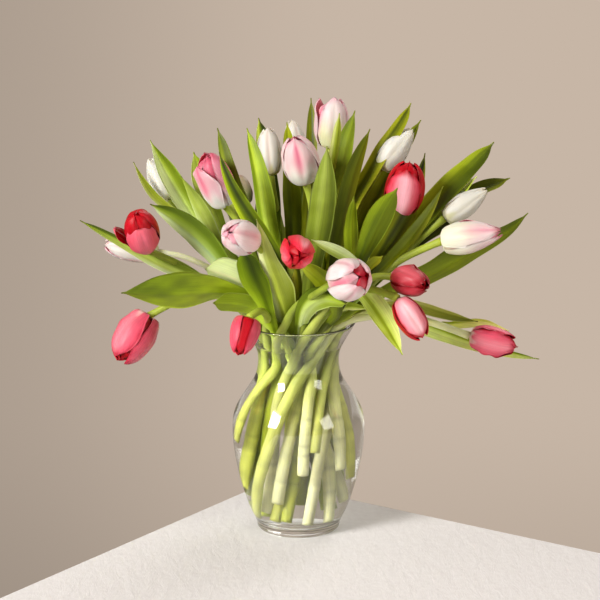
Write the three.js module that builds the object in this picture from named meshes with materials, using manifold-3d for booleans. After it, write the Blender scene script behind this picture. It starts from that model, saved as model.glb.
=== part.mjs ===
// Tulips in a clear glass vase. Millimetres, +Z up, the vase's axis on X = Y = 0, foot on Z = 0,
// the side that is meant to be seen first looks along -Y.
//
// Each tulip is two bodies: a plant (the stem with its own leaves grown onto it) and a flower
// head that sits on the end of the stem.  The vase is one revolved body with a thick foot.
import * as THREE from 'three';
import { mergeVertices } from 'three/addons/utils/BufferGeometryUtils.js';
import Module from 'manifold-3d';

// ---- driving dimensions (mm) -------------------------------------------------------------
const VASE_HEIGHT = 203;        // an 8 inch flower vase
const VASE_SIDES = 36;
const WALL = 2.6;               // glass thickness at the belly
const FOOT_THICKNESS = 8;       // solid glass under the water
const STEM_R_FOOT = 4.2;        // stem radius at the cut end
const STEM_R_TOP = 3.3;         // stem radius under the flower
const STEM_SIDES = 6;
const STEM_STEPS = 12;
const LEAF_THICKNESS = 1.5;     // at the midrib, edges run out thin
const LEAF_CUP = 0.30;          // depth of the channel against half the width
const LEAF_STEPS = 11;
const HEAD_SIDES = 12;          // two per petal
const GAP = 0.32;               // clear distance kept between neighbouring bodies
const HEAD_GAP = 0.35;          // between the stem's end and the flower

// outside of the glass from the foot up: [radius, height]
const VASE_OUTSIDE = [
  [36.0, 0], [38.6, 1.6], [40.0, 7], [47.0, 22], [53.2, 41], [58.4, 62], [61.9, 85], [62.5, 97],
  [61.2, 112], [57.2, 122], [47.4, 138], [40.6, 150], [38.0, 164], [38.9, 174], [44.4, 186],
  [50.7, 196.5], [53.4, 202.3],
];

// stems: points along the centre line from the cut end to the flower
const STEMS = [
  [[-19.5,25.9,17.8],[-18.8,27.1,44.1],[-17.4,28.0,70.5],[-15.7,25.8,96.8],[-15.3,22.5,123.0],[-18.2,20.7,149.2],[-25.6,17.2,174.2],[-35.4,9.8,197.5],[-48.8,0.8,218.3],[-70.7,-6.0,230.7],[-96.3,-11.9,230.2],[-121.0,-14.0,221.6],[-140.5,-13.6,210.0]],
  [[-30.8,12.0,33.3],[-29.4,15.7,58.7],[-25.3,17.6,84.0],[-21.7,15.7,109.3],[-20.8,13.2,134.9],[-22.8,11.1,160.4],[-33.3,6.5,183.3],[-45.3,-0.9,204.8],[-61.6,-9.3,222.7],[-78.4,-19.6,239.3],[-97.1,-26.2,255.5],[-116.3,-35.4,269.2],[-137.6,-41.3,280.3]],
  [[34.4,-4.0,30.6],[26.9,0.5,54.9],[18.2,7.0,78.3],[12.5,15.4,102.0],[5.3,20.6,126.2],[-3.5,23.2,150.3],[-13.3,26.6,174.0],[-26.2,28.3,196.2],[-42.8,26.9,215.8],[-61.7,23.3,233.0],[-82.5,19.6,247.9],[-105.6,17.5,259.2],[-130.7,16.2,264.6]],
  [[39.3,-4.0,53.3],[35.7,3.0,78.5],[30.4,10.9,103.1],[21.5,17.8,126.9],[11.1,23.5,150.5],[0.8,28.9,174.1],[-11.6,34.0,196.8],[-27.3,36.2,217.8],[-46.9,38.6,235.3],[-67.9,40.4,251.1],[-88.4,42.2,267.6],[-106.8,45.3,286.2],[-123.1,49.7,306.4]],
  [[17.8,18.0,21.3],[15.1,20.4,47.0],[10.5,19.6,72.5],[4.2,16.5,97.5],[-1.0,13.8,122.7],[-6.8,11.9,148.0],[-13.3,11.2,173.1],[-20.2,9.7,198.0],[-27.7,6.4,222.6],[-35.8,1.5,246.8],[-43.7,-4.2,270.8],[-52.6,-9.6,294.6],[-67.3,-13.8,315.4]],
  [[7.2,26.5,36.0],[2.4,20.2,60.1],[-3.6,13.4,83.7],[-6.5,10.6,108.8],[-10.6,5.8,133.3],[-14.9,0.5,157.7],[-18.1,-6.4,181.9],[-20.2,-15.2,205.6],[-21.5,-26.4,228.3],[-24.0,-41.4,248.6],[-26.0,-55.4,269.5],[-33.4,-70.7,287.3],[-41.8,-91.2,299.7]],
  [[-38.8,6.0,40.1],[-36.2,7.3,59.4],[-33.5,6.7,78.7],[-31.3,4.4,97.9],[-30.1,1.4,117.1],[-28.6,-1.3,136.3],[-26.6,-3.9,155.5],[-27.6,-9.3,174.0],[-29.3,-18.1,191.3],[-29.8,-28.2,207.6],[-28.7,-45.2,216.8],[-31.9,-60.7,227.0],[-44.9,-73.5,224.7]],
  [[7.5,-28.0,13.5],[11.2,-25.6,40.6],[14.7,-19.8,67.2],[18.9,-9.3,92.2],[25.3,2.3,116.2],[21.1,12.9,140.8],[17.0,21.0,166.6],[13.9,31.3,191.8],[5.3,44.5,214.2],[-7.5,62.5,230.5],[-23.3,73.1,250.1],[-38.2,81.8,271.3],[-49.9,89.3,294.9]],
  [[0.3,10.0,28.0],[1.6,10.4,54.2],[3.1,7.2,80.1],[1.4,4.9,106.1],[1.7,3.8,132.3],[1.8,5.3,158.4],[-0.4,11.5,183.7],[-3.7,18.4,208.7],[-7.5,23.1,234.2],[-11.6,26.7,259.8],[-16.7,32.7,284.7],[-22.3,34.0,308.7],[-25.9,33.0,333.9]],
  [[-18.1,-12.5,14.6],[-12.0,-9.7,41.1],[-8.4,-8.5,68.3],[-5.8,-8.5,95.6],[-4.3,-7.5,122.9],[-3.0,-6.4,150.3],[0.1,-8.0,177.5],[0.4,-9.6,204.7],[2.0,-12.1,231.9],[5.9,-15.2,258.9],[10.1,-18.3,285.8],[12.2,-21.2,312.9],[6.6,-23.7,339.5]],
  [[25.2,-20.0,13.6],[24.0,-14.6,41.5],[21.0,-6.8,68.7],[14.6,2.8,94.8],[8.5,10.6,121.4],[7.4,13.3,149.7],[5.4,18.9,177.3],[3.9,28.7,204.0],[4.4,40.8,229.8],[6.1,55.2,254.1],[4.0,72.8,276.1],[2.4,85.4,301.6],[0.4,96.5,327.8]],
  [[24.5,14.0,36.4],[23.6,14.9,63.8],[23.4,12.8,91.1],[17.6,7.1,117.3],[15.4,4.1,144.4],[16.5,6.0,171.5],[19.6,12.9,197.9],[24.8,20.8,223.6],[23.8,24.2,250.7],[24.8,28.1,277.9],[26.7,31.6,305.1],[28.3,34.7,332.3],[29.4,38.1,359.6]],
  [[-19.3,16.9,15.7],[-20.4,15.4,41.7],[-21.0,10.3,67.2],[-21.0,3.8,92.4],[-19.3,-2.0,117.7],[-16.0,-6.8,143.1],[-13.6,-12.5,168.3],[-12.3,-17.6,193.4],[-10.2,-26.1,217.5],[-9.1,-37.6,240.9],[-7.3,-50.8,263.2],[-5.2,-69.2,281.3],[-2.7,-92.1,293.4]],
  [[-53.0,-9.0,89.1],[-48.1,-11.6,108.1],[-41.9,-13.4,126.7],[-31.6,-14.7,143.5],[-19.7,-18.1,158.8],[-19.1,-24.9,177.1],[-19.5,-35.6,193.4],[-12.3,-42.9,210.1],[-3.8,-49.4,226.6],[7.4,-60.2,238.6],[14.1,-76.9,246.7],[22.7,-91.3,256.5],[35.2,-103.2,266.1]],
  [[-9.7,-18.2,15.4],[-5.2,-16.3,43.7],[-0.7,-14.2,71.9],[3.6,-11.2,100.1],[8.5,-8.9,128.3],[13.8,-7.8,156.5],[19.5,-6.1,184.6],[24.7,-2.3,212.5],[32.4,3.5,239.5],[41.2,10.2,266.0],[50.2,16.6,292.4],[60.8,22.6,318.4],[75.7,26.8,342.5]],
  [[-16.8,-22.0,34.8],[-13.8,-26.4,59.7],[-9.7,-28.5,84.7],[-4.0,-27.0,109.5],[2.1,-21.6,133.6],[6.6,-14.7,157.7],[15.4,-16.2,180.9],[25.1,-18.5,204.1],[39.6,-16.5,224.9],[56.0,-17.0,244.3],[71.4,-14.4,264.3],[83.7,-14.3,285.9],[93.9,-10.6,307.2]],
  [[35.5,-26.0,66.8],[33.1,-21.2,89.5],[30.0,-13.4,111.3],[26.9,-5.2,132.9],[27.0,0.4,155.5],[31.7,3.2,178.1],[41.7,5.3,199.0],[54.4,5.3,218.6],[69.0,3.6,236.8],[84.7,0.8,253.8],[100.8,-2.3,270.4],[117.1,-4.9,286.8],[134.6,-5.9,302.2]],
  [[13.9,-42.0,87.8],[15.6,-36.9,108.4],[17.9,-28.0,127.7],[21.3,-19.2,146.8],[26.2,-14.6,167.0],[32.9,-14.0,187.2],[42.1,-17.4,206.1],[52.3,-22.5,224.2],[63.6,-28.5,241.3],[76.8,-34.4,256.9],[93.0,-39.0,270.0],[111.1,-42.9,280.6],[130.0,-46.4,289.8]],
  [[3.8,-39.0,66.4],[4.4,-41.4,87.5],[6.0,-40.6,108.7],[8.4,-35.8,129.2],[10.9,-27.8,148.8],[9.6,-21.5,168.8],[12.6,-32.2,185.1],[23.2,-37.8,202.7],[32.8,-46.4,219.5],[42.1,-56.0,236.1],[52.8,-65.9,251.6],[67.2,-76.0,263.2],[86.8,-83.3,265.1]],
  [[-22.4,-4.6,22.2],[-21.4,-11.3,47.6],[-20.2,-17.4,73.2],[-19.0,-21.7,99.1],[-17.3,-22.9,125.3],[-11.9,-24.3,150.9],[-3.2,-30.1,175.0],[6.2,-40.1,197.3],[17.5,-52.3,217.7],[30.2,-64.7,237.0],[48.9,-76.5,249.5],[69.9,-88.4,254.1],[88.5,-105.7,251.2]],
  [[-34.5,-8.8,16.2],[-34.9,-21.0,42.3],[-30.6,-30.2,69.2],[-23.3,-35.3,96.6],[-13.9,-36.0,123.8],[-2.0,-32.5,149.8],[14.2,-28.4,173.3],[28.7,-28.8,197.9],[49.9,-37.8,212.5],[77.7,-34.9,218.8],[102.8,-45.6,219.0],[129.0,-54.9,213.0],[156.0,-60.0,204.3]],
];

// leaves: [tulip, [[x, y, z, width, nx, ny, nz], ...]] from tip to base, n = outer face
const LEAVES = [
  [20,[[25.6,-52.0,378.8,0.0,0.2,-0.98,0.08],[24.9,-53.7,360.0,12.9,0.19,-0.98,0.08],[23.5,-55.6,339.1,22.6,0.17,-0.98,0.07],[21.0,-57.5,317.4,24.5,0.14,-0.99,0.06],[17.5,-58.9,295.3,22.5,0.11,-0.99,0.01],[13.6,-58.5,272.8,17.4,0.07,-0.99,-0.1],[10.4,-54.9,250.1,14.0,0.01,-0.97,-0.22],[7.3,-48.9,227.4,11.2,-0.18,-0.95,-0.24],[3.8,-41.8,205.0,8.4,-0.36,-0.89,-0.26],[0.1,-33.1,183.7,5.5,-0.07,-0.92,-0.38]]],
  [14,[[-85.3,-46.0,263.6,0.0,0.04,-0.87,-0.49],[-73.7,-44.6,260.1,32.0,-0.01,-0.88,-0.47],[-62.1,-42.9,255.2,36.4,-0.03,-0.88,-0.47],[-52.1,-39.0,248.5,29.2,-0.01,-0.87,-0.49],[-43.1,-34.6,239.3,20.5,-0.19,-0.93,-0.29],[-34.0,-35.2,228.2,13.0,-0.24,-0.95,-0.19],[-24.6,-33.4,215.6,7.8,-0.19,-0.96,-0.18],[-20.1,-35.5,201.6,6.9,-0.27,-0.96,0.09],[-19.8,-34.3,189.9,6.1,-0.18,-0.87,-0.43],[-19.4,-26.3,180.5,5.5,-0.16,-0.71,-0.69]]],
  [8,[[105.2,46.0,400.8,0.0,0.23,0.71,-0.67],[96.1,35.6,385.0,11.7,0.27,0.72,-0.64],[83.0,26.1,366.0,16.5,0.37,0.75,-0.54],[69.9,19.0,344.4,17.5,0.44,0.77,-0.47],[55.4,12.2,321.4,17.1,0.48,0.76,-0.44],[44.1,6.0,297.8,15.9,0.54,0.76,-0.35],[34.4,5.1,273.6,12.9,0.63,0.76,-0.13],[24.4,13.6,248.2,9.9,0.71,0.7,0.03],[17.2,23.8,221.5,7.7,0.65,0.74,0.12],[13.4,32.4,194.0,5.5,0.21,0.94,0.26]]],
  [15,[[92.9,-112.0,200.8,0.0,-0.2,0.83,-0.52],[84.8,-104.4,215.3,12.4,-0.16,0.8,-0.57],[75.9,-94.2,229.8,20.4,-0.13,0.78,-0.61],[65.0,-86.1,244.3,19.9,-0.16,0.84,-0.52],[51.5,-80.2,256.0,14.6,0.18,0.68,-0.69],[40.1,-65.5,256.4,12.3,0.75,0.27,-0.59],[31.9,-45.9,247.5,10.6,0.94,0.19,-0.26],[25.2,-28.8,232.2,9.0,0.97,0.22,-0.12],[21.0,-14.9,212.5,7.3,0.94,0.29,0.05],[20.4,-5.5,190.2,5.5,0.71,0.66,0.24]]],
  [19,[[-0.3,-92.9,283.0,0.0,0.22,-0.94,-0.25],[7.6,-88.8,275.5,9.1,0.28,-0.91,-0.29],[16.6,-82.1,266.4,15.5,0.34,-0.89,-0.3],[24.9,-76.7,255.9,17.3,0.26,-0.95,-0.14],[31.2,-73.9,243.1,14.1,0.24,-0.95,-0.21],[34.4,-67.8,229.8,11.8,0.14,-0.83,-0.52],[32.6,-59.2,220.1,10.3,-0.11,-0.67,-0.73],[27.0,-48.1,210.9,8.8,-0.2,-0.74,-0.64],[20.1,-38.5,198.9,7.1,-0.13,-0.88,-0.44],[13.7,-32.3,185.6,5.5,-0.01,-0.91,-0.42]]],
  [18,[[11.5,-97.1,302.9,0.0,0.26,-0.96,-0.13],[23.4,-92.9,296.4,7.8,0.31,-0.95,-0.07],[36.3,-87.7,289.0,11.0,0.39,-0.92,-0.06],[48.0,-81.2,280.0,9.2,0.47,-0.86,-0.17],[56.6,-72.5,269.4,8.1,0.48,-0.77,-0.41],[60.5,-61.1,257.9,7.8,0.36,-0.67,-0.64],[60.1,-48.0,245.6,7.5,0.19,-0.67,-0.72],[56.2,-35.2,232.5,7.1,0.08,-0.72,-0.68],[49.8,-24.5,219.0,6.3,0.1,-0.81,-0.58],[41.8,-17.3,205.6,5.5,0.19,-0.83,-0.52]]],
  [19,[[75.5,-88.0,285.8,0.0,-0.06,-0.88,-0.47],[68.6,-84.3,279.8,9.4,-0.04,-0.88,-0.48],[62.0,-79.8,272.0,8.4,-0.02,-0.87,-0.5],[56.5,-74.4,262.9,6.5,0.02,-0.88,-0.48],[51.1,-70.7,253.8,6.2,0.13,-0.94,-0.29],[45.5,-69.3,245.2,6.0,0.08,-0.91,-0.38],[40.4,-63.0,236.0,5.9,-0.09,-0.75,-0.66],[35.4,-53.3,225.7,5.8,-0.08,-0.8,-0.59],[30.6,-46.6,215.5,5.6,-0.07,-0.85,-0.53],[24.7,-38.8,205.5,5.5,-0.12,-0.79,-0.6]]],
  [19,[[88.4,-74.0,344.9,0.0,0.3,-0.94,-0.15],[80.2,-74.2,330.1,18.9,0.29,-0.95,-0.15],[71.6,-74.1,313.3,24.9,0.26,-0.95,-0.16],[63.5,-72.9,295.4,20.3,0.23,-0.95,-0.21],[56.0,-69.6,276.9,13.2,0.18,-0.94,-0.3],[49.0,-64.8,258.3,11.2,0.18,-0.95,-0.23],[41.6,-64.0,241.0,9.7,0.19,-0.97,-0.12],[33.9,-59.2,224.5,8.4,-0.07,-0.87,-0.48],[24.8,-45.2,207.1,6.9,-0.17,-0.82,-0.55],[15.3,-33.2,188.5,5.5,-0.02,-0.88,-0.47]]],
  [10,[[42.4,-104.0,245.7,0.0,-0.73,-0.55,-0.42],[33.5,-92.3,245.7,16.6,-0.69,-0.56,-0.46],[23.5,-80.1,244.2,23.6,-0.53,-0.68,-0.5],[13.0,-71.1,238.2,24.0,-0.28,-0.83,-0.49],[6.0,-63.1,227.9,18.8,-0.18,-0.78,-0.6],[3.2,-50.3,215.8,14.1,-0.12,-0.66,-0.75],[1.6,-33.7,201.8,11.6,-0.08,-0.71,-0.7],[-0.1,-24.1,189.6,9.8,-0.12,-0.81,-0.58],[-1.9,-15.3,177.5,7.7,-0.21,-0.8,-0.57],[-2.8,-5.3,163.7,5.5,-0.22,-0.81,-0.55]]],
  [9,[[-37.2,-92.0,320.1,0.0,-0.02,-0.83,-0.56],[-32.8,-81.5,301.0,9.0,-0.03,-0.86,-0.51],[-27.6,-71.3,279.6,16.7,-0.03,-0.87,-0.49],[-22.5,-61.6,262.3,22.7,-0.01,-0.87,-0.49],[-17.8,-53.7,246.6,27.7,-0.03,-0.9,-0.44],[-13.7,-44.7,228.7,23.6,-0.04,-0.88,-0.47],[-10.7,-34.3,209.6,17.2,-0.07,-0.85,-0.52],[-9.6,-22.1,195.0,12.6,-0.1,-0.67,-0.73],[-6.5,-7.0,181.6,9.0,0.14,-0.73,-0.61],[2.3,4.8,165.2,5.5,0.87,-0.4,0.28]]],
  [14,[[-49.8,-74.0,288.3,0.0,-0.19,-0.96,-0.22],[-47.6,-71.9,279.9,14.3,-0.17,-0.95,-0.26],[-44.9,-68.5,269.2,22.6,-0.13,-0.92,-0.37],[-41.1,-63.1,257.2,25.7,-0.08,-0.88,-0.46],[-36.1,-57.1,245.3,22.9,-0.08,-0.88,-0.46],[-31.2,-51.7,232.8,16.7,-0.12,-0.92,-0.37],[-26.4,-46.2,216.5,12.3,-0.16,-0.91,-0.38],[-22.7,-38.9,201.3,10.0,-0.24,-0.84,-0.48],[-21.3,-33.3,190.5,7.7,-0.25,-0.83,-0.5],[-19.4,-26.3,180.5,5.5,-0.09,-0.78,-0.62]]],
  [21,[[164.3,-51.0,215.3,0.0,-0.22,0.68,-0.69],[150.2,-53.0,218.1,6.0,-0.25,0.69,-0.67],[134.7,-55.2,222.2,10.5,-0.3,0.7,-0.64],[118.9,-57.7,227.5,12.4,-0.32,0.71,-0.63],[103.1,-59.8,232.7,11.9,-0.23,0.71,-0.67],[87.0,-60.0,234.2,10.6,0.14,0.66,-0.72],[70.3,-54.3,230.2,8.9,0.55,0.53,-0.65],[54.4,-43.8,222.4,7.7,0.64,0.54,-0.54],[42.1,-37.3,213.6,6.6,0.7,0.55,-0.46],[31.3,-30.4,202.7,5.5,0.77,0.47,-0.42]]],
  [16,[[50.0,-58.0,334.2,0.0,0.3,-0.95,0.03],[48.5,-58.9,319.7,8.9,0.3,-0.95,0.03],[47.7,-59.6,303.6,13.6,0.3,-0.95,0.01],[47.9,-59.1,287.1,13.6,0.3,-0.95,-0.09],[47.9,-55.8,270.6,12.3,0.28,-0.91,-0.3],[46.1,-49.3,254.7,10.9,0.22,-0.87,-0.44],[42.3,-41.4,239.2,9.6,0.15,-0.85,-0.5],[36.3,-33.4,224.2,8.2,0.09,-0.87,-0.49],[29.2,-25.9,209.3,6.9,0.08,-0.87,-0.48],[21.4,-18.5,194.5,5.5,0.11,-0.86,-0.5]]],
  [20,[[-160.9,-64.0,245.6,0.0,0.14,-0.85,-0.5],[-142.2,-60.8,244.9,21.3,0.14,-0.85,-0.5],[-121.4,-57.4,243.3,41.1,0.13,-0.85,-0.5],[-99.7,-53.8,242.9,47.0,0.13,-0.86,-0.5],[-77.6,-50.1,243.3,32.2,0.11,-0.86,-0.5],[-55.7,-44.2,238.8,18.1,0.14,-0.85,-0.51],[-35.7,-34.1,228.6,13.2,0.05,-0.87,-0.48],[-21.8,-30.6,210.9,11.8,-0.36,-0.9,-0.18],[-12.7,-31.9,189.5,8.6,-0.42,-0.87,-0.23],[-5.7,-26.2,168.7,5.5,0.02,-0.94,-0.35]]],
  [13,[[-71.3,-48.0,372.4,0.0,-0.39,-0.92,-0.04],[-65.7,-50.2,354.2,8.1,-0.36,-0.93,-0.04],[-57.3,-52.4,335.2,13.3,-0.31,-0.95,-0.06],[-46.7,-54.2,316.3,16.7,-0.25,-0.96,-0.09],[-34.0,-54.5,297.4,16.5,-0.16,-0.97,-0.16],[-22.4,-51.3,277.6,15.2,-0.08,-0.96,-0.27],[-14.6,-44.9,257.0,13.0,-0.06,-0.94,-0.34],[-10.9,-37.7,235.8,10.5,-0.08,-0.96,-0.28],[-9.4,-31.5,213.9,8.0,-0.14,-0.92,-0.37],[-13.1,-17.5,190.5,5.5,-0.36,-0.8,-0.47]]],
  [21,[[193.3,-46.0,205.0,0.0,-0.29,0.7,-0.65],[187.5,-46.4,207.1,2.3,-0.28,0.7,-0.65],[181.0,-46.8,209.5,5.0,-0.26,0.7,-0.67],[174.2,-47.2,211.5,7.4,-0.2,0.69,-0.69],[167.0,-47.6,212.6,8.4,-0.1,0.68,-0.73],[159.7,-48.2,212.5,9.2,-0.0,0.67,-0.74],[152.2,-48.8,211.7,9.3,0.01,0.69,-0.73],[144.7,-49.8,211.2,8.3,-0.14,0.77,-0.62],[137.5,-51.8,211.6,7.6,-0.38,0.77,-0.5],[131.0,-55.3,212.8,7.3,-0.5,0.6,-0.63]]],
  [13,[[-5.8,-58.0,279.6,0.0,0.0,-0.94,-0.34],[-4.6,-54.5,269.7,6.4,0.0,-0.94,-0.33],[-3.5,-50.8,258.8,11.4,-0.0,-0.95,-0.3],[-2.7,-47.3,247.3,13.4,-0.01,-0.94,-0.34],[-2.4,-42.1,235.4,14.1,-0.04,-0.89,-0.46],[-3.1,-35.3,223.5,12.6,-0.08,-0.86,-0.51],[-4.5,-28.2,212.1,10.9,-0.13,-0.86,-0.49],[-7.7,-22.3,199.0,9.2,-0.1,-0.96,-0.25],[-12.6,-19.1,184.6,7.3,-0.14,-0.96,-0.24],[-14.0,-14.3,173.5,5.5,-0.32,-0.83,-0.45]]],
  [10,[[-77.8,-58.0,234.7,0.0,0.26,-0.82,-0.5],[-66.8,-54.0,233.5,22.5,0.25,-0.82,-0.51],[-55.0,-49.2,231.2,24.7,0.25,-0.82,-0.52],[-44.5,-43.5,227.3,22.0,0.19,-0.83,-0.51],[-35.7,-39.3,220.8,19.0,-0.09,-0.94,-0.31],[-27.0,-38.2,210.7,15.2,-0.08,-0.94,-0.32],[-17.0,-32.1,198.9,11.8,0.09,-0.86,-0.49],[-7.9,-25.0,187.3,9.6,0.02,-0.85,-0.52],[-3.3,-17.0,177.0,7.5,-0.02,-0.7,-0.71],[-1.8,-6.2,167.7,5.5,0.01,-0.64,-0.77]]],
  [9,[[65.1,-62.0,230.1,0.0,-0.33,-0.81,-0.49],[55.0,-57.3,230.2,6.7,-0.45,-0.73,-0.52],[43.0,-46.3,227.7,11.3,-0.45,-0.7,-0.55],[32.5,-38.2,223.0,12.3,-0.16,-0.86,-0.47],[24.4,-35.4,216.2,12.4,0.01,-0.92,-0.39],[17.5,-30.9,206.9,11.6,-0.02,-0.87,-0.49],[11.8,-24.0,197.0,10.6,0.02,-0.76,-0.65],[10.7,-14.6,187.1,8.7,0.19,-0.69,-0.69],[8.6,-4.5,176.5,7.1,0.09,-0.72,-0.66],[2.3,4.8,165.2,5.5,-0.58,-0.78,-0.26]]],
  [15,[[222.8,-34.0,174.8,0.0,-0.2,0.68,-0.71],[200.0,-36.3,179.1,6.6,-0.21,0.68,-0.7],[175.1,-38.7,185.0,10.3,-0.25,0.69,-0.68],[149.8,-40.4,193.1,13.2,-0.25,0.7,-0.66],[124.6,-40.3,202.3,15.7,-0.24,0.71,-0.66],[99.2,-40.8,212.6,14.4,-0.29,0.72,-0.63],[74.4,-41.7,221.8,12.3,-0.07,0.69,-0.72],[52.6,-34.0,220.0,9.7,0.52,0.4,-0.73],[35.4,-20.6,206.1,7.5,0.81,0.22,-0.54],[19.7,-6.0,185.7,5.5,0.8,0.54,-0.24]]],
  [21,[[211.1,-16.0,309.3,0.0,0.53,-0.82,-0.23],[194.9,-22.2,295.8,12.6,0.51,-0.82,-0.25],[175.5,-29.1,284.8,21.2,0.46,-0.84,-0.3],[153.6,-36.0,274.2,27.9,0.41,-0.85,-0.34],[129.8,-43.1,262.3,28.8,0.37,-0.85,-0.36],[105.2,-49.8,252.8,23.4,0.32,-0.87,-0.37],[80.9,-53.6,243.9,14.0,0.19,-0.91,-0.36],[58.7,-49.9,229.7,10.5,-0.04,-0.93,-0.36],[39.0,-39.2,211.3,7.9,-0.15,-0.89,-0.43],[25.3,-27.5,190.5,5.5,0.11,-0.89,-0.45]]],
  [2,[[-135.2,-34.0,321.6,0.0,-0.25,-0.88,-0.41],[-120.8,-34.4,312.9,16.0,-0.26,-0.88,-0.4],[-105.6,-34.7,301.8,26.0,-0.3,-0.88,-0.36],[-91.6,-34.7,288.9,28.7,-0.32,-0.89,-0.33],[-79.2,-33.4,275.0,24.5,-0.29,-0.88,-0.36],[-68.6,-29.1,258.9,19.1,-0.26,-0.86,-0.44],[-59.5,-22.2,241.9,15.2,-0.23,-0.84,-0.5],[-51.5,-13.7,224.6,12.1,-0.13,-0.86,-0.49],[-43.8,-4.7,207.1,8.8,-0.13,-0.86,-0.5],[-36.4,4.5,189.4,5.5,-0.43,-0.71,-0.55]]],
  [18,[[132.8,-12.0,333.8,0.0,0.65,-0.76,0.05],[125.1,-19.3,320.1,7.1,0.63,-0.77,0.04],[115.4,-27.4,305.5,12.9,0.6,-0.8,-0.0],[103.7,-35.1,291.5,15.7,0.55,-0.83,-0.06],[90.5,-41.3,277.8,14.1,0.44,-0.88,-0.17],[76.9,-42.5,263.2,11.9,0.28,-0.9,-0.33],[64.4,-38.2,247.1,9.9,0.16,-0.87,-0.46],[53.9,-29.4,229.6,8.4,0.1,-0.86,-0.5],[44.9,-20.6,211.7,7.0,0.16,-0.88,-0.44],[36.1,-15.0,194.0,5.5,0.31,-0.87,-0.39]]],
  [16,[[65.3,-12.0,386.9,0.0,0.57,-0.82,-0.02],[58.4,-16.5,369.9,10.5,0.53,-0.85,0.01],[51.1,-21.4,350.8,16.2,0.5,-0.87,0.05],[45.0,-26.3,330.4,17.7,0.45,-0.89,0.08],[40.2,-30.6,309.0,16.6,0.4,-0.91,0.06],[36.6,-32.5,286.7,15.0,0.36,-0.93,-0.04],[34.0,-31.1,263.8,12.3,0.31,-0.94,-0.16],[31.5,-26.7,240.4,10.0,0.17,-0.96,-0.22],[27.5,-21.9,217.0,7.7,0.09,-0.98,-0.2],[21.4,-18.5,194.5,5.5,0.3,-0.93,-0.21]]],
  [6,[[-202.0,-6.0,300.0,0.0,-0.43,-0.83,-0.36],[-183.5,-11.7,290.7,8.1,-0.43,-0.83,-0.35],[-162.9,-18.1,280.7,13.2,-0.43,-0.83,-0.35],[-141.2,-24.9,270.6,17.1,-0.42,-0.84,-0.35],[-118.6,-32.0,260.7,19.1,-0.4,-0.85,-0.35],[-95.5,-37.7,250.8,18.8,-0.29,-0.87,-0.39],[-72.8,-37.6,239.9,15.4,-0.1,-0.86,-0.5],[-51.8,-30.0,226.6,11.2,-0.13,-0.76,-0.63],[-33.9,-20.8,211.2,8.0,-0.25,-0.7,-0.66],[-19.3,-10.5,193.8,5.5,-0.07,-0.83,-0.56]]],
  [18,[[116.7,4.0,361.5,0.0,0.65,-0.76,0.09],[113.7,-1.4,344.7,10.5,0.64,-0.77,0.06],[108.6,-8.7,326.8,19.7,0.62,-0.78,0.02],[100.5,-20.8,310.4,26.8,0.63,-0.77,0.05],[89.8,-32.6,293.9,28.0,0.62,-0.78,0.05],[77.2,-36.0,275.0,21.5,0.44,-0.87,-0.19],[65.1,-29.2,255.2,14.5,0.28,-0.88,-0.37],[54.5,-23.6,235.2,11.0,0.23,-0.92,-0.31],[45.0,-19.2,214.8,8.2,0.22,-0.93,-0.3],[36.1,-15.0,194.0,5.5,0.36,-0.88,-0.32]]],
  [6,[[-47.2,-4.0,386.3,0.0,-0.6,-0.8,0.01],[-42.2,-8.7,369.0,11.3,-0.56,-0.83,0.04],[-37.0,-13.9,349.6,17.0,-0.5,-0.86,0.09],[-32.9,-19.2,329.0,19.9,-0.43,-0.89,0.13],[-29.3,-24.2,307.6,19.0,-0.36,-0.92,0.13],[-25.2,-27.5,285.4,16.8,-0.31,-0.95,0.05],[-22.0,-27.8,262.5,13.8,-0.28,-0.96,-0.08],[-19.9,-24.5,239.4,11.0,-0.25,-0.95,-0.2],[-19.4,-18.4,216.5,8.3,-0.28,-0.91,-0.29],[-19.3,-10.5,193.8,5.5,-0.45,-0.84,-0.3]]],
  [12,[[37.5,-6.0,400.6,0.0,0.58,-0.82,0.03],[35.6,-7.9,383.2,8.7,0.55,-0.83,0.01],[32.8,-9.3,364.0,10.4,0.53,-0.85,-0.06],[29.8,-8.9,344.2,9.5,0.52,-0.85,-0.13],[27.2,-6.6,324.0,8.5,0.54,-0.82,-0.21],[25.3,-0.9,302.7,7.9,0.6,-0.75,-0.28],[24.4,6.7,280.9,7.3,0.67,-0.72,-0.2],[23.8,9.3,259.8,6.7,0.62,-0.77,-0.1],[23.5,12.6,237.4,6.1,0.58,-0.8,-0.15],[23.4,17.4,214.3,5.5,0.79,-0.6,-0.13]]],
  [5,[[-74.8,12.0,383.4,0.0,-0.68,-0.73,0.03],[-70.1,6.7,365.5,12.3,-0.66,-0.75,0.02],[-65.0,0.9,346.0,17.9,-0.63,-0.78,-0.02],[-57.1,-4.5,326.4,17.5,-0.58,-0.81,-0.08],[-47.0,-8.5,306.5,15.5,-0.52,-0.84,-0.14],[-35.7,-9.1,285.1,12.5,-0.49,-0.85,-0.2],[-28.5,-6.7,262.5,10.2,-0.47,-0.85,-0.24],[-24.1,-2.1,239.3,8.6,-0.37,-0.89,-0.26],[-20.9,3.8,215.7,7.1,-0.35,-0.89,-0.27],[-18.4,10.3,191.9,5.5,-0.73,-0.63,-0.25]]],
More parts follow.
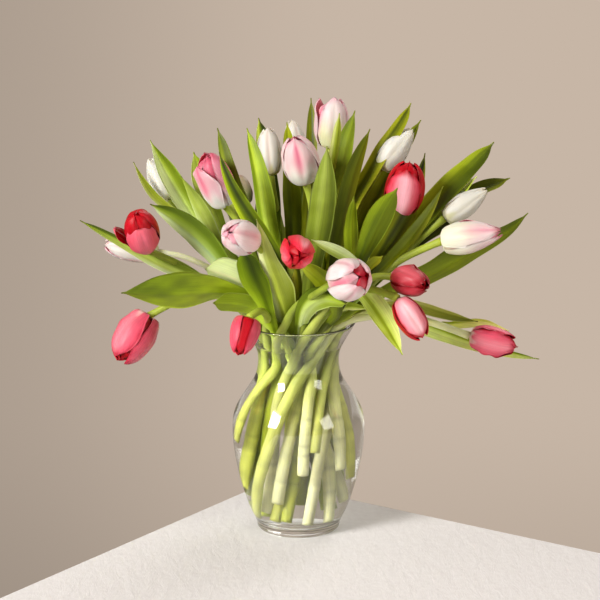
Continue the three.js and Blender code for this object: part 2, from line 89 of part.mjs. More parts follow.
  [1,[[-109.1,14.0,337.8,0.0,-0.65,-0.76,-0.1],[-101.4,9.1,325.1,9.5,-0.64,-0.76,-0.09],[-93.0,3.6,311.0,17.4,-0.63,-0.77,-0.07],[-85.1,-1.6,295.7,19.9,-0.61,-0.79,-0.06],[-78.3,-5.3,279.2,16.8,-0.58,-0.81,-0.09],[-72.6,-6.9,262.0,13.5,-0.55,-0.82,-0.13],[-67.3,-7.0,244.7,11.2,-0.47,-0.84,-0.27],[-59.9,-0.9,226.2,9.3,-0.24,-0.84,-0.48],[-49.0,7.4,208.8,7.4,-0.2,-0.84,-0.51],[-37.2,13.8,192.7,5.5,-0.39,-0.73,-0.56]]],
  [17,[[165.2,6.0,339.0,0.0,0.44,0.71,-0.55],[152.4,5.0,327.9,12.0,0.43,0.71,-0.55],[138.8,3.0,315.2,16.4,0.41,0.7,-0.58],[126.0,-0.8,300.5,14.4,0.44,0.7,-0.56],[112.8,-2.4,283.6,11.6,0.56,0.72,-0.42],[98.5,-1.0,266.5,10.5,0.52,0.71,-0.47],[84.3,-2.2,252.2,9.8,0.47,0.7,-0.54],[70.4,-2.8,237.3,9.1,0.59,0.63,-0.5],[56.8,0.7,220.2,7.4,0.65,0.59,-0.48],[43.5,5.4,202.1,5.5,0.56,0.74,-0.37]]],
  [11,[[52.1,12.0,399.7,0.0,0.52,0.79,-0.32],[47.0,8.1,381.6,13.4,0.55,0.78,-0.31],[42.1,4.0,361.2,21.9,0.59,0.77,-0.26],[38.0,1.2,339.9,22.3,0.62,0.76,-0.18],[33.7,1.1,318.4,19.4,0.64,0.76,-0.09],[27.9,4.7,297.0,15.7,0.62,0.78,0.03],[20.6,13.6,273.8,12.9,0.56,0.81,0.16],[14.1,21.2,250.7,10.5,0.49,0.87,0.08],[8.8,25.2,227.9,8.0,0.43,0.89,0.04],[3.8,28.8,204.3,5.5,0.11,0.99,0.13]]],
  [12,[[181.9,26.0,367.6,0.0,0.32,0.7,-0.64],[166.3,18.7,352.2,17.6,0.31,0.68,-0.66],[148.1,10.3,335.9,24.9,0.31,0.68,-0.67],[129.7,2.9,317.9,25.5,0.4,0.69,-0.6],[111.7,-1.9,297.8,23.5,0.45,0.69,-0.56],[92.1,-4.9,278.5,19.1,0.46,0.69,-0.56],[71.2,-4.5,260.2,14.8,0.55,0.66,-0.51],[51.1,-0.0,240.7,11.5,0.69,0.53,-0.49],[33.8,5.8,218.5,8.5,0.77,0.49,-0.4],[19.0,12.0,194.1,5.5,0.53,0.84,-0.1]]],
  [17,[[197.9,30.0,332.6,0.0,0.18,0.68,-0.71],[181.4,24.2,327.5,13.2,0.2,0.68,-0.71],[163.4,17.8,320.4,17.4,0.22,0.68,-0.7],[144.8,11.5,302.7,18.0,0.24,0.68,-0.69],[125.3,6.2,286.6,15.2,0.27,0.68,-0.68],[105.7,1.7,273.4,12.4,0.34,0.69,-0.64],[87.4,-0.8,258.3,10.3,0.49,0.69,-0.53],[70.6,0.4,239.8,8.7,0.64,0.61,-0.47],[55.4,2.7,219.5,7.1,0.71,0.56,-0.43],[41.3,5.2,198.3,5.5,0.6,0.74,-0.3]]],
  [1,[[-138.4,30.0,368.7,0.0,-0.47,0.76,-0.45],[-129.9,25.3,352.2,12.0,-0.47,0.75,-0.46],[-119.8,20.1,334.2,20.7,-0.46,0.74,-0.48],[-108.5,15.0,315.8,23.1,-0.46,0.73,-0.5],[-96.5,9.9,297.4,21.1,-0.47,0.73,-0.5],[-85.5,5.4,278.9,17.9,-0.54,0.74,-0.4],[-75.8,5.1,258.6,13.9,-0.62,0.76,-0.19],[-64.5,9.0,236.0,10.9,-0.5,0.85,-0.17],[-51.2,10.8,214.0,8.2,-0.4,0.9,-0.17],[-37.2,13.8,192.7,5.5,-0.56,0.79,-0.24]]],
  [5,[[-10.7,34.0,385.0,0.0,-0.13,0.94,-0.3],[-9.5,28.7,367.8,9.3,-0.14,0.94,-0.3],[-8.2,22.8,348.7,12.8,-0.15,0.94,-0.3],[-6.9,16.6,328.7,16.5,-0.18,0.94,-0.3],[-5.8,10.3,308.2,17.9,-0.25,0.93,-0.28],[-5.8,4.9,287.3,16.6,-0.38,0.91,-0.17],[-8.0,1.7,265.9,14.3,-0.47,0.88,0.02],[-12.4,2.1,244.2,11.2,-0.34,0.92,0.15],[-17.0,5.1,222.2,8.3,-0.16,0.97,0.2],[-20.7,9.5,200.0,5.5,-0.43,0.87,0.25]]],
  [3,[[-98.1,34.0,356.6,0.0,-0.46,0.79,-0.41],[-93.7,29.3,342.2,16.0,-0.46,0.78,-0.42],[-89.0,24.1,326.2,21.0,-0.47,0.77,-0.43],[-82.6,19.0,309.8,18.5,-0.49,0.77,-0.41],[-75.7,15.0,292.5,15.4,-0.53,0.78,-0.34],[-68.8,13.2,274.6,12.9,-0.57,0.78,-0.24],[-61.1,14.8,256.5,11.1,-0.6,0.79,-0.13],[-52.1,19.0,238.8,9.4,-0.52,0.85,-0.06],[-42.5,23.5,221.4,7.4,-0.39,0.92,0.02],[-32.3,28.2,204.2,5.5,-0.49,0.87,-0.05]]],
  [1,[[-155.1,44.0,345.1,0.0,-0.38,0.75,-0.55],[-147.4,38.7,330.5,7.2,-0.36,0.74,-0.57],[-136.7,32.8,316.0,12.6,-0.31,0.72,-0.62],[-121.7,26.7,303.5,12.9,-0.27,0.7,-0.66],[-105.1,20.5,290.8,11.5,-0.32,0.71,-0.62],[-89.9,15.6,275.9,9.9,-0.4,0.73,-0.55],[-76.8,10.5,259.4,8.7,-0.37,0.73,-0.57],[-63.6,3.4,241.7,7.6,-0.3,0.83,-0.46],[-52.7,-0.3,222.9,6.6,-0.33,0.92,-0.21],[-42.8,4.1,210.9,5.5,-0.64,0.74,-0.22]]],
  [8,[[115.5,62.0,381.9,0.0,0.27,0.75,-0.6],[104.6,53.9,366.6,11.2,0.28,0.75,-0.59],[92.8,44.9,349.3,15.4,0.3,0.75,-0.58],[81.2,35.6,330.8,20.0,0.33,0.76,-0.56],[70.0,27.1,311.5,22.5,0.39,0.77,-0.51],[58.5,21.9,291.3,20.0,0.47,0.8,-0.37],[45.6,23.0,271.1,16.1,0.56,0.81,-0.2],[32.0,29.3,250.6,12.7,0.63,0.75,-0.16],[19.9,34.8,228.4,9.0,0.61,0.77,-0.15],[9.8,38.1,204.8,5.5,0.19,0.98,0.05]]],
  [5,[[-103.9,60.0,300.0,0.0,-0.38,0.22,-0.9],[-93.6,53.4,293.9,8.9,-0.39,0.22,-0.89],[-82.4,46.0,286.9,16.1,-0.43,0.24,-0.87],[-71.2,38.7,278.8,20.4,-0.48,0.26,-0.84],[-60.0,30.9,269.5,23.2,-0.52,0.26,-0.82],[-48.9,22.1,259.1,21.3,-0.61,0.27,-0.74],[-39.6,15.6,246.9,19.0,-0.75,0.34,-0.57],[-32.2,12.5,232.4,16.0,-0.77,0.47,-0.43],[-26.0,10.6,216.6,10.9,-0.78,0.54,-0.32],[-20.7,9.5,200.0,5.5,-0.87,0.4,-0.29]]],
  [15,[[116.9,67.5,300.0,0.0,0.34,0.19,-0.92],[105.1,59.6,294.0,9.7,0.34,0.19,-0.92],[92.2,50.7,287.3,17.4,0.35,0.19,-0.92],[79.1,41.1,279.9,22.1,0.4,0.2,-0.89],[66.5,31.5,271.3,25.2,0.48,0.22,-0.85],[54.9,22.0,261.0,23.1,0.59,0.22,-0.78],[44.1,12.4,248.9,20.5,0.71,0.19,-0.68],[34.5,4.8,234.3,17.2,0.84,0.16,-0.52],[27.3,-0.4,217.5,11.6,0.94,0.05,-0.34],[21.9,-4.4,199.2,5.5,0.96,-0.19,-0.22]]],
  [4,[[-37.7,62.0,383.8,0.0,-0.21,0.91,-0.36],[-33.8,56.1,367.2,12.8,-0.21,0.91,-0.35],[-30.1,49.7,348.5,16.2,-0.22,0.92,-0.34],[-27.1,43.3,328.7,15.2,-0.23,0.91,-0.33],[-24.6,35.9,308.5,15.2,-0.25,0.88,-0.4],[-23.5,27.7,289.0,14.1,-0.29,0.91,-0.29],[-23.8,24.2,268.8,12.0,-0.31,0.95,-0.02],[-23.5,25.9,247.1,9.8,-0.18,0.97,0.13],[-20.6,30.2,224.5,7.7,-0.0,0.98,0.2],[-15.3,34.9,202.3,5.5,-0.25,0.96,0.13]]],
  [11,[[11.8,66.0,402.2,0.0,0.08,0.93,-0.35],[12.2,59.3,384.3,7.2,0.09,0.93,-0.35],[12.3,51.9,364.4,10.5,0.1,0.93,-0.35],[11.7,44.3,343.6,11.5,0.11,0.94,-0.33],[10.4,37.2,322.3,11.5,0.11,0.95,-0.29],[8.3,32.2,300.0,11.0,0.11,0.98,-0.16],[6.1,30.0,276.8,9.7,0.1,0.99,-0.06],[4.3,29.3,252.8,8.3,0.08,1.0,-0.03],[3.5,28.9,228.5,6.9,0.06,1.0,-0.01],[3.8,28.8,204.3,5.5,0.06,1.0,0.0]]],
  [3,[[-75.0,78.8,305.6,0.0,-0.41,0.52,-0.75],[-68.4,69.4,299.9,9.7,-0.45,0.55,-0.7],[-62.2,59.8,292.7,17.4,-0.53,0.61,-0.59],[-57.1,51.3,284.1,22.1,-0.61,0.65,-0.45],[-53.1,44.3,274.3,25.2,-0.68,0.66,-0.33],[-49.3,39.1,262.4,23.1,-0.71,0.65,-0.27],[-44.7,34.8,246.9,20.5,-0.71,0.64,-0.29],[-39.2,30.9,231.6,17.2,-0.6,0.75,-0.27],[-33.0,28.7,215.8,11.6,-0.47,0.86,-0.19],[-27.3,28.4,197.6,5.5,-0.68,0.7,-0.21]]],
  [12,[[67.2,84.3,303.2,0.0,0.36,0.42,-0.83],[59.4,74.1,298.7,9.7,0.38,0.45,-0.81],[51.3,63.4,293.1,17.4,0.42,0.5,-0.75],[43.8,53.2,286.2,22.1,0.48,0.56,-0.68],[37.2,43.8,278.3,25.2,0.53,0.6,-0.6],[31.5,35.2,267.8,23.1,0.58,0.64,-0.49],[26.9,28.5,252.4,20.5,0.65,0.7,-0.31],[24.6,24.3,235.5,17.2,0.66,0.71,-0.24],[22.5,18.8,218.0,11.6,0.69,0.67,-0.28],[19.7,13.0,198.2,5.5,0.8,0.53,-0.27]]],
  [11,[[4.0,92.2,352.5,0.0,0.03,0.7,-0.71],[3.3,81.8,341.9,8.9,0.03,0.74,-0.67],[2.7,71.0,328.8,16.1,0.03,0.81,-0.58],[2.4,61.5,313.5,20.4,0.04,0.88,-0.47],[2.3,53.5,296.6,23.2,0.04,0.92,-0.39],[2.5,46.6,278.9,21.3,0.05,0.94,-0.35],[2.9,40.2,260.8,19.0,0.06,0.96,-0.28],[3.3,36.1,241.1,16.0,0.09,0.98,-0.17],[3.6,32.3,220.4,10.9,0.14,0.97,-0.21],[4.0,27.1,200.1,5.5,0.14,0.96,-0.25]]],
  [3,[[-102.5,102.5,254.0,0.0,-0.01,0.01,-1.0],[-94.6,93.5,253.7,10.4,-0.04,0.03,-1.0],[-86.1,83.4,252.6,18.8,-0.1,0.09,-0.99],[-77.4,73.0,250.1,23.8,-0.18,0.17,-0.97],[-68.7,62.8,245.8,27.1,-0.28,0.25,-0.93],[-60.1,53.7,239.6,24.9,-0.39,0.35,-0.85],[-51.9,46.1,231.3,22.1,-0.49,0.48,-0.73],[-43.9,40.5,220.7,18.5,-0.44,0.63,-0.63],[-35.8,34.6,209.3,12.2,-0.35,0.7,-0.63],[-27.3,28.4,197.6,5.5,-0.52,0.54,-0.66]]],
  [4,[[-37.1,114.1,322.0,0.0,-0.15,0.48,-0.87],[-34.3,101.6,314.3,10.4,-0.18,0.53,-0.83],[-32.2,89.0,304.5,18.8,-0.23,0.64,-0.73],[-31.0,77.8,292.8,23.8,-0.28,0.71,-0.64],[-30.2,67.1,279.6,27.1,-0.34,0.74,-0.58],[-29.2,57.1,265.2,24.9,-0.39,0.77,-0.51],[-27.5,48.8,249.7,22.1,-0.41,0.82,-0.4],[-23.7,43.4,232.9,18.5,-0.26,0.9,-0.34],[-18.6,38.6,215.9,12.2,-0.11,0.95,-0.29],[-12.9,34.4,198.7,5.5,-0.33,0.89,-0.32]]],
  [8,[[43.8,120.3,318.0,0.0,0.18,0.49,-0.86],[38.6,108.9,310.4,10.4,0.18,0.5,-0.84],[32.8,96.5,301.3,18.8,0.18,0.54,-0.82],[27.0,83.7,291.2,23.8,0.18,0.55,-0.81],[21.5,69.3,280.7,27.1,0.17,0.54,-0.82],[17.3,57.0,268.6,24.9,0.25,0.82,-0.44],[14.6,56.1,250.4,22.1,0.32,0.95,-0.01],[12.6,52.2,231.4,18.5,0.43,0.8,-0.39],[11.8,42.4,214.8,12.2,0.57,0.72,-0.4],[12.3,34.2,197.7,5.5,0.31,0.87,-0.37]]],
  [9,[[-19.5,138.6,262.0,0.0,0.0,-0.03,-1.0],[-17.6,124.7,262.4,11.2,0.0,-0.01,-1.0],[-15.3,109.3,262.2,20.1,-0.01,0.04,-1.0],[-12.6,93.3,261.0,25.5,-0.02,0.13,-0.99],[-11.0,77.0,257.4,29.0,-0.04,0.31,-0.95],[-11.2,60.8,251.1,26.7,-0.07,0.36,-0.93],[-10.3,42.7,243.9,23.7,-0.1,0.46,-0.88],[-7.0,30.2,232.4,19.8,-0.11,0.79,-0.59],[-4.4,22.5,217.0,12.9,-0.09,0.92,-0.39],[-2.5,16.3,200.0,5.5,-0.14,0.93,-0.34]]],
  [4,[[79.5,127.2,258.0,0.0,-0.01,-0.02,-1.0],[69.0,116.2,258.3,10.4,-0.0,-0.0,-1.0],[56.8,104.6,258.0,18.8,0.02,0.05,-1.0],[43.5,93.5,256.4,23.8,0.05,0.15,-0.99],[29.7,83.6,253.2,27.1,0.09,0.33,-0.94],[15.8,76.4,247.6,24.9,0.14,0.51,-0.85],[2.9,67.6,240.1,22.1,0.02,0.53,-0.85],[-7.0,52.3,230.4,18.5,0.09,0.63,-0.77],[-12.2,41.3,216.0,12.2,0.11,0.86,-0.48],[-12.9,34.4,198.7,5.5,-0.33,0.89,-0.33]]],
];

// flowers: [tulip, base, tip, width, opening 0..1, turn in degrees, colour]
const FLOWERS = [
  [1,[-141.0,-14.0,209.3],[-166.3,-34.0,172.9],36.5,0.15,48,'red'],
  [2,[-137.8,-42.0,281.0],[-145.7,-80.0,320.6],33.9,0.62,5,'red'],
  [3,[-131.7,16.0,264.8],[-181.4,8.0,274.4],24.5,0.0,10,'pw'],
  [4,[-123.5,50.0,307.3],[-141.6,62.0,345.4],22.0,0.0,14,'white'],
  [5,[-67.6,-14.0,316.4],[-84.5,-26.0,366.9],31.6,0.12,10,'pink'],
  [6,[-42.2,-92.0,300.1],[-61.8,-131.0,317.7],30.3,0.3,48,'pale'],
  [7,[-45.2,-74.0,223.9],[-54.4,-92.0,195.1],26.1,0.35,52,'red'],
  [8,[-50.1,89.7,295.8],[-57.0,99.7,321.3],15.9,0.0,34,'bud'],
  [9,[-25.9,33.2,334.9],[-29.0,41.2,379.0],23.1,0.0,2,'white'],
  [10,[6.4,-24.0,340.5],[-4.0,-36.0,384.0],33.2,0.1,5,'pink'],
  [11,[0.3,96.7,328.8],[-6.5,108.7,374.4],20.5,0.0,19,'white'],
  [12,[29.5,38.0,360.6],[33.0,34.0,407.6],31.4,0.45,25,'pink2'],
  [13,[-2.6,-93.0,293.5],[1.0,-141.0,298.1],28.5,0.35,37,'red'],
  [14,[35.6,-104.0,266.4],[54.6,-140.0,279.9],36.0,0.38,28,'pw2'],
  [15,[76.3,26.9,343.3],[106.7,32.9,378.6],25.5,0.0,15,'white'],
  [16,[94.0,-10.8,308.1],[101.2,-22.8,357.9],35.6,0.12,9,'redpink'],
  [17,[135.4,-5.7,302.7],[175.3,2.3,327.5],22.9,0.0,41,'white'],
  [18,[131.0,-46.6,290.0],[184.4,-62.6,302.5],28.3,0.04,44,'pw'],
  [19,[87.5,-84.0,265.1],[113.0,-112.0,264.3],26.2,0.25,1,'dark'],
  [20,[89.0,-106.0,250.4],[111.5,-118.0,217.7],24.5,0.1,6,'redpink'],
  [21,[157.0,-60.2,204.1],[197.8,-66.2,195.8],25.5,0.2,27,'pinkred'],
];

const TINT = {
  red: 0xc81f35, dark: 0xb3122a, pink: 0xe58fa6, pale: 0xf2b9c6, pink2: 0xeeb0bf,
  pw: 0xf4c9d2, pw2: 0xf6d3d9, redpink: 0xd8465e, pinkred: 0xd35469, white: 0xf3ece0, bud: 0xb08a78,
};

// ---- solids ------------------------------------------------------------------------------
const wasm = await Module();
wasm.setup();

function toGeometry(positions, index) {
  const g = new THREE.BufferGeometry();
  g.setAttribute('position', new THREE.Float32BufferAttribute(positions, 3));
  g.setIndex(index);
  return g;
}

function toManifold(geometry) {
  let g = geometry.clone();
  g.deleteAttribute('normal');
  g.deleteAttribute('uv');
  g = mergeVertices(g, 1e-4);
  return new wasm.Manifold(new wasm.Mesh({
    numProp: 3,
    vertProperties: new Float32Array(g.attributes.position.array),
    triVerts: new Uint32Array(g.index.array),
  }));
}

function fromManifold(m) {
  const mesh = m.getMesh();
  const out = [];
  for (let i = 0; i < mesh.vertProperties.length; i += mesh.numProp) {
    out.push(mesh.vertProperties[i], mesh.vertProperties[i + 1], mesh.vertProperties[i + 2]);
  }
  return toGeometry(out, Array.from(mesh.triVerts));
}

function largest(m) {
  const bits = m.decompose();
  let best = bits[0];
  for (const b of bits) if (Math.abs(b.volume()) > Math.abs(best.volume())) best = b;
  return best;
}

// closed skin through rings of points; each ring has the same count
function skin(rings) {
  const n = rings[0].length;
  const pos = [];
  const idx = [];
  for (const ring of rings) for (const p of ring) pos.push(p.x, p.y, p.z);
  for (let k = 0; k + 1 < rings.length; k++) {
    for (let i = 0; i < n; i++) {
      const j = (i + 1) % n;
      const a = k * n + i, b = k * n + j, c = (k + 1) * n + i, d = (k + 1) * n + j;
      idx.push(a, b, d, a, d, c);
    }
  }
  const cap = (k, flip) => {
    const m = new THREE.Vector3();
    for (const p of rings[k]) m.add(p);
    m.divideScalar(n);
    const c = pos.length / 3;
    pos.push(m.x, m.y, m.z);
    for (let i = 0; i < n; i++) {
      const j = (i + 1) % n;
      if (flip) idx.push(c, k * n + j, k * n + i);
      else idx.push(c, k * n + i, k * n + j);
    }
  };
  cap(0, true);
  cap(rings.length - 1, false);
  return toGeometry(pos, idx);
}

function outward(m) {
  return m;
}

function curvePoints(points, count) {
  const c = new THREE.CatmullRomCurve3(points.map((p) => new THREE.Vector3(p[0], p[1], p[2])), false, 'centripetal');
  return c.getSpacedPoints(count);
}

function vaseGeometry() {
  const inside = [];
  for (const [r, z] of VASE_OUTSIDE) {
    if (z < FOOT_THICKNESS + 4) continue;
    inside.push([r - WALL - (z < 40 ? 0.5 : 0), z]);
  }
  const pts = [new THREE.Vector2(0, 0)];
  for (const [r, z] of VASE_OUTSIDE) pts.push(new THREE.Vector2(r, z));
  pts.push(new THREE.Vector2(52.9, VASE_HEIGHT), new THREE.Vector2(51.3, VASE_HEIGHT));
  for (let i = inside.length - 2; i >= 0; i--) pts.push(new THREE.Vector2(inside[i][0], inside[i][1]));
  pts.push(new THREE.Vector2(36.5, FOOT_THICKNESS + 2.2));
  pts.push(new THREE.Vector2(31, FOOT_THICKNESS));
  pts.push(new THREE.Vector2(0, FOOT_THICKNESS));
  const g = new THREE.LatheGeometry(pts, VASE_SIDES);
  g.rotateX(Math.PI / 2);
  return g;
}

function stemSolid(points, grow) {
  const path = curvePoints(points, STEM_STEPS);
  const rings = [];
  let normal = new THREE.Vector3(1, 0, 0);
  for (let k = 0; k <= STEM_STEPS; k++) {
    const t = new THREE.Vector3().subVectors(path[Math.min(k + 1, STEM_STEPS)], path[Math.max(k - 1, 0)]).normalize();
    normal.addScaledVector(t, -normal.dot(t)).normalize();
    const side = new THREE.Vector3().crossVectors(t, normal);
    const r = STEM_R_FOOT + (STEM_R_TOP - STEM_R_FOOT) * (k / STEM_STEPS) + grow;
    const centre = path[k].clone();
    if (k === 0) centre.addScaledVector(t, -grow);
    if (k === STEM_STEPS) centre.addScaledVector(t, grow);
    const ring = [];
    for (let i = 0; i < STEM_SIDES; i++) {
      const a = (i / STEM_SIDES) * Math.PI * 2;
      ring.push(centre.clone().addScaledVector(normal, r * Math.cos(a)).addScaledVector(side, r * Math.sin(a)));
    }
    rings.push(ring);
  }
  return toManifold(skin(rings));
}

function leafSolid(stations, grow) {
  const rings = [];
  const last = stations.length - 1;
  for (let k = 0; k <= last; k++) {
    const [x, y, z, w, nx, ny, nz] = stations[k];
    const p = new THREE.Vector3(x, y, z);
    const q0 = stations[Math.max(k - 1, 0)], q1 = stations[Math.min(k + 1, last)];
    const t = new THREE.Vector3(q0[0] - q1[0], q0[1] - q1[1], q0[2] - q1[2]).normalize();
    const n = new THREE.Vector3(nx, ny, nz);
    n.addScaledVector(t, -n.dot(t)).normalize();
    const b = new THREE.Vector3().crossVectors(t, n);
    const half = Math.max(w / 2, 0.9) + grow;
    const thick = (LEAF_THICKNESS / 2) * (k === 0 ? 0.6 : 1) + grow;
    const c = p.clone();
    if (k === 0) c.addScaledVector(t, grow);
    const cup = LEAF_CUP * half;
    rings.push([
      c.clone().addScaledVector(b, half).addScaledVector(n, -cup),
      c.clone().addScaledVector(n, thick),
      c.clone().addScaledVector(b, -half).addScaledVector(n, -cup),
      c.clone().addScaledVector(n, -thick),
    ]);
  }
  return toManifold(skin(rings));
}

const HEAD_PROFILE = [[0, 0.17], [0.06, 0.47], [0.18, 0.8], [0.38, 1.0], [0.6, 0.96], [0.8, 0.74], [0.93, 0.44], [1.0, 0.16]];

function headSolid(flower, grow) {
  const [, base, tip, width, open, turn] = flower;
  const b = new THREE.Vector3(...base), t = new THREE.Vector3(...tip);
  const axis = new THREE.Vector3().subVectors(t, b);
  const length = axis.length() - HEAD_GAP;
  axis.normalize();
  b.addScaledVector(axis, HEAD_GAP);
  const u = Math.abs(axis.z) < 0.9 ? new THREE.Vector3(0, 0, 1) : new THREE.Vector3(1, 0, 0);
  u.addScaledVector(axis, -u.dot(axis)).normalize();
  const v = new THREE.Vector3().crossVectors(axis, u);
  const R = width / 2;
  const rings = [];
  const ring = (h, r, scallop) => {
    const out = [];
    for (let i = 0; i < HEAD_SIDES; i++) {
      const a = ((i / HEAD_SIDES) * 360 + turn) * Math.PI / 180;
      const petal = i % 2 === 0;
      const rr = r * (petal ? 1 : 0.925);
      const hh = h - (petal ? 0 : scallop);
      out.push(b.clone().addScaledVector(axis, hh).addScaledVector(u, rr * Math.cos(a)).addScaledVector(v, rr * Math.sin(a)));
    }
    return out;
  };
  for (const [f, r0] of HEAD_PROFILE) {
    const s = Math.max(0, (f - 0.42) / 0.58);
    const r = r0 + open * s * (1.02 - r0);
    const h = f === 0 ? -grow * 0 : f * length + (f === 1 ? grow : 0);
    rings.push(ring(h, r * R + grow, length * 0.10 * Math.max(0, s - 0.5) * (open > 0.12 ? 1 : 0.35)));
  }
  if (open >= 0.3) {
    // hollow cup between the petals
    const top = 0.16 + open * (1.02 - 0.16);
    const wall = 1.8;
    rings.push(ring(length - 0.6 + grow, Math.max(top * R - wall - grow, 1.2), length * 0.05));
    rings.push(ring(length * 0.72, Math.max((0.84 + open * 0.5 * 0.18) * R * (0.5 + open * 0.5) - wall, 1.2), 0));
    rings.push(ring(length * 0.42, R * 0.32, 0));
  }
  return toManifold(skin(rings));
}

// ---- placing -----------------------------------------------------------------------------
// Bodies are laid down in order; each new one keeps GAP clear of all that are already there.
const placed = [];
function boxesMeet(a, b) {
  for (let i = 0; i < 3; i++) if (a.min[i] > b.max[i] || b.min[i] > a.max[i]) return false;
  return true;
}
function clearOf(solid, except) {
  let s = solid;
  for (const q of placed) {
    if (q.plant === except) continue;
    if (!boxesMeet(s.boundingBox(), q.box)) continue;
    const cut = s.subtract(q.grown);
    s = cut;
  }
  return s;
}
function keep(grown, plant) {
  placed.push({ grown, plant, box: grown.boundingBox() });
}

const root = new THREE.Group();
root.name = 'tulips_in_vase';
function addMesh(name, manifold, color, roughness) {
  const g = fromManifold(manifold);
  g.computeVertexNormals();
  const m = new THREE.Mesh(g, new THREE.MeshStandardMaterial({ color, roughness, metalness: 0 }));
  m.name = name;
  root.add(m);
}

const id = (n) => String(n).padStart(2, '0');

const vase = toManifold(vaseGeometry());
{
  const g = vaseGeometry();
  const m = new THREE.Mesh(g, new THREE.MeshStandardMaterial({ color: 0xdfe9e6, roughness: 0.05, metalness: 0 }));
  m.name = 'vase';
  root.add(m);
}

// stems first, then flowers, then the leaves from the outside in
const stems = STEMS.map((pts, i) => {
  const s = clearOf(stemSolid(pts, 0), -1).subtract(vase);
  keep(stemSolid(pts, GAP), i + 1);
  return s;
});
for (const f of FLOWERS) {
  const s = largest(clearOf(headSolid(f, 0), f[0]).subtract(stemSolid(STEMS[f[0] - 1], 0.15)));
  addMesh('flower_' + id(f[0]), s, TINT[f[6]], 0.45);
  keep(headSolid(f, GAP), f[0] + 100);
}
const vaseGrown = (() => {
  const pts = [new THREE.Vector2(0, -GAP)];
  for (const [r, z] of VASE_OUTSIDE) pts.push(new THREE.Vector2(r + GAP, z));
  pts.push(new THREE.Vector2(53.3, VASE_HEIGHT + GAP), new THREE.Vector2(50.9, VASE_HEIGHT + GAP));
  for (let i = VASE_OUTSIDE.length - 2; VASE_OUTSIDE[i][1] >= FOOT_THICKNESS + 4; i--) {
    const [r, z] = VASE_OUTSIDE[i];
    pts.push(new THREE.Vector2(r - WALL - (z < 40 ? 0.5 : 0) - GAP, z));
  }
  pts.push(new THREE.Vector2(36.2, FOOT_THICKNESS + 2.6), new THREE.Vector2(30.8, FOOT_THICKNESS + GAP), new THREE.Vector2(0, FOOT_THICKNESS + GAP));
  const g = new THREE.LatheGeometry(pts, VASE_SIDES);
  g.rotateX(Math.PI / 2);
  return toManifold(g);
})();
keep(vaseGrown, -5);

const grownLeaves = [];
LEAVES.forEach(([plant, stations], i) => {
  let s = leafSolid(stations, 0);
  s = clearOf(s, plant);
  if (s.isEmpty()) return;
  const joined = stems[plant - 1].add(s);
  const one = largest(joined);
  stems[plant - 1] = one;
  keep(leafSolid(stations, GAP), plant);
});
stems.forEach((s, i) => addMesh('plant_' + id(i + 1), largest(s), 0x7fa03c, 0.5));

root.userData.note = 'vase ' + VASE_HEIGHT + ' mm high';
export default root;
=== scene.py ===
# Tulips in a clear glass vase: the look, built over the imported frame.  Tables in millimetres.
import bpy
import math
import numpy as np
from mathutils import Vector, Matrix


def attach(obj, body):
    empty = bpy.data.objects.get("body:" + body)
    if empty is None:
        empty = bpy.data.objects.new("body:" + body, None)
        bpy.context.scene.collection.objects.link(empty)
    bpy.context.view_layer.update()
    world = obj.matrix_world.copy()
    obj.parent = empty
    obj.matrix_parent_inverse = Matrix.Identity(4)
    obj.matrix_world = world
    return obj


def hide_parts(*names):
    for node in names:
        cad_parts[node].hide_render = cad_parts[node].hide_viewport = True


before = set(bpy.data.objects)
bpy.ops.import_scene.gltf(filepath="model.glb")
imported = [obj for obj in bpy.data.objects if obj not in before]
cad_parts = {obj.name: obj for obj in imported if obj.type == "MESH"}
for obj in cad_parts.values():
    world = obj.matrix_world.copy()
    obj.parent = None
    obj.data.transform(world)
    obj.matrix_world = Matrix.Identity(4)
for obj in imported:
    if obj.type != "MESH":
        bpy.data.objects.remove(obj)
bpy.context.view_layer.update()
MM = 0.001

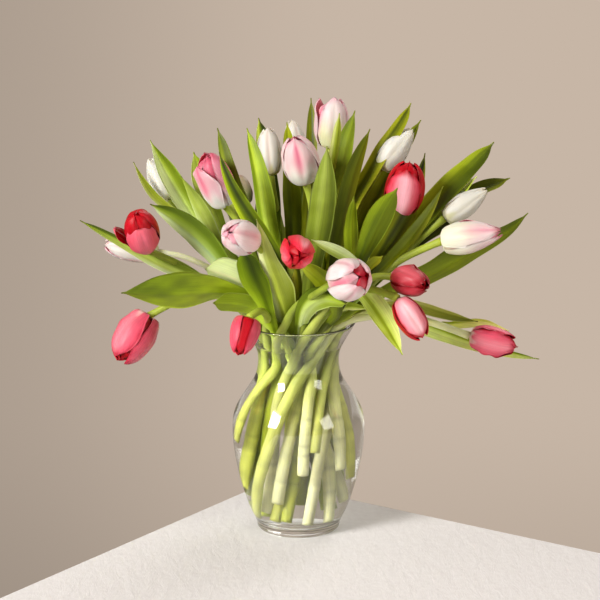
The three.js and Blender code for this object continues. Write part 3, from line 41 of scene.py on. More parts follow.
# ------------------------------------------------------------------ tables (mm)
STEMS = [
    [[-19.5,25.9,17.8],[-18.9,26.9,40.4],[-17.9,28.0,63.0],[-16.4,27.1,85.5],[-15.2,24.2,108.0],[-15.7,21.9,130.5],[-18.9,20.5,152.9],[-25.6,17.2,174.2],[-34.0,11.0,194.3],[-44.2,3.2,212.9],[-60.4,-3.1,227.0],[-81.5,-9.1,231.7],[-103.6,-12.8,228.4],[-124.0,-14.0,219.4],[-140.5,-13.6,210.0]],
    [[-30.8,12.0,33.3],[-29.8,15.1,55.1],[-26.5,17.5,76.7],[-23.1,16.8,98.4],[-20.8,14.5,120.2],[-21.2,12.6,142.2],[-23.9,10.7,163.9],[-33.3,6.5,183.3],[-43.3,0.1,201.9],[-56.8,-6.6,217.9],[-71.1,-15.2,232.2],[-86.1,-23.1,246.3],[-102.8,-27.3,259.9],[-119.0,-37.2,270.9],[-137.6,-41.3,280.3]],
    [[34.4,-4.0,30.6],[28.1,-0.2,51.5],[20.7,4.9,71.7],[14.3,11.8,91.7],[9.8,18.4,112.3],[2.8,21.3,133.1],[-4.8,23.6,153.7],[-13.3,26.6,174.0],[-24.2,28.3,193.1],[-37.8,27.6,210.5],[-53.4,25.0,225.9],[-70.4,21.6,239.7],[-88.9,18.8,251.5],[-109.1,17.3,260.4],[-130.7,16.2,264.6]],
    [[39.3,-4.0,53.3],[36.3,1.9,75.0],[32.2,8.7,96.1],[25.7,15.0,116.8],[17.1,20.4,137.0],[8.1,24.9,157.2],[-0.7,29.8,177.5],[-11.6,34.0,196.8],[-24.8,36.0,215.0],[-41.0,37.8,230.6],[-58.8,39.7,244.4],[-76.8,41.0,258.0],[-93.9,42.9,272.7],[-109.2,45.9,289.0],[-123.1,49.7,306.4]],
    [[17.8,18.0,21.3],[15.6,20.2,43.3],[12.0,20.1,65.3],[7.0,18.0,86.8],[1.9,15.2,108.3],[-2.6,13.1,129.9],[-7.7,11.7,151.6],[-13.3,11.2,173.1],[-19.2,10.0,194.5],[-25.5,7.6,215.7],[-32.3,3.7,236.5],[-39.3,-1.0,257.1],[-46.0,-5.8,277.7],[-54.3,-10.2,297.8],[-67.3,-13.8,315.4]],
    [[7.2,26.5,36.0],[3.3,21.2,56.7],[-2.3,15.1,76.8],[-5.3,11.7,98.0],[-8.0,8.8,119.4],[-12.0,4.5,140.3],[-15.4,-0.4,161.2],[-18.1,-6.4,181.9],[-20.0,-13.8,202.3],[-21.1,-22.9,222.0],[-22.8,-34.5,240.3],[-24.7,-48.2,257.0],[-27.6,-58.4,275.9],[-34.6,-73.7,288.9],[-41.8,-91.2,299.7]],
    [[-38.8,6.0,40.1],[-36.6,7.2,56.6],[-34.2,7.0,73.2],[-32.1,5.5,89.7],[-30.7,3.1,106.1],[-29.7,0.6,122.6],[-28.4,-1.7,139.1],[-26.6,-3.9,155.5],[-27.3,-8.2,171.4],[-28.9,-15.3,186.4],[-30.2,-23.1,201.1],[-29.0,-35.1,212.1],[-28.6,-50.3,219.0],[-34.0,-62.2,228.1],[-44.9,-73.5,224.7]],
    [[7.5,-28.0,13.5],[10.7,-26.1,36.8],[13.7,-21.9,59.7],[16.9,-14.3,81.7],[21.5,-4.2,102.4],[25.5,5.7,123.2],[20.2,14.1,144.5],[17.0,21.0,166.6],[14.7,29.7,188.3],[8.3,40.3,208.3],[-1.6,54.6,224.0],[-14.1,67.7,238.6],[-28.0,76.1,255.7],[-40.0,82.8,274.7],[-49.9,89.3,294.9]],
    [[0.3,10.0,28.0],[1.4,10.6,50.4],[2.9,8.0,72.7],[2.3,5.9,95.0],[1.2,4.2,117.3],[1.9,3.8,139.8],[1.6,5.9,162.1],[-0.4,11.5,183.7],[-3.2,17.6,205.1],[-6.4,22.0,226.9],[-9.8,25.1,248.9],[-13.5,28.7,270.7],[-18.5,35.7,291.4],[-22.9,32.9,312.3],[-25.9,33.0,333.9]],
    [[-18.1,-12.5,14.6],[-12.6,-10.0,37.3],[-9.2,-8.6,60.5],[-6.9,-8.5,83.9],[-5.0,-8.3,107.3],[-4.0,-7.1,130.7],[-2.7,-6.4,154.2],[0.1,-8.0,177.5],[0.6,-9.4,200.8],[1.1,-11.2,224.2],[4.1,-13.8,247.3],[7.7,-16.5,270.4],[11.2,-19.1,293.5],[12.0,-21.6,316.8],[6.6,-23.7,339.5]],
    [[25.2,-20.0,13.6],[24.2,-15.5,37.6],[22.1,-9.3,61.1],[17.8,-1.3,83.7],[11.1,6.7,105.8],[8.2,11.6,129.4],[7.2,13.6,153.8],[5.4,18.9,177.3],[4.0,27.2,200.3],[3.9,37.3,222.5],[5.8,48.0,244.3],[5.6,63.9,262.6],[3.5,76.4,283.4],[2.2,87.1,305.3],[0.4,96.5,327.8]],
    [[24.5,14.0,36.4],[23.6,14.9,59.9],[23.9,14.0,83.4],[20.3,9.6,106.2],[15.7,5.2,128.8],[15.6,3.8,152.3],[16.8,7.1,175.3],[19.6,12.9,197.9],[24.7,19.7,219.8],[24.1,23.7,242.9],[24.1,26.4,266.3],[25.6,29.6,289.6],[27.2,32.5,312.9],[28.5,35.2,336.2],[29.4,38.1,359.6]],
    [[-19.3,16.9,15.7],[-20.3,15.8,38.0],[-20.7,12.0,60.0],[-21.2,6.6,81.6],[-20.5,1.2,103.3],[-18.5,-3.5,125.0],[-15.4,-7.5,146.7],[-13.6,-12.5,168.3],[-13.1,-17.3,189.8],[-10.1,-22.3,211.1],[-9.7,-32.7,230.8],[-8.4,-42.8,250.7],[-6.8,-55.4,269.0],[-4.9,-72.3,283.4],[-2.7,-92.1,293.4]],
    [[-53.0,-9.0,89.1],[-48.8,-11.3,105.4],[-44.1,-13.1,121.5],[-36.4,-14.0,136.5],[-26.5,-15.9,150.1],[-18.7,-19.8,163.9],[-19.5,-26.0,179.6],[-19.5,-35.6,193.4],[-13.4,-42.2,207.6],[-6.5,-47.0,222.3],[2.2,-55.4,234.0],[10.5,-67.2,242.2],[15.9,-81.6,249.2],[24.6,-92.7,258.1],[35.2,-103.2,266.1]],
    [[-9.7,-18.2,15.4],[-5.9,-16.6,39.7],[-2.0,-14.9,63.9],[1.8,-12.6,88.1],[5.7,-10.1,112.2],[9.9,-8.5,136.4],[14.6,-7.6,160.5],[19.5,-6.1,184.6],[23.8,-3.0,208.6],[30.0,1.7,231.9],[37.3,7.3,254.7],[45.1,13.0,277.3],[52.9,18.4,300.0],[62.8,23.4,321.9],[75.7,26.8,342.5]],
    [[-16.8,-22.0,34.8],[-14.3,-25.8,56.2],[-11.0,-28.2,77.6],[-6.6,-28.2,98.9],[-1.3,-25.0,119.9],[3.5,-19.6,140.4],[7.4,-13.9,161.1],[15.4,-16.2,180.9],[23.6,-18.5,200.8],[35.1,-16.7,219.2],[49.0,-16.5,236.0],[62.9,-16.8,252.8],[75.2,-12.6,270.2],[85.2,-15.8,288.9],[93.9,-10.6,307.2]],
    [[35.5,-26.0,66.8],[33.5,-22.1,86.3],[31.0,-15.9,105.2],[28.1,-8.5,123.5],[26.5,-2.5,142.5],[27.5,1.6,162.1],[32.9,3.6,181.2],[41.7,5.3,199.0],[52.4,5.4,215.9],[64.6,4.2,231.7],[77.9,2.0,246.6],[91.6,-0.6,260.9],[105.4,-3.2,275.1],[119.6,-5.2,289.1],[134.6,-5.9,302.2]],
    [[13.9,-42.0,87.8],[15.4,-37.8,105.5],[17.2,-30.7,122.3],[19.7,-22.6,138.5],[23.2,-16.5,155.3],[28.0,-14.1,172.8],[34.2,-14.4,189.9],[42.1,-17.4,206.1],[50.8,-21.7,221.6],[60.2,-26.8,236.5],[70.8,-32.0,250.5],[83.4,-36.5,262.9],[98.0,-40.1,273.3],[113.8,-43.4,282.0],[130.0,-46.4,289.8]],
    [[3.8,-39.0,66.4],[4.3,-41.2,84.5],[5.5,-41.2,102.7],[7.3,-38.4,120.6],[9.6,-32.6,137.7],[11.2,-25.3,154.3],[9.1,-21.9,171.7],[12.6,-32.2,185.1],[21.8,-36.9,200.1],[30.1,-43.7,214.8],[38.0,-51.9,229.0],[46.5,-60.1,243.0],[56.4,-69.0,255.4],[69.9,-77.2,264.1],[86.8,-83.3,265.1]],
    [[-22.4,-4.6,22.2],[-21.6,-10.3,44.0],[-20.5,-15.7,65.9],[-19.5,-20.2,87.9],[-18.5,-22.5,110.3],[-16.4,-23.1,132.7],[-10.7,-24.8,154.4],[-3.2,-30.1,175.0],[4.8,-38.4,194.3],[14.2,-48.9,211.9],[24.3,-58.9,229.4],[37.3,-71.0,243.0],[56.1,-76.4,251.5],[72.0,-91.5,254.4],[88.5,-105.7,251.2]],
    [[-34.5,-8.8,16.2],[-35.1,-19.4,38.5],[-32.2,-27.9,61.5],[-26.7,-33.7,84.9],[-19.5,-36.2,108.3],[-10.8,-35.3,131.5],[0.0,-31.8,153.4],[14.2,-28.4,173.3],[27.2,-27.9,194.2],[42.0,-36.2,210.9],[65.7,-36.8,216.8],[90.1,-35.4,218.9],[109.9,-49.7,218.1],[132.9,-55.7,211.8],[156.0,-60.0,204.3]],
]
# [tulip, side, [[x, y, z, width, nx, ny, nz], ...]] tip to foot
LEAVES = [
    [1,-1,"L01",[[-138.4,30.0,368.7,0.0,-0.471,0.759,-0.45],[-132.0,26.4,356.0,9.2,-0.47,0.754,-0.46],[-125.2,22.8,343.5,18.3,-0.465,0.746,-0.476],[-118.0,19.3,331.2,21.5,-0.463,0.74,-0.488],[-110.6,15.9,319.0,23.5,-0.463,0.735,-0.495],[-102.9,12.6,307.1,22.3,-0.465,0.729,-0.502],[-95.2,9.4,295.4,20.9,-0.474,0.724,-0.501],[-88.1,6.2,283.9,19.0,-0.512,0.731,-0.452],[-81.9,4.2,272.0,16.3,-0.581,0.748,-0.321],[-76.0,5.0,259.1,14.0,-0.624,0.758,-0.19],[-69.5,7.7,245.3,12.0,-0.578,0.801,-0.157],[-62.1,9.6,231.5,10.3,-0.455,0.873,-0.175],[-54.0,10.4,218.3,8.7,-0.376,0.912,-0.164],[-45.6,11.7,205.4,7.1,-0.447,0.877,-0.177],[-37.2,13.8,192.7,5.5,-0.558,0.794,-0.241]]],
    [1,1,"L02",[[-109.1,14.0,337.8,0.0,-0.645,-0.757,-0.102],[-103.2,10.3,328.1,7.3,-0.64,-0.763,-0.094],[-97.3,6.5,318.4,14.4,-0.635,-0.768,-0.079],[-91.6,2.7,308.6,18.4,-0.63,-0.774,-0.062],[-86.4,-0.8,298.6,20.4,-0.618,-0.784,-0.054],[-81.7,-3.7,288.2,18.7,-0.599,-0.798,-0.066],[-77.6,-5.6,277.4,16.5,-0.578,-0.811,-0.093],[-74.0,-6.7,266.5,14.2,-0.562,-0.819,-0.116],[-70.7,-7.3,255.8,12.5,-0.542,-0.827,-0.15],[-67.4,-7.1,245.1,11.3,-0.473,-0.84,-0.266],[-63.5,-4.4,233.9,10.1,-0.336,-0.837,-0.432],[-58.1,0.8,222.5,9.0,-0.188,-0.842,-0.506],[-51.3,6.1,211.9,7.8,-0.161,-0.85,-0.502],[-44.1,10.1,202.3,6.7,-0.274,-0.807,-0.523],[-37.2,13.8,192.7,5.5,-0.389,-0.731,-0.56]]],
    [1,-1,"L03",[[-155.1,44.0,345.1,0.0,-0.379,0.745,-0.549],[-149.4,40.0,333.7,5.7,-0.371,0.742,-0.558],[-142.7,35.9,323.2,10.7,-0.346,0.732,-0.587],[-134.8,31.9,313.7,13.2,-0.305,0.716,-0.628],[-124.6,27.8,305.7,13.0,-0.272,0.702,-0.658],[-114.1,23.7,297.9,12.6,-0.28,0.702,-0.655],[-103.3,19.8,289.3,11.3,-0.33,0.715,-0.616],[-93.3,16.6,280.0,10.2,-0.391,0.73,-0.561],[-85.2,14.1,270.1,9.4,-0.411,0.733,-0.543],[-77.1,10.7,259.7,8.7,-0.376,0.731,-0.569],[-68.8,6.1,249.1,8.0,-0.33,0.766,-0.551],[-61.0,2.1,238.1,7.4,-0.29,0.859,-0.422],[-54.7,-0.8,225.1,6.8,-0.286,0.929,-0.236],[-48.8,0.8,218.2,6.1,-0.427,0.889,-0.163],[-42.8,4.1,210.9,5.5,-0.64,0.738,-0.216]]],
    [2,1,"L04",[[-135.2,-34.0,321.6,0.0,-0.248,-0.876,-0.414],[-124.1,-34.3,315.1,13.2,-0.255,-0.879,-0.402],[-113.3,-34.6,308.0,22.3,-0.278,-0.883,-0.379],[-103.2,-34.8,299.8,27.1,-0.303,-0.886,-0.352],[-93.9,-34.8,291.3,28.9,-0.318,-0.888,-0.332],[-85.5,-34.4,282.6,28.2,-0.313,-0.888,-0.336],[-77.9,-33.2,273.5,23.7,-0.291,-0.882,-0.371],[-71.1,-30.7,263.3,20.3,-0.267,-0.866,-0.423],[-65.1,-27.0,252.8,17.5,-0.252,-0.847,-0.468],[-59.7,-22.4,242.2,15.3,-0.231,-0.837,-0.497],[-54.7,-17.3,231.7,13.4,-0.182,-0.844,-0.504],[-49.9,-11.9,221.1,11.5,-0.108,-0.865,-0.49],[-45.3,-6.5,210.5,9.4,-0.087,-0.87,-0.485],[-40.8,-1.0,200.0,7.4,-0.216,-0.827,-0.52],[-36.4,4.5,189.4,5.5,-0.431,-0.713,-0.553]]],
    [3,-1,"L05",[[-98.1,34.0,356.6,0.0,-0.458,0.787,-0.413],[-94.7,30.4,345.5,13.5,-0.462,0.782,-0.418],[-91.4,26.8,334.5,21.8,-0.465,0.774,-0.429],[-88.2,23.3,323.6,20.7,-0.469,0.768,-0.436],[-83.8,19.9,312.8,19.0,-0.482,0.767,-0.425],[-79.3,16.9,301.8,17.0,-0.505,0.772,-0.387],[-74.9,14.6,290.7,15.0,-0.533,0.778,-0.332],[-70.7,13.2,279.4,13.4,-0.562,0.783,-0.267],[-66.2,13.2,268.0,12.2,-0.589,0.785,-0.195],[-61.3,14.7,256.9,11.1,-0.598,0.79,-0.135],[-55.9,17.2,246.0,10.1,-0.57,0.816,-0.094],[-50.3,19.9,235.3,9.1,-0.491,0.87,-0.043],[-44.4,22.6,224.8,7.8,-0.378,0.926,0.028],[-38.4,25.3,214.4,6.6,-0.403,0.915,0.011],[-32.3,28.2,204.2,5.5,-0.49,0.87,-0.052]]],
    [5,1,"L06",[[-74.8,12.0,383.4,0.0,-0.683,-0.73,0.035],[-71.1,7.9,369.7,10.9,-0.669,-0.743,0.029],[-67.8,3.9,356.1,15.6,-0.648,-0.762,0.005],[-64.2,-0.0,342.8,18.6,-0.62,-0.784,-0.03],[-58.9,-3.7,329.9,17.8,-0.587,-0.807,-0.067],[-52.5,-6.8,317.2,16.7,-0.551,-0.828,-0.103],[-45.9,-8.8,304.3,15.3,-0.516,-0.844,-0.145],[-38.2,-9.4,290.9,13.2,-0.491,-0.851,-0.186],[-32.3,-8.6,277.1,11.5,-0.479,-0.85,-0.219],[-28.6,-6.8,263.1,10.3,-0.467,-0.85,-0.242],[-25.7,-4.2,248.9,9.3,-0.427,-0.867,-0.255],[-23.3,-1.0,234.6,8.3,-0.342,-0.902,-0.263],[-21.4,2.5,220.4,7.4,-0.296,-0.915,-0.272],[-19.8,6.3,206.1,6.4,-0.471,-0.837,-0.277],[-18.4,10.3,191.9,5.5,-0.735,-0.631,-0.248]]],
    [13,1,"L07",[[-71.3,-48.0,372.4,0.0,-0.393,-0.919,-0.039],[-67.3,-49.7,358.3,6.7,-0.37,-0.928,-0.038],[-62.1,-51.3,344.9,11.1,-0.339,-0.939,-0.048],[-55.8,-52.8,332.1,14.0,-0.303,-0.951,-0.062],[-48.8,-54.0,319.7,16.4,-0.26,-0.962,-0.079],[-41.1,-54.8,307.5,17.7,-0.208,-0.972,-0.112],[-32.6,-54.4,295.3,16.2,-0.148,-0.975,-0.168],[-25.0,-52.7,282.9,15.5,-0.093,-0.967,-0.239],[-19.0,-49.5,270.4,14.6,-0.06,-0.95,-0.307],[-14.7,-45.1,257.5,13.0,-0.057,-0.937,-0.344],[-12.0,-40.4,244.4,11.5,-0.069,-0.942,-0.328],[-10.3,-36.4,231.5,10.0,-0.083,-0.962,-0.26],[-9.1,-33.6,218.3,8.5,-0.104,-0.942,-0.319],[-10.0,-27.4,204.9,7.0,-0.207,-0.86,-0.467],[-13.1,-17.5,190.5,5.5,-0.362,-0.803,-0.473]]],
    [9,1,"L08",[[-37.2,-92.0,320.1,0.0,-0.021,-0.829,-0.559],[-33.8,-83.7,305.6,7.0,-0.032,-0.85,-0.525],[-30.4,-76.5,290.6,13.4,-0.038,-0.873,-0.485],[-26.7,-69.6,276.0,17.8,-0.025,-0.867,-0.497],[-23.4,-63.0,265.0,21.8,-0.011,-0.867,-0.499],[-20.2,-57.7,255.1,25.1,-0.019,-0.891,-0.453],[-17.3,-53.0,244.9,28.2,-0.027,-0.898,-0.439],[-14.7,-47.4,233.8,25.1,-0.033,-0.883,-0.468],[-12.4,-40.9,221.8,21.5,-0.05,-0.876,-0.48],[-10.7,-34.6,209.9,17.3,-0.071,-0.852,-0.519],[-9.9,-27.9,200.1,13.9,-0.089,-0.746,-0.66],[-9.4,-19.3,192.5,12.1,-0.098,-0.637,-0.765],[-7.8,-9.7,184.7,9.7,-0.006,-0.693,-0.721],[-3.8,-1.5,175.3,7.5,0.447,-0.814,-0.371],[2.3,4.8,165.2,5.5,0.873,-0.4,0.279]]],
    [6,1,"L09",[[-47.2,-4.0,386.3,0.0,-0.603,-0.798,0.01],[-43.4,-7.6,373.1,9.6,-0.57,-0.821,0.032],[-39.6,-11.2,359.8,15.1,-0.535,-0.843,0.062],[-36.2,-14.8,346.4,17.6,-0.493,-0.865,0.095],[-33.5,-18.3,332.8,19.9,-0.446,-0.886,0.123],[-31.2,-21.7,319.1,20.0,-0.398,-0.907,0.136],[-29.0,-24.7,305.2,18.7,-0.353,-0.927,0.124],[-26.2,-27.0,291.3,17.6,-0.316,-0.946,0.077],[-23.9,-28.1,277.2,15.8,-0.29,-0.957,0.004],[-22.0,-27.9,263.0,13.9,-0.276,-0.958,-0.076],[-20.6,-26.3,248.9,12.2,-0.264,-0.952,-0.155],[-19.6,-23.6,234.8,10.5,-0.242,-0.944,-0.225],[-19.4,-19.8,221.0,8.8,-0.25,-0.927,-0.28],[-19.3,-15.4,207.3,7.2,-0.343,-0.888,-0.307],[-19.3,-10.5,193.8,5.5,-0.449,-0.841,-0.303]]],
    [4,-1,"L10",[[-37.7,62.0,383.8,0.0,-0.206,0.91,-0.36],[-34.7,57.5,371.1,11.1,-0.21,0.911,-0.356],[-31.9,53.0,358.3,16.5,-0.215,0.913,-0.347],[-29.5,48.6,345.4,16.1,-0.222,0.916,-0.334],[-27.6,44.4,332.3,15.1,-0.231,0.918,-0.324],[-25.8,40.2,319.1,15.5,-0.238,0.904,-0.355],[-24.4,35.1,306.3,15.1,-0.251,0.879,-0.406],[-23.6,29.3,294.1,14.6,-0.282,0.888,-0.362],[-23.5,25.4,281.9,13.5,-0.309,0.932,-0.189],[-23.8,24.2,269.3,12.0,-0.31,0.951,-0.019],[-23.9,24.8,256.2,10.7,-0.263,0.962,0.079],[-23.3,26.5,242.7,9.4,-0.135,0.979,0.149],[-21.6,29.2,229.0,8.1,0.025,0.978,0.209],[-18.7,32.2,215.5,6.8,-0.056,0.979,0.195],[-15.3,34.9,202.3,5.5,-0.246,0.96,0.132]]],
    [5,-1,"L11",[[-10.7,34.0,385.0,0.0,-0.129,0.945,-0.301],[-9.8,29.9,371.8,8.6,-0.135,0.944,-0.301],[-8.9,25.8,358.7,11.0,-0.142,0.943,-0.301],[-8.0,21.8,345.5,13.4,-0.153,0.941,-0.301],[-7.2,17.7,332.3,15.8,-0.171,0.938,-0.301],[-6.4,13.6,319.1,18.3,-0.203,0.933,-0.297],[-5.7,9.7,306.0,17.8,-0.26,0.926,-0.274],[-5.5,6.1,292.9,17.0,-0.345,0.914,-0.214],[-6.2,3.3,279.6,16.1,-0.432,0.895,-0.109],[-7.9,1.7,266.4,14.4,-0.474,0.88,0.016],[-10.5,1.5,253.1,12.4,-0.437,0.892,0.115],[-13.4,2.4,239.9,10.6,-0.3,0.94,0.164],[-16.2,4.3,226.6,8.9,-0.129,0.974,0.184],[-18.6,6.8,213.3,7.2,-0.213,0.951,0.224],[-20.7,9.5,200.0,5.5,-0.429,0.868,0.251]]],
    [11,-1,"L13",[[11.8,66.0,402.2,0.0,0.076,0.934,-0.349],[12.1,60.9,388.5,6.2,0.084,0.934,-0.348],[12.3,55.7,374.8,9.5,0.092,0.933,-0.348],[12.3,50.6,361.1,10.8,0.099,0.933,-0.345],[11.9,45.6,347.4,11.5,0.105,0.935,-0.338],[11.2,40.8,333.7,11.5,0.11,0.941,-0.322],[10.2,36.5,319.9,11.5,0.113,0.954,-0.278],[8.9,33.1,306.0,11.4,0.114,0.973,-0.199],[7.5,31.0,291.8,10.5,0.11,0.987,-0.116],[6.2,30.0,277.3,9.7,0.101,0.993,-0.059],[5.0,29.5,262.7,8.9,0.087,0.996,-0.034],[4.0,29.2,248.0,8.0,0.073,0.997,-0.024],[3.5,28.9,233.2,7.2,0.062,0.998,-0.013],[3.5,28.9,218.7,6.3,0.057,0.998,-0.003],[3.8,28.8,204.3,5.5,0.056,0.998,0.001]]],
    [20,1,"L14",[[25.6,-52.0,378.8,0.0,0.201,-0.976,0.083],[25.1,-53.3,364.4,10.4,0.191,-0.978,0.082],[24.4,-54.7,350.0,18.5,0.179,-0.981,0.077],[23.2,-56.0,335.6,23.9,0.165,-0.984,0.071],[21.5,-57.2,321.3,24.6,0.148,-0.987,0.061],[19.5,-58.3,307.1,24.1,0.129,-0.991,0.044],[17.1,-59.0,292.9,22.2,0.109,-0.994,0.009],[14.6,-59.1,278.8,18.6,0.085,-0.995,-0.059],[12.3,-57.8,264.6,15.7,0.057,-0.987,-0.151],[10.4,-55.0,250.6,14.0,0.015,-0.975,-0.223],[8.6,-51.4,236.6,12.3,-0.073,-0.966,-0.247],[6.7,-47.6,222.8,10.6,-0.237,-0.942,-0.24],[4.5,-43.4,209.3,8.9,-0.387,-0.89,-0.242],[2.3,-38.5,196.3,7.2,-0.306,-0.9,-0.31],[0.1,-33.1,183.7,5.5,-0.065,-0.921,-0.384]]],
    [12,1,"L15",[[37.5,-6.0,400.6,0.0,0.576,-0.817,0.032],[36.1,-7.5,387.3,7.9,0.559,-0.829,0.021],[34.4,-8.8,374.0,10.4,0.54,-0.841,-0.015],[32.4,-9.5,360.8,10.4,0.524,-0.849,-0.069],[30.3,-9.1,347.8,9.7,0.515,-0.849,-0.121],[28.5,-8.1,334.8,9.0,0.521,-0.838,-0.159],[26.9,-6.3,321.8,8.4,0.543,-0.812,-0.214],[25.7,-3.0,308.5,8.0,0.581,-0.763,-0.283],[24.8,2.1,294.8,7.6,0.631,-0.721,-0.286],[24.4,6.6,281.3,7.3,0.665,-0.719,-0.2],[24.0,8.6,268.5,6.9,0.659,-0.744,-0.106],[23.7,9.7,255.6,6.6,0.605,-0.789,-0.102],[23.5,11.7,242.0,6.2,0.559,-0.816,-0.148],[23.4,14.5,228.1,5.9,0.63,-0.759,-0.161],[23.4,17.4,214.3,5.5,0.79,-0.599,-0.129]]],
    [11,-1,"L16",[[52.1,12.0,399.7,0.0,0.525,0.787,-0.324],[48.1,9.0,385.9,11.1,0.543,0.778,-0.316],[44.4,6.0,371.9,18.7,0.567,0.772,-0.287],[41.4,3.4,357.8,22.9,0.592,0.768,-0.245],[38.7,1.4,343.7,22.6,0.615,0.764,-0.193],[36.1,0.6,329.7,21.7,0.634,0.762,-0.132],[33.2,1.3,316.1,19.0,0.641,0.763,-0.084],[29.7,3.0,302.8,16.5,0.632,0.775,-0.016],[25.4,7.0,289.0,14.6,0.609,0.787,0.097],[20.8,13.4,274.3,13.0,0.558,0.813,0.166],[16.5,19.1,259.9,11.5,0.498,0.857,0.133],[12.9,22.3,246.2,10.0,0.491,0.869,0.053],[9.8,24.5,232.5,8.5,0.497,0.868,0.026],[6.8,26.7,218.5,7.0,0.306,0.949,0.081],[3.8,28.8,204.3,5.5,0.105,0.986,0.129]]],
    [16,1,"L17",[[65.3,-12.0,386.9,0.0,0.566,-0.824,-0.015],[60.0,-15.4,373.9,8.9,0.541,-0.841,-0.0],[54.7,-18.8,360.8,14.1,0.516,-0.856,0.024],[50.0,-22.2,347.6,16.8,0.49,-0.87,0.056],[45.9,-25.5,334.1,17.8,0.459,-0.885,0.08],[42.6,-28.5,320.5,17.2,0.427,-0.9,0.085],[39.7,-31.0,306.7,16.4,0.395,-0.917,0.06],[37.3,-32.5,292.7,15.7,0.368,-0.93,-0.004],[35.5,-32.5,278.5,13.9,0.343,-0.935,-0.084],[34.1,-31.2,264.3,12.3,0.309,-0.938,-0.155],[32.7,-28.8,250.0,10.9,0.238,-0.949,-0.209],[31.0,-25.7,235.7,9.5,0.133,-0.965,-0.226],[28.6,-22.7,221.5,8.2,0.07,-0.977,-0.202],[25.3,-20.3,207.8,6.8,0.141,-0.972,-0.187],[21.4,-18.5,194.5,5.5,0.299,-0.93,-0.214]]],
    [16,1,"L18",[[50.0,-58.0,334.2,0.0,0.302,-0.953,0.028],[48.7,-58.7,323.1,7.7,0.299,-0.954,0.03],[47.9,-59.4,312.0,11.6,0.298,-0.954,0.026],[47.6,-59.7,301.0,14.3,0.299,-0.954,0.005],[47.8,-59.5,290.0,13.7,0.298,-0.953,-0.06],[48.1,-58.2,279.3,13.1,0.292,-0.938,-0.185],[47.9,-55.3,268.9,12.2,0.272,-0.908,-0.319],[46.9,-51.3,258.8,11.3,0.237,-0.877,-0.418],[45.1,-46.6,249.0,10.4,0.197,-0.856,-0.477],[42.5,-41.6,239.5,9.6,0.154,-0.85,-0.504],[39.0,-36.6,230.3,8.8,0.112,-0.857,-0.503],[35.0,-31.8,221.2,8.0,0.085,-0.871,-0.484],[30.7,-27.3,212.2,7.2,0.081,-0.877,-0.473],[26.1,-23.0,203.3,6.3,0.093,-0.87,-0.484],[21.4,-18.5,194.5,5.5,0.115,-0.86,-0.497]]],
    [19,1,"L19",[[88.4,-74.0,344.9,0.0,0.304,-0.94,-0.154],[82.1,-74.2,333.6,16.6,0.29,-0.945,-0.149],[75.9,-74.3,322.1,24.3,0.276,-0.95,-0.148],[70.2,-74.0,310.5,25.1,0.258,-0.953,-0.159],[64.9,-73.3,298.7,21.8,0.236,-0.953,-0.19],[59.9,-71.9,286.8,16.2,0.204,-0.947,-0.248],[55.3,-69.1,274.9,12.6,0.173,-0.935,-0.309],[50.9,-65.7,263.0,11.6,0.168,-0.942,-0.29],[46.4,-63.6,251.7,10.6,0.2,-0.967,-0.159],[41.8,-64.0,241.3,9.8,0.195,-0.975,-0.11],[37.2,-63.1,231.3,8.9,0.044,-0.941,-0.336],[32.3,-57.2,221.1,8.1,-0.121,-0.829,-0.546],[26.8,-48.1,210.7,7.2,-0.184,-0.799,-0.572],[20.7,-39.3,199.8,6.4,-0.127,-0.853,-0.506],[15.3,-33.2,188.5,5.5,-0.016,-0.883,-0.468]]],
    [18,1,"L20",[[11.5,-97.1,302.9,0.0,0.256,-0.957,-0.134],[20.7,-94.0,297.9,6.8,0.296,-0.952,-0.079],[29.8,-90.6,293.0,10.3,0.346,-0.937,-0.05],[38.4,-86.8,287.7,11.2,0.399,-0.915,-0.063],[46.3,-82.6,281.8,9.6,0.457,-0.879,-0.137],[52.7,-77.5,275.2,8.3,0.494,-0.826,-0.271],[57.4,-71.5,268.3,8.1,0.482,-0.758,-0.44],[60.2,-64.5,261.0,7.9,0.411,-0.685,-0.601],[60.9,-56.5,253.5,7.7,0.3,-0.652,-0.696],[60.1,-48.3,245.8,7.5,0.194,-0.664,-0.722],[58.2,-40.3,237.9,7.2,0.11,-0.695,-0.71],[55.2,-32.7,229.8,7.0,0.064,-0.739,-0.671],[51.3,-26.1,221.6,6.5,0.077,-0.795,-0.602],[46.8,-21.2,213.6,6.0,0.138,-0.831,-0.539],[41.8,-17.3,205.6,5.5,0.192,-0.83,-0.524]]],
    [8,-1,"L21",[[105.2,46.0,400.8,0.0,0.229,0.707,-0.669],[98.6,37.9,388.8,10.4,0.257,0.71,-0.656],[90.2,30.5,376.3,14.6,0.315,0.733,-0.603],[80.7,24.7,362.8,17.1,0.384,0.759,-0.525],[72.2,20.2,348.4,17.5,0.432,0.769,-0.471],[63.5,15.9,333.7,17.4,0.457,0.766,-0.453],[53.8,11.5,318.9,17.1,0.481,0.758,-0.44],[46.7,7.2,304.1,16.3,0.519,0.758,-0.394],[40.7,4.3,289.1,15.2,0.572,0.768,-0.287],[34.6,4.9,274.1,13.0,0.631,0.764,-0.134],[28.3,9.3,258.8,11.0,0.68,0.733,-0.009],[22.5,15.7,243.0,9.3,0.723,0.689,0.047],[18.2,22.0,226.9,8.1,0.72,0.688,0.089],[15.3,27.5,210.5,6.9,0.493,0.848,0.195],[13.4,32.4,194.0,5.5,0.207,0.944,0.256]]],
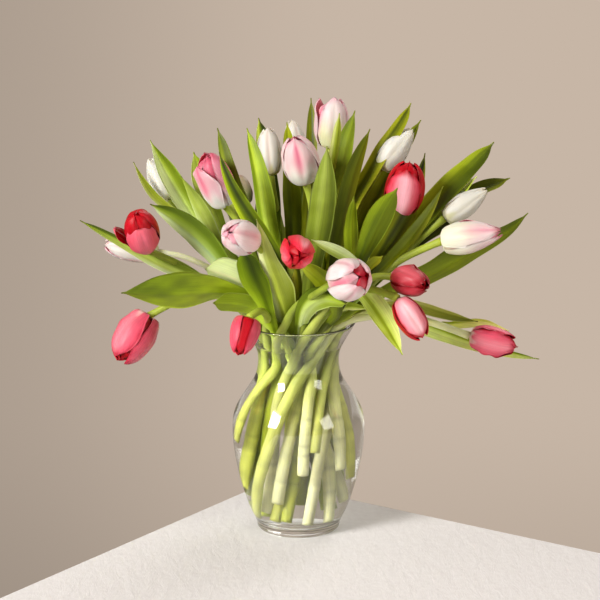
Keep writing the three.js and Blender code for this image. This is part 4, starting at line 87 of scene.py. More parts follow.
    [8,-1,"L22",[[115.5,62.0,381.9,0.0,0.271,0.754,-0.598],[107.1,55.8,370.2,9.8,0.279,0.753,-0.596],[98.9,49.6,358.4,14.6,0.291,0.753,-0.59],[90.9,43.4,346.4,15.7,0.306,0.753,-0.583],[83.2,37.2,334.2,19.1,0.326,0.755,-0.569],[75.9,31.4,321.9,22.5,0.354,0.762,-0.543],[68.8,26.2,309.3,22.5,0.391,0.774,-0.497],[61.7,22.4,296.7,20.9,0.443,0.795,-0.414],[54.1,21.2,284.0,18.8,0.504,0.81,-0.301],[45.9,22.9,271.5,16.2,0.557,0.806,-0.2],[37.5,26.5,259.1,14.0,0.602,0.784,-0.151],[29.4,30.7,246.4,12.0,0.65,0.74,-0.17],[22.0,34.1,233.0,9.7,0.665,0.723,-0.187],[15.6,36.4,219.1,7.6,0.487,0.869,-0.086],[9.8,38.1,204.8,5.5,0.187,0.981,0.047]]],
    [18,1,"L23",[[116.7,4.0,361.5,0.0,0.648,-0.756,0.092],[114.5,-0.2,348.6,8.3,0.64,-0.765,0.076],[111.7,-4.3,335.8,15.6,0.627,-0.778,0.035],[107.6,-10.1,323.9,21.0,0.618,-0.786,0.009],[102.2,-18.9,313.3,26.2,0.629,-0.777,0.039],[95.9,-25.8,302.7,28.4,0.649,-0.757,0.081],[88.5,-34.0,292.2,27.9,0.619,-0.784,0.045],[80.5,-37.2,280.3,24.2,0.498,-0.86,-0.111],[72.7,-34.3,267.8,17.8,0.352,-0.884,-0.307],[65.4,-29.3,255.6,14.6,0.285,-0.883,-0.372],[58.6,-25.2,243.4,12.2,0.258,-0.906,-0.334],[52.4,-22.8,231.3,10.3,0.213,-0.931,-0.297],[46.7,-20.1,218.8,8.7,0.198,-0.936,-0.292],[41.4,-17.4,206.4,7.1,0.265,-0.915,-0.303],[36.1,-15.0,194.0,5.5,0.359,-0.876,-0.323]]],
    [12,-1,"L24",[[181.9,26.0,367.6,0.0,0.323,0.696,-0.641],[170.1,20.5,355.6,15.8,0.311,0.688,-0.656],[157.7,14.7,344.3,21.6,0.294,0.674,-0.677],[145.0,8.9,333.2,25.9,0.317,0.675,-0.666],[132.8,3.8,321.4,25.7,0.385,0.691,-0.611],[121.3,0.3,308.6,25.1,0.442,0.699,-0.562],[109.7,-2.3,295.6,23.2,0.453,0.694,-0.56],[97.5,-4.5,283.3,20.4,0.451,0.687,-0.569],[84.7,-5.5,271.8,17.4,0.482,0.682,-0.55],[71.6,-4.6,260.6,14.8,0.543,0.663,-0.515],[59.0,-2.2,249.0,12.7,0.624,0.606,-0.493],[47.3,1.0,236.6,10.8,0.718,0.498,-0.486],[36.9,4.6,223.2,9.1,0.785,0.429,-0.446],[27.6,8.3,208.9,7.3,0.736,0.608,-0.297],[19.0,12.0,194.1,5.5,0.534,0.84,-0.1]]],
    [18,1,"L25",[[132.8,-12.0,333.8,0.0,0.649,-0.759,0.054],[127.0,-17.6,323.2,5.5,0.638,-0.768,0.046],[120.8,-23.2,313.0,10.8,0.619,-0.785,0.022],[113.7,-28.7,303.2,13.6,0.594,-0.805,-0.011],[106.0,-33.9,293.9,16.0,0.56,-0.827,-0.05],[97.7,-38.4,285.0,15.1,0.508,-0.855,-0.103],[89.0,-41.8,276.4,13.9,0.423,-0.887,-0.186],[80.3,-43.0,267.3,12.5,0.318,-0.902,-0.291],[72.1,-41.7,257.6,11.0,0.228,-0.893,-0.388],[64.6,-38.4,247.5,9.9,0.161,-0.872,-0.462],[57.9,-33.4,236.9,9.0,0.111,-0.856,-0.505],[52.0,-27.4,226.1,8.1,0.093,-0.859,-0.503],[46.6,-21.9,215.2,7.2,0.134,-0.881,-0.454],[41.3,-17.9,204.5,6.4,0.222,-0.889,-0.399],[36.1,-15.0,194.0,5.5,0.308,-0.866,-0.393]]],
    [17,-1,"L26",[[165.2,6.0,339.0,0.0,0.436,0.714,-0.548],[155.3,5.3,330.5,9.9,0.436,0.714,-0.548],[145.7,4.3,322.0,16.7,0.423,0.711,-0.562],[136.6,2.5,313.0,16.3,0.399,0.701,-0.591],[128.2,-0.2,303.3,15.0,0.417,0.698,-0.582],[120.0,-2.3,293.0,12.8,0.497,0.715,-0.491],[111.3,-2.4,281.7,11.4,0.568,0.715,-0.407],[102.3,-1.1,270.5,10.7,0.551,0.715,-0.431],[93.4,-1.0,261.0,10.2,0.478,0.712,-0.515],[84.6,-2.2,252.6,9.8,0.467,0.699,-0.542],[76.1,-2.9,243.7,9.4,0.534,0.671,-0.514],[67.7,-2.7,234.2,9.0,0.61,0.615,-0.499],[59.5,-0.2,223.7,7.7,0.655,0.574,-0.492],[51.4,2.6,212.9,6.6,0.639,0.624,-0.451],[43.5,5.4,202.1,5.5,0.562,0.738,-0.374]]],
    [17,-1,"L27",[[197.9,30.0,332.6,0.0,0.183,0.678,-0.712],[185.2,25.5,328.5,12.0,0.19,0.676,-0.711],[172.7,21.1,325.3,16.0,0.206,0.677,-0.706],[160.4,16.7,318.8,17.9,0.222,0.678,-0.701],[148.2,12.5,306.3,18.5,0.237,0.679,-0.695],[135.8,8.8,293.3,16.8,0.256,0.681,-0.686],[123.1,5.7,285.2,14.8,0.276,0.682,-0.677],[110.7,2.8,277.0,13.1,0.305,0.683,-0.663],[98.9,0.3,268.5,11.6,0.38,0.692,-0.614],[87.7,-0.8,258.7,10.4,0.49,0.69,-0.532],[77.3,-0.4,247.7,9.3,0.587,0.656,-0.475],[67.4,0.8,235.9,8.4,0.669,0.581,-0.464],[58.3,2.2,223.6,7.4,0.719,0.527,-0.453],[49.6,3.7,211.0,6.5,0.687,0.615,-0.387],[41.3,5.2,198.3,5.5,0.596,0.744,-0.302]]],
    [21,1,"L28",[[211.1,-16.0,309.3,0.0,0.526,-0.818,-0.232],[198.8,-20.8,298.4,10.7,0.516,-0.821,-0.242],[185.9,-25.6,289.9,17.0,0.489,-0.83,-0.27],[172.2,-30.2,283.2,22.6,0.452,-0.838,-0.304],[157.7,-34.7,276.3,26.9,0.417,-0.845,-0.334],[142.6,-39.3,268.6,30.5,0.39,-0.85,-0.354],[127.1,-43.9,261.0,28.5,0.369,-0.855,-0.364],[111.6,-48.3,254.9,25.9,0.342,-0.865,-0.367],[96.3,-51.9,249.9,19.9,0.288,-0.885,-0.367],[81.4,-53.6,244.2,14.1,0.192,-0.911,-0.365],[67.4,-52.5,236.4,11.7,0.059,-0.933,-0.355],[54.4,-48.6,226.4,9.9,-0.087,-0.931,-0.355],[42.7,-42.1,215.2,8.4,-0.179,-0.891,-0.417],[31.6,-33.1,203.2,7.0,-0.085,-0.882,-0.463],[25.3,-27.5,190.5,5.5,0.113,-0.887,-0.448]]],
    [15,-1,"L29",[[222.8,-34.0,174.8,0.0,-0.196,0.677,-0.709],[205.3,-35.8,178.0,5.6,-0.206,0.682,-0.702],[188.0,-37.5,181.6,8.8,-0.23,0.687,-0.689],[171.0,-39.1,186.1,10.8,-0.255,0.693,-0.675],[154.2,-40.3,191.5,12.7,-0.259,0.7,-0.665],[137.9,-40.7,197.4,14.4,-0.24,0.708,-0.664],[121.8,-40.2,203.3,16.0,-0.242,0.715,-0.656],[105.8,-40.2,209.8,14.9,-0.292,0.719,-0.631],[90.1,-41.5,216.6,13.7,-0.284,0.716,-0.638],[74.9,-41.8,221.7,12.3,-0.079,0.693,-0.716],[60.9,-38.5,222.8,10.7,0.301,0.559,-0.773],[48.6,-31.9,218.7,9.2,0.622,0.321,-0.714],[38.4,-23.5,210.0,7.9,0.785,0.178,-0.594],[29.3,-14.6,198.3,6.7,0.848,0.299,-0.438],[19.7,-6.0,185.7,5.5,0.805,0.545,-0.236]]],
    [21,-1,"L30",[[164.3,-51.0,215.3,0.0,-0.222,0.684,-0.695],[153.5,-52.5,217.3,4.6,-0.24,0.693,-0.68],[142.7,-54.0,219.8,9.2,-0.28,0.699,-0.658],[132.2,-55.6,223.0,10.9,-0.313,0.705,-0.636],[121.7,-57.3,226.5,12.4,-0.324,0.71,-0.626],[111.5,-58.8,230.1,12.3,-0.302,0.71,-0.636],[101.4,-60.0,233.2,11.8,-0.211,0.705,-0.677],[91.3,-60.5,234.6,11.1,0.004,0.686,-0.727],[81.1,-59.3,233.7,9.9,0.325,0.618,-0.716],[70.6,-54.5,230.4,8.9,0.55,0.527,-0.648],[60.3,-47.5,225.7,8.1,0.63,0.514,-0.582],[51.5,-42.0,220.8,7.5,0.642,0.56,-0.524],[44.3,-38.5,215.6,6.8,0.678,0.566,-0.469],[37.7,-34.8,209.5,6.2,0.744,0.513,-0.428],[31.3,-30.4,202.7,5.5,0.773,0.473,-0.424]]],
    [21,-1,"L31",[[193.3,-46.0,205.0,0.0,-0.291,0.701,-0.651],[188.9,-46.3,206.7,1.8,-0.288,0.701,-0.652],[184.4,-46.6,208.3,3.6,-0.278,0.7,-0.658],[179.9,-46.9,209.8,5.4,-0.256,0.698,-0.669],[175.4,-47.1,211.2,7.2,-0.217,0.693,-0.687],[170.9,-47.3,212.2,8.0,-0.158,0.686,-0.71],[166.3,-47.6,212.7,8.5,-0.086,0.678,-0.73],[161.6,-48.0,212.7,9.1,-0.019,0.671,-0.742],[157.0,-48.4,212.2,9.5,0.018,0.67,-0.742],[152.3,-48.8,211.7,9.3,0.009,0.685,-0.728],[147.7,-49.3,211.3,8.7,-0.056,0.729,-0.683],[143.2,-50.0,211.2,8.1,-0.177,0.787,-0.592],[138.8,-51.2,211.4,7.7,-0.336,0.799,-0.499],[134.8,-53.1,212.0,7.4,-0.469,0.721,-0.509],[131.0,-55.3,212.8,7.3,-0.497,0.6,-0.627]]],
    [15,-1,"L32",[[92.9,-112.0,200.8,0.0,-0.199,0.83,-0.521],[86.7,-106.4,212.1,10.3,-0.176,0.813,-0.555],[80.6,-99.8,222.6,17.4,-0.132,0.773,-0.62],[74.4,-92.4,232.1,21.4,-0.123,0.78,-0.613],[67.3,-86.9,241.7,20.8,-0.176,0.838,-0.516],[58.8,-84.0,251.1,17.5,-0.126,0.83,-0.544],[50.0,-79.5,257.0,14.0,0.241,0.652,-0.719],[42.5,-70.5,257.8,12.8,0.658,0.33,-0.677],[36.7,-58.6,254.3,11.7,0.868,0.184,-0.462],[32.0,-46.2,247.8,10.7,0.944,0.193,-0.267],[27.7,-35.2,239.2,9.6,0.96,0.232,-0.157],[23.9,-25.7,228.8,8.6,0.972,0.213,-0.102],[21.4,-17.2,216.8,7.6,0.977,0.212,-0.012],[20.3,-10.3,203.7,6.6,0.872,0.459,0.171],[20.4,-5.5,190.2,5.5,0.709,0.662,0.244]]],
    [10,1,"L33",[[42.4,-104.0,245.7,0.0,-0.727,-0.546,-0.416],[35.6,-95.0,245.8,14.3,-0.712,-0.543,-0.445],[28.9,-86.0,245.4,21.9,-0.649,-0.589,-0.482],[21.8,-78.3,243.9,24.1,-0.488,-0.715,-0.501],[14.6,-72.4,239.9,25.0,-0.302,-0.824,-0.48],[8.8,-67.6,233.7,21.3,-0.209,-0.838,-0.504],[5.5,-62.2,226.7,18.3,-0.173,-0.763,-0.623],[3.7,-54.7,219.3,15.1,-0.131,-0.665,-0.736],[2.5,-44.2,210.9,12.6,-0.096,-0.642,-0.76],[1.6,-34.0,202.1,11.7,-0.081,-0.706,-0.704],[0.7,-27.3,194.2,10.6,-0.091,-0.796,-0.599],[-0.5,-22.6,187.3,9.4,-0.138,-0.815,-0.563],[-1.6,-17.2,180.1,8.1,-0.198,-0.796,-0.572],[-2.4,-11.2,172.2,6.8,-0.225,-0.798,-0.559],[-2.8,-5.3,163.7,5.5,-0.215,-0.806,-0.551]]],
    [19,1,"L34",[[-0.3,-92.9,283.0,0.0,0.215,-0.943,-0.254],[5.8,-90.0,277.3,7.1,0.262,-0.924,-0.278],[11.9,-86.0,271.3,13.8,0.335,-0.887,-0.318],[18.1,-80.9,264.9,16.1,0.347,-0.892,-0.288],[23.7,-77.1,258.0,17.9,0.276,-0.948,-0.16],[28.2,-75.5,250.4,15.8,0.234,-0.968,-0.092],[31.8,-73.6,241.7,13.7,0.24,-0.944,-0.229],[34.3,-69.7,232.8,12.2,0.19,-0.88,-0.435],[34.6,-65.1,225.7,11.3,0.06,-0.768,-0.638],[32.7,-59.4,220.3,10.3,-0.103,-0.669,-0.736],[29.6,-52.6,215.0,9.4,-0.192,-0.687,-0.701],[25.7,-45.8,208.9,8.4,-0.21,-0.766,-0.607],[21.3,-39.6,201.6,7.5,-0.16,-0.866,-0.473],[17.7,-36.0,193.6,6.5,-0.079,-0.919,-0.386],[13.7,-32.3,185.6,5.5,-0.012,-0.909,-0.416]]],
    [9,1,"L35",[[65.1,-62.0,230.1,0.0,-0.326,-0.806,-0.494],[57.5,-59.2,230.5,5.2,-0.424,-0.749,-0.509],[49.3,-52.7,229.6,10.2,-0.502,-0.674,-0.542],[41.0,-44.2,227.1,11.7,-0.439,-0.703,-0.559],[34.0,-38.8,224.0,12.2,-0.22,-0.839,-0.498],[28.5,-36.9,220.3,12.6,-0.006,-0.923,-0.385],[23.6,-35.1,215.4,12.3,0.009,-0.92,-0.391],[19.2,-32.4,209.5,11.8,-0.013,-0.891,-0.454],[15.1,-28.8,203.3,11.3,-0.022,-0.839,-0.544],[11.9,-24.2,197.3,10.7,0.019,-0.76,-0.649],[10.7,-18.7,191.3,9.5,0.128,-0.709,-0.693],[10.8,-12.6,185.1,8.4,0.222,-0.688,-0.691],[9.7,-6.4,178.7,7.4,0.19,-0.69,-0.699],[6.5,-0.5,172.1,6.4,-0.115,-0.796,-0.594],[2.3,4.8,165.2,5.5,-0.576,-0.776,-0.255]]],
    [6,1,"L36",[[-202.0,-6.0,300.0,0.0,-0.435,-0.826,-0.358],[-187.8,-10.4,292.9,6.9,-0.433,-0.828,-0.355],[-173.7,-14.8,285.9,10.8,-0.43,-0.831,-0.353],[-159.4,-19.2,279.0,14.0,-0.425,-0.834,-0.351],[-145.1,-23.6,272.3,16.5,-0.419,-0.838,-0.349],[-130.7,-28.1,265.9,18.8,-0.416,-0.841,-0.345],[-116.1,-32.8,259.7,19.2,-0.401,-0.849,-0.345],[-101.5,-36.9,253.5,19.4,-0.341,-0.867,-0.364],[-87.2,-38.9,247.1,17.8,-0.223,-0.882,-0.415],[-73.3,-37.7,240.1,15.5,-0.101,-0.863,-0.494],[-60.0,-33.6,232.4,12.7,-0.071,-0.811,-0.581],[-47.8,-28.3,223.8,10.4,-0.155,-0.742,-0.652],[-37.0,-22.7,214.5,8.6,-0.261,-0.691,-0.675],[-27.7,-16.9,204.4,7.0,-0.237,-0.735,-0.636],[-19.3,-10.5,193.8,5.5,-0.074,-0.828,-0.556]]],
    [20,1,"L37",[[-160.9,-64.0,245.6,0.0,0.144,-0.852,-0.504],[-146.6,-61.6,245.1,16.2,0.141,-0.852,-0.504],[-132.2,-59.2,244.4,33.0,0.134,-0.853,-0.504],[-117.9,-56.8,243.0,43.8,0.13,-0.854,-0.504],[-103.6,-54.5,242.8,49.0,0.13,-0.855,-0.503],[-89.4,-52.1,243.2,41.7,0.119,-0.857,-0.501],[-75.3,-49.6,243.4,30.3,0.109,-0.86,-0.499],[-61.4,-46.4,240.8,20.5,0.134,-0.853,-0.504],[-48.0,-41.1,236.1,14.8,0.158,-0.839,-0.52],[-36.0,-34.3,228.9,13.2,0.057,-0.87,-0.49],[-26.4,-30.1,219.1,12.4,-0.21,-0.93,-0.302],[-19.5,-30.8,206.9,11.5,-0.439,-0.89,-0.127],[-14.2,-32.5,193.7,9.3,-0.485,-0.855,-0.185],[-9.7,-30.8,180.8,7.3,-0.295,-0.898,-0.327],[-5.7,-26.2,168.7,5.5,0.019,-0.937,-0.349]]],
    [10,1,"L38",[[-77.8,-58.0,234.7,0.0,0.257,-0.825,-0.504],[-69.3,-55.0,233.9,21.7,0.251,-0.825,-0.507],[-61.0,-51.8,232.6,24.4,0.244,-0.824,-0.512],[-53.1,-48.4,230.8,24.7,0.251,-0.815,-0.523],[-46.2,-44.5,228.2,22.3,0.234,-0.814,-0.532],[-40.2,-40.8,224.8,20.9,0.091,-0.88,-0.466],[-34.8,-39.0,220.0,18.6,-0.131,-0.951,-0.279],[-29.4,-39.0,213.7,16.1,-0.144,-0.958,-0.248],[-23.6,-37.2,206.5,13.8,0.01,-0.911,-0.412],[-17.2,-32.3,199.1,11.8,0.088,-0.864,-0.495],[-11.0,-27.5,191.9,10.4,0.048,-0.873,-0.486],[-6.4,-23.8,185.0,9.2,0.007,-0.84,-0.542],[-3.7,-19.1,178.9,7.9,-0.016,-0.726,-0.687],[-2.5,-12.8,173.3,6.7,-0.029,-0.65,-0.76],[-1.8,-6.2,167.7,5.5,0.009,-0.64,-0.768]]],
    [14,1,"L39",[[-85.3,-46.0,263.6,0.0,0.04,-0.87,-0.492],[-76.3,-44.9,261.2,30.2,0.005,-0.878,-0.478],[-67.7,-43.9,257.7,36.1,-0.04,-0.886,-0.461],[-60.3,-42.6,254.4,36.5,-0.022,-0.882,-0.471],[-53.7,-40.0,250.0,30.7,0.01,-0.863,-0.505],[-47.7,-36.4,244.6,25.3,-0.055,-0.886,-0.46],[-42.2,-34.2,238.2,19.5,-0.22,-0.94,-0.262],[-36.6,-35.1,231.3,14.6,-0.282,-0.947,-0.153],[-30.6,-35.3,223.9,10.8,-0.175,-0.955,-0.239],[-24.8,-33.4,215.9,7.9,-0.182,-0.964,-0.194],[-20.9,-33.8,207.2,7.2,-0.289,-0.954,0.076],[-19.7,-36.3,198.9,6.7,-0.261,-0.961,0.096],[-19.8,-35.6,191.9,6.3,-0.191,-0.923,-0.335],[-19.9,-31.6,186.0,5.9,-0.157,-0.763,-0.627],[-19.4,-26.3,180.5,5.5,-0.162,-0.707,-0.688]]],
    [14,1,"L40",[[-49.8,-74.0,288.3,0.0,-0.192,-0.957,-0.216],[-48.2,-72.5,281.9,11.6,-0.18,-0.955,-0.235],[-46.4,-70.6,275.4,20.6,-0.154,-0.94,-0.305],[-44.4,-67.8,267.3,23.2,-0.118,-0.911,-0.396],[-41.9,-64.2,259.3,25.6,-0.088,-0.887,-0.454],[-38.8,-60.3,251.5,25.9,-0.075,-0.877,-0.475],[-35.6,-56.4,244.1,22.3,-0.082,-0.886,-0.457],[-32.5,-53.0,236.5,18.4,-0.113,-0.914,-0.39],[-29.5,-50.0,227.6,14.5,-0.14,-0.929,-0.344],[-26.4,-46.4,216.9,12.3,-0.162,-0.911,-0.379],[-24.1,-42.0,206.6,10.9,-0.197,-0.859,-0.473],[-22.0,-37.3,198.7,9.5,-0.257,-0.834,-0.489],[-21.5,-34.5,192.4,8.2,-0.271,-0.843,-0.466],[-20.9,-31.0,186.5,6.8,-0.199,-0.793,-0.576],[-19.4,-26.3,180.5,5.5,-0.095,-0.776,-0.623]]],
    [19,1,"L41",[[75.5,-88.0,285.8,0.0,-0.059,-0.879,-0.473],[70.1,-85.2,281.4,9.2,-0.043,-0.877,-0.478],[65.2,-82.3,276.3,9.8,-0.025,-0.874,-0.486],[61.0,-79.0,270.6,8.0,-0.014,-0.863,-0.506],[57.4,-75.3,264.5,6.6,0.007,-0.866,-0.5],[54.0,-72.0,258.5,6.3,0.059,-0.909,-0.413],[50.5,-70.4,252.9,6.2,0.143,-0.952,-0.27],[46.9,-70.0,247.5,6.1,0.135,-0.951,-0.278],[43.6,-68.2,242.1,6.0,-0.008,-0.86,-0.51],[40.5,-63.2,236.2,5.9,-0.091,-0.747,-0.658],[37.4,-56.8,229.9,5.8,-0.102,-0.753,-0.65],[34.4,-51.6,223.6,5.8,-0.075,-0.825,-0.56],[31.6,-47.8,217.5,5.7,-0.06,-0.859,-0.509],[28.6,-44.0,211.5,5.6,-0.094,-0.822,-0.562],[24.7,-38.8,205.5,5.5,-0.123,-0.79,-0.601]]],
    [13,1,"L42",[[-5.8,-58.0,279.6,0.0,0.001,-0.94,-0.341],[-4.9,-55.3,272.0,4.9,0.003,-0.942,-0.335],[-4.0,-52.6,264.5,9.9,0.0,-0.949,-0.315],[-3.3,-50.2,256.9,11.9,-0.005,-0.956,-0.292],[-2.8,-48.0,249.4,13.1,-0.011,-0.949,-0.314],[-2.4,-45.2,241.8,14.3,-0.021,-0.917,-0.397],[-2.4,-41.4,234.1,14.0,-0.041,-0.881,-0.472],[-2.8,-37.1,226.6,13.0,-0.069,-0.864,-0.499],[-3.5,-32.8,219.4,12.0,-0.101,-0.852,-0.514],[-4.4,-28.3,212.4,11.0,-0.13,-0.859,-0.495],[-5.9,-24.1,204.9,9.9,-0.127,-0.924,-0.361],[-8.6,-21.4,196.1,8.8,-0.092,-0.976,-0.199],[-12.0,-19.9,187.0,7.7,-0.111,-0.976,-0.185],[-14.0,-17.7,179.6,6.6,-0.213,-0.915,-0.343],[-14.0,-14.3,173.5,5.5,-0.316,-0.834,-0.453]]],
    [5,-1,"B1",[[-103.9,60.0,300.0,0.0,-0.382,0.22,-0.898],[-96.0,54.9,295.4,6.9,-0.388,0.221,-0.895],[-88.2,49.9,290.7,13.7,-0.406,0.228,-0.885],[-80.6,44.8,285.7,16.9,-0.435,0.24,-0.868],[-73.2,40.0,280.4,19.6,-0.471,0.256,-0.844],[-66.0,35.2,274.7,22.4,-0.5,0.263,-0.825],[-58.7,30.0,268.5,23.4,-0.523,0.256,-0.813],[-51.6,24.3,262.0,21.9,-0.571,0.255,-0.78],[-45.2,19.1,255.0,20.5,-0.661,0.285,-0.694],[-39.8,15.6,247.2,19.0,-0.747,0.336,-0.574],[-35.1,13.5,238.6,17.5,-0.78,0.406,-0.476],[-30.8,12.0,229.4,15.2,-0.77,0.497,-0.4],[-27.1,10.8,219.8,12.0,-0.765,0.551,-0.333],[-23.8,10.1,210.0,8.7,-0.808,0.512,-0.291],[-20.7,9.5,200.0,5.5,-0.871,0.4,-0.285]]],
    [3,-1,"B2",[[-75.0,78.8,305.6,0.0,-0.408,0.522,-0.749],[-69.8,71.5,301.3,7.4,-0.437,0.534,-0.724],[-65.2,64.6,296.7,14.9,-0.488,0.576,-0.656],[-61.2,58.3,291.5,18.3,-0.546,0.618,-0.565],[-57.9,52.7,285.8,21.2,-0.6,0.646,-0.472],[-55.1,47.8,279.7,24.2,-0.646,0.658,-0.388],[-52.7,43.6,273.3,25.4,-0.683,0.658,-0.318],[-50.3,40.2,266.4,23.8,-0.709,0.651,-0.271],[-47.8,37.5,256.9,22.2,-0.722,0.64,-0.264],[-44.8,34.9,247.3,20.6,-0.713,0.641,-0.285],[-41.6,32.3,237.9,19.0,-0.671,0.68,-0.295],[-38.1,30.2,228.6,16.4,-0.571,0.778,-0.263],[-34.1,28.9,219.3,12.8,-0.443,0.876,-0.191],[-30.7,28.4,208.6,9.1,-0.518,0.838,-0.173],[-27.3,28.4,197.6,5.5,-0.677,0.705,-0.211]]],
    [4,-1,"B3",[[-37.1,114.1,322.0,0.0,-0.155,0.476,-0.866],[-34.8,104.3,316.2,8.0,-0.174,0.504,-0.846],[-33.1,95.2,309.9,16.0,-0.206,0.578,-0.789],[-31.9,87.1,302.8,19.7,-0.242,0.657,-0.714],[-31.2,79.7,295.0,22.9,-0.276,0.704,-0.655],[-30.6,72.7,286.8,26.1,-0.309,0.727,-0.613],[-30.1,65.9,278.1,27.3,-0.342,0.742,-0.576],[-29.5,59.5,269.2,25.6,-0.377,0.757,-0.534],[-28.7,53.7,259.8,23.9,-0.405,0.782,-0.475],[-27.5,48.9,250.0,22.2,-0.408,0.819,-0.404],[-25.5,45.4,239.8,20.5,-0.352,0.866,-0.356],[-22.8,42.4,229.5,17.6,-0.214,0.921,-0.326],[-19.7,39.5,219.3,13.6,-0.085,0.954,-0.288],[-16.4,36.8,209.0,9.5,-0.146,0.947,-0.285],[-12.9,34.4,198.7,5.5,-0.332,0.886,-0.323]]],
    [11,-1,"B4",[[4.0,92.2,352.5,0.0,0.03,0.704,-0.709],[3.4,84.1,344.5,6.9,0.029,0.723,-0.69],[3.0,76.4,335.9,13.7,0.03,0.77,-0.638],[2.7,69.3,326.6,16.9,0.032,0.823,-0.567],[2.5,63.0,316.5,19.6,0.035,0.87,-0.493],[2.4,57.5,305.8,22.4,0.038,0.903,-0.428],[2.3,52.7,294.7,23.4,0.042,0.923,-0.382],[2.4,48.3,283.5,21.9,0.049,0.933,-0.358],[2.6,44.2,272.4,20.5,0.057,0.94,-0.338],[2.9,40.3,261.2,19.0,0.065,0.958,-0.28],[3.1,37.4,249.5,17.5,0.073,0.978,-0.194],[3.3,35.4,237.0,15.2,0.092,0.983,-0.161],[3.5,33.3,224.4,12.0,0.131,0.971,-0.197],[3.8,30.4,212.2,8.7,0.151,0.959,-0.241],[4.0,27.1,200.1,5.5,0.141,0.957,-0.255]]],
    [8,-1,"B5",[[43.8,120.3,318.0,0.0,0.177,0.485,-0.856],[39.8,111.5,312.2,8.0,0.176,0.497,-0.85],[35.9,102.9,306.2,16.0,0.181,0.523,-0.833],[31.9,94.5,299.8,19.7,0.186,0.549,-0.815],[28.0,86.1,293.1,22.9,0.184,0.559,-0.808],[24.3,77.3,286.2,26.1,0.169,0.54,-0.825],[21.0,67.7,279.6,27.3,0.166,0.545,-0.822],[18.2,58.6,272.6,25.6,0.216,0.738,-0.639],[16.2,54.8,263.1,23.9,0.299,0.941,-0.157],[14.6,56.1,250.8,22.2,0.317,0.949,-0.005],[13.3,55.7,238.5,20.5,0.346,0.902,-0.258],[12.3,50.5,228.0,17.6,0.471,0.752,-0.46],[11.7,44.1,218.1,13.6,0.591,0.689,-0.419],[11.8,38.8,208.0,9.5,0.529,0.769,-0.359],[12.3,34.2,197.7,5.5,0.315,0.873,-0.372]]],
    [12,-1,"B6",[[67.2,84.3,303.2,0.0,0.356,0.425,-0.832],[61.2,76.5,299.8,7.4,0.368,0.437,-0.821],[55.4,68.9,296.2,14.9,0.397,0.47,-0.788],[50.0,61.6,292.1,18.3,0.434,0.512,-0.742],[45.0,54.9,287.6,21.2,0.47,0.552,-0.689],[40.6,48.6,282.6,24.2,0.502,0.584,-0.638],[36.6,42.8,277.4,25.4,0.53,0.607,-0.592],[33.0,37.2,271.6,23.8,0.564,0.631,-0.533],[29.5,32.3,262.5,22.2,0.608,0.665,-0.434],[27.0,28.6,252.8,20.6,0.648,0.696,-0.309],[25.4,26.0,242.6,19.0,0.663,0.711,-0.233],[24.3,23.4,232.1,16.4,0.659,0.712,-0.243],[23.0,20.0,221.8,12.8,0.667,0.689,-0.282],[21.5,16.3,210.1,9.1,0.727,0.624,-0.286],[19.7,13.0,198.2,5.5,0.805,0.53,-0.268]]],
    [15,-1,"B7",[[116.9,67.5,300.0,0.0,0.337,0.195,-0.921],[107.8,61.5,295.4,7.4,0.339,0.192,-0.921],[98.9,55.4,290.8,14.9,0.344,0.191,-0.92],[90.0,49.2,286.2,18.3,0.358,0.192,-0.914],[81.4,42.8,281.3,21.2,0.387,0.198,-0.901],[73.1,36.5,276.1,24.2,0.433,0.21,-0.877],[65.2,30.4,270.4,25.4,0.495,0.223,-0.839],[57.8,24.5,263.9,23.8,0.562,0.227,-0.795],[50.9,18.5,256.9,22.2,0.629,0.213,-0.748],[44.3,12.6,249.2,20.6,0.703,0.193,-0.685],[38.2,7.5,240.7,19.0,0.785,0.176,-0.594],[32.8,3.5,231.2,16.4,0.863,0.152,-0.482],[28.4,0.4,221.0,12.8,0.924,0.092,-0.37],[24.9,-2.1,210.2,9.1,0.959,-0.027,-0.281],[21.9,-4.4,199.2,5.5,0.956,-0.19,-0.224]]],
    [9,-1,"B8",[[-19.5,138.6,262.0,0.0,0.005,-0.032,-0.999],[-18.0,127.9,262.4,8.6,0.003,-0.021,-1.0],[-16.5,117.3,262.5,17.1,-0.001,0.009,-1.0],[-14.9,106.8,262.2,21.1,-0.006,0.049,-0.999],[-13.0,96.2,261.4,24.5,-0.014,0.106,-0.994],[-11.5,85.5,259.8,27.9,-0.03,0.208,-0.978],[-10.9,75.3,256.9,29.3,-0.047,0.328,-0.944],[-11.1,65.5,252.8,27.4,-0.063,0.366,-0.929],[-11.2,54.5,248.7,25.6,-0.083,0.357,-0.93],[-10.3,43.0,244.2,23.8,-0.098,0.456,-0.885],[-8.5,34.2,237.9,21.9,-0.116,0.678,-0.726],[-6.4,28.3,229.7,18.8,-0.112,0.846,-0.522],[-4.8,23.7,220.3,14.4,-0.09,0.909,-0.407],[-3.6,19.8,210.3,9.9,-0.1,0.93,-0.355],[-2.5,16.3,200.0,5.5,-0.142,0.93,-0.338]]],
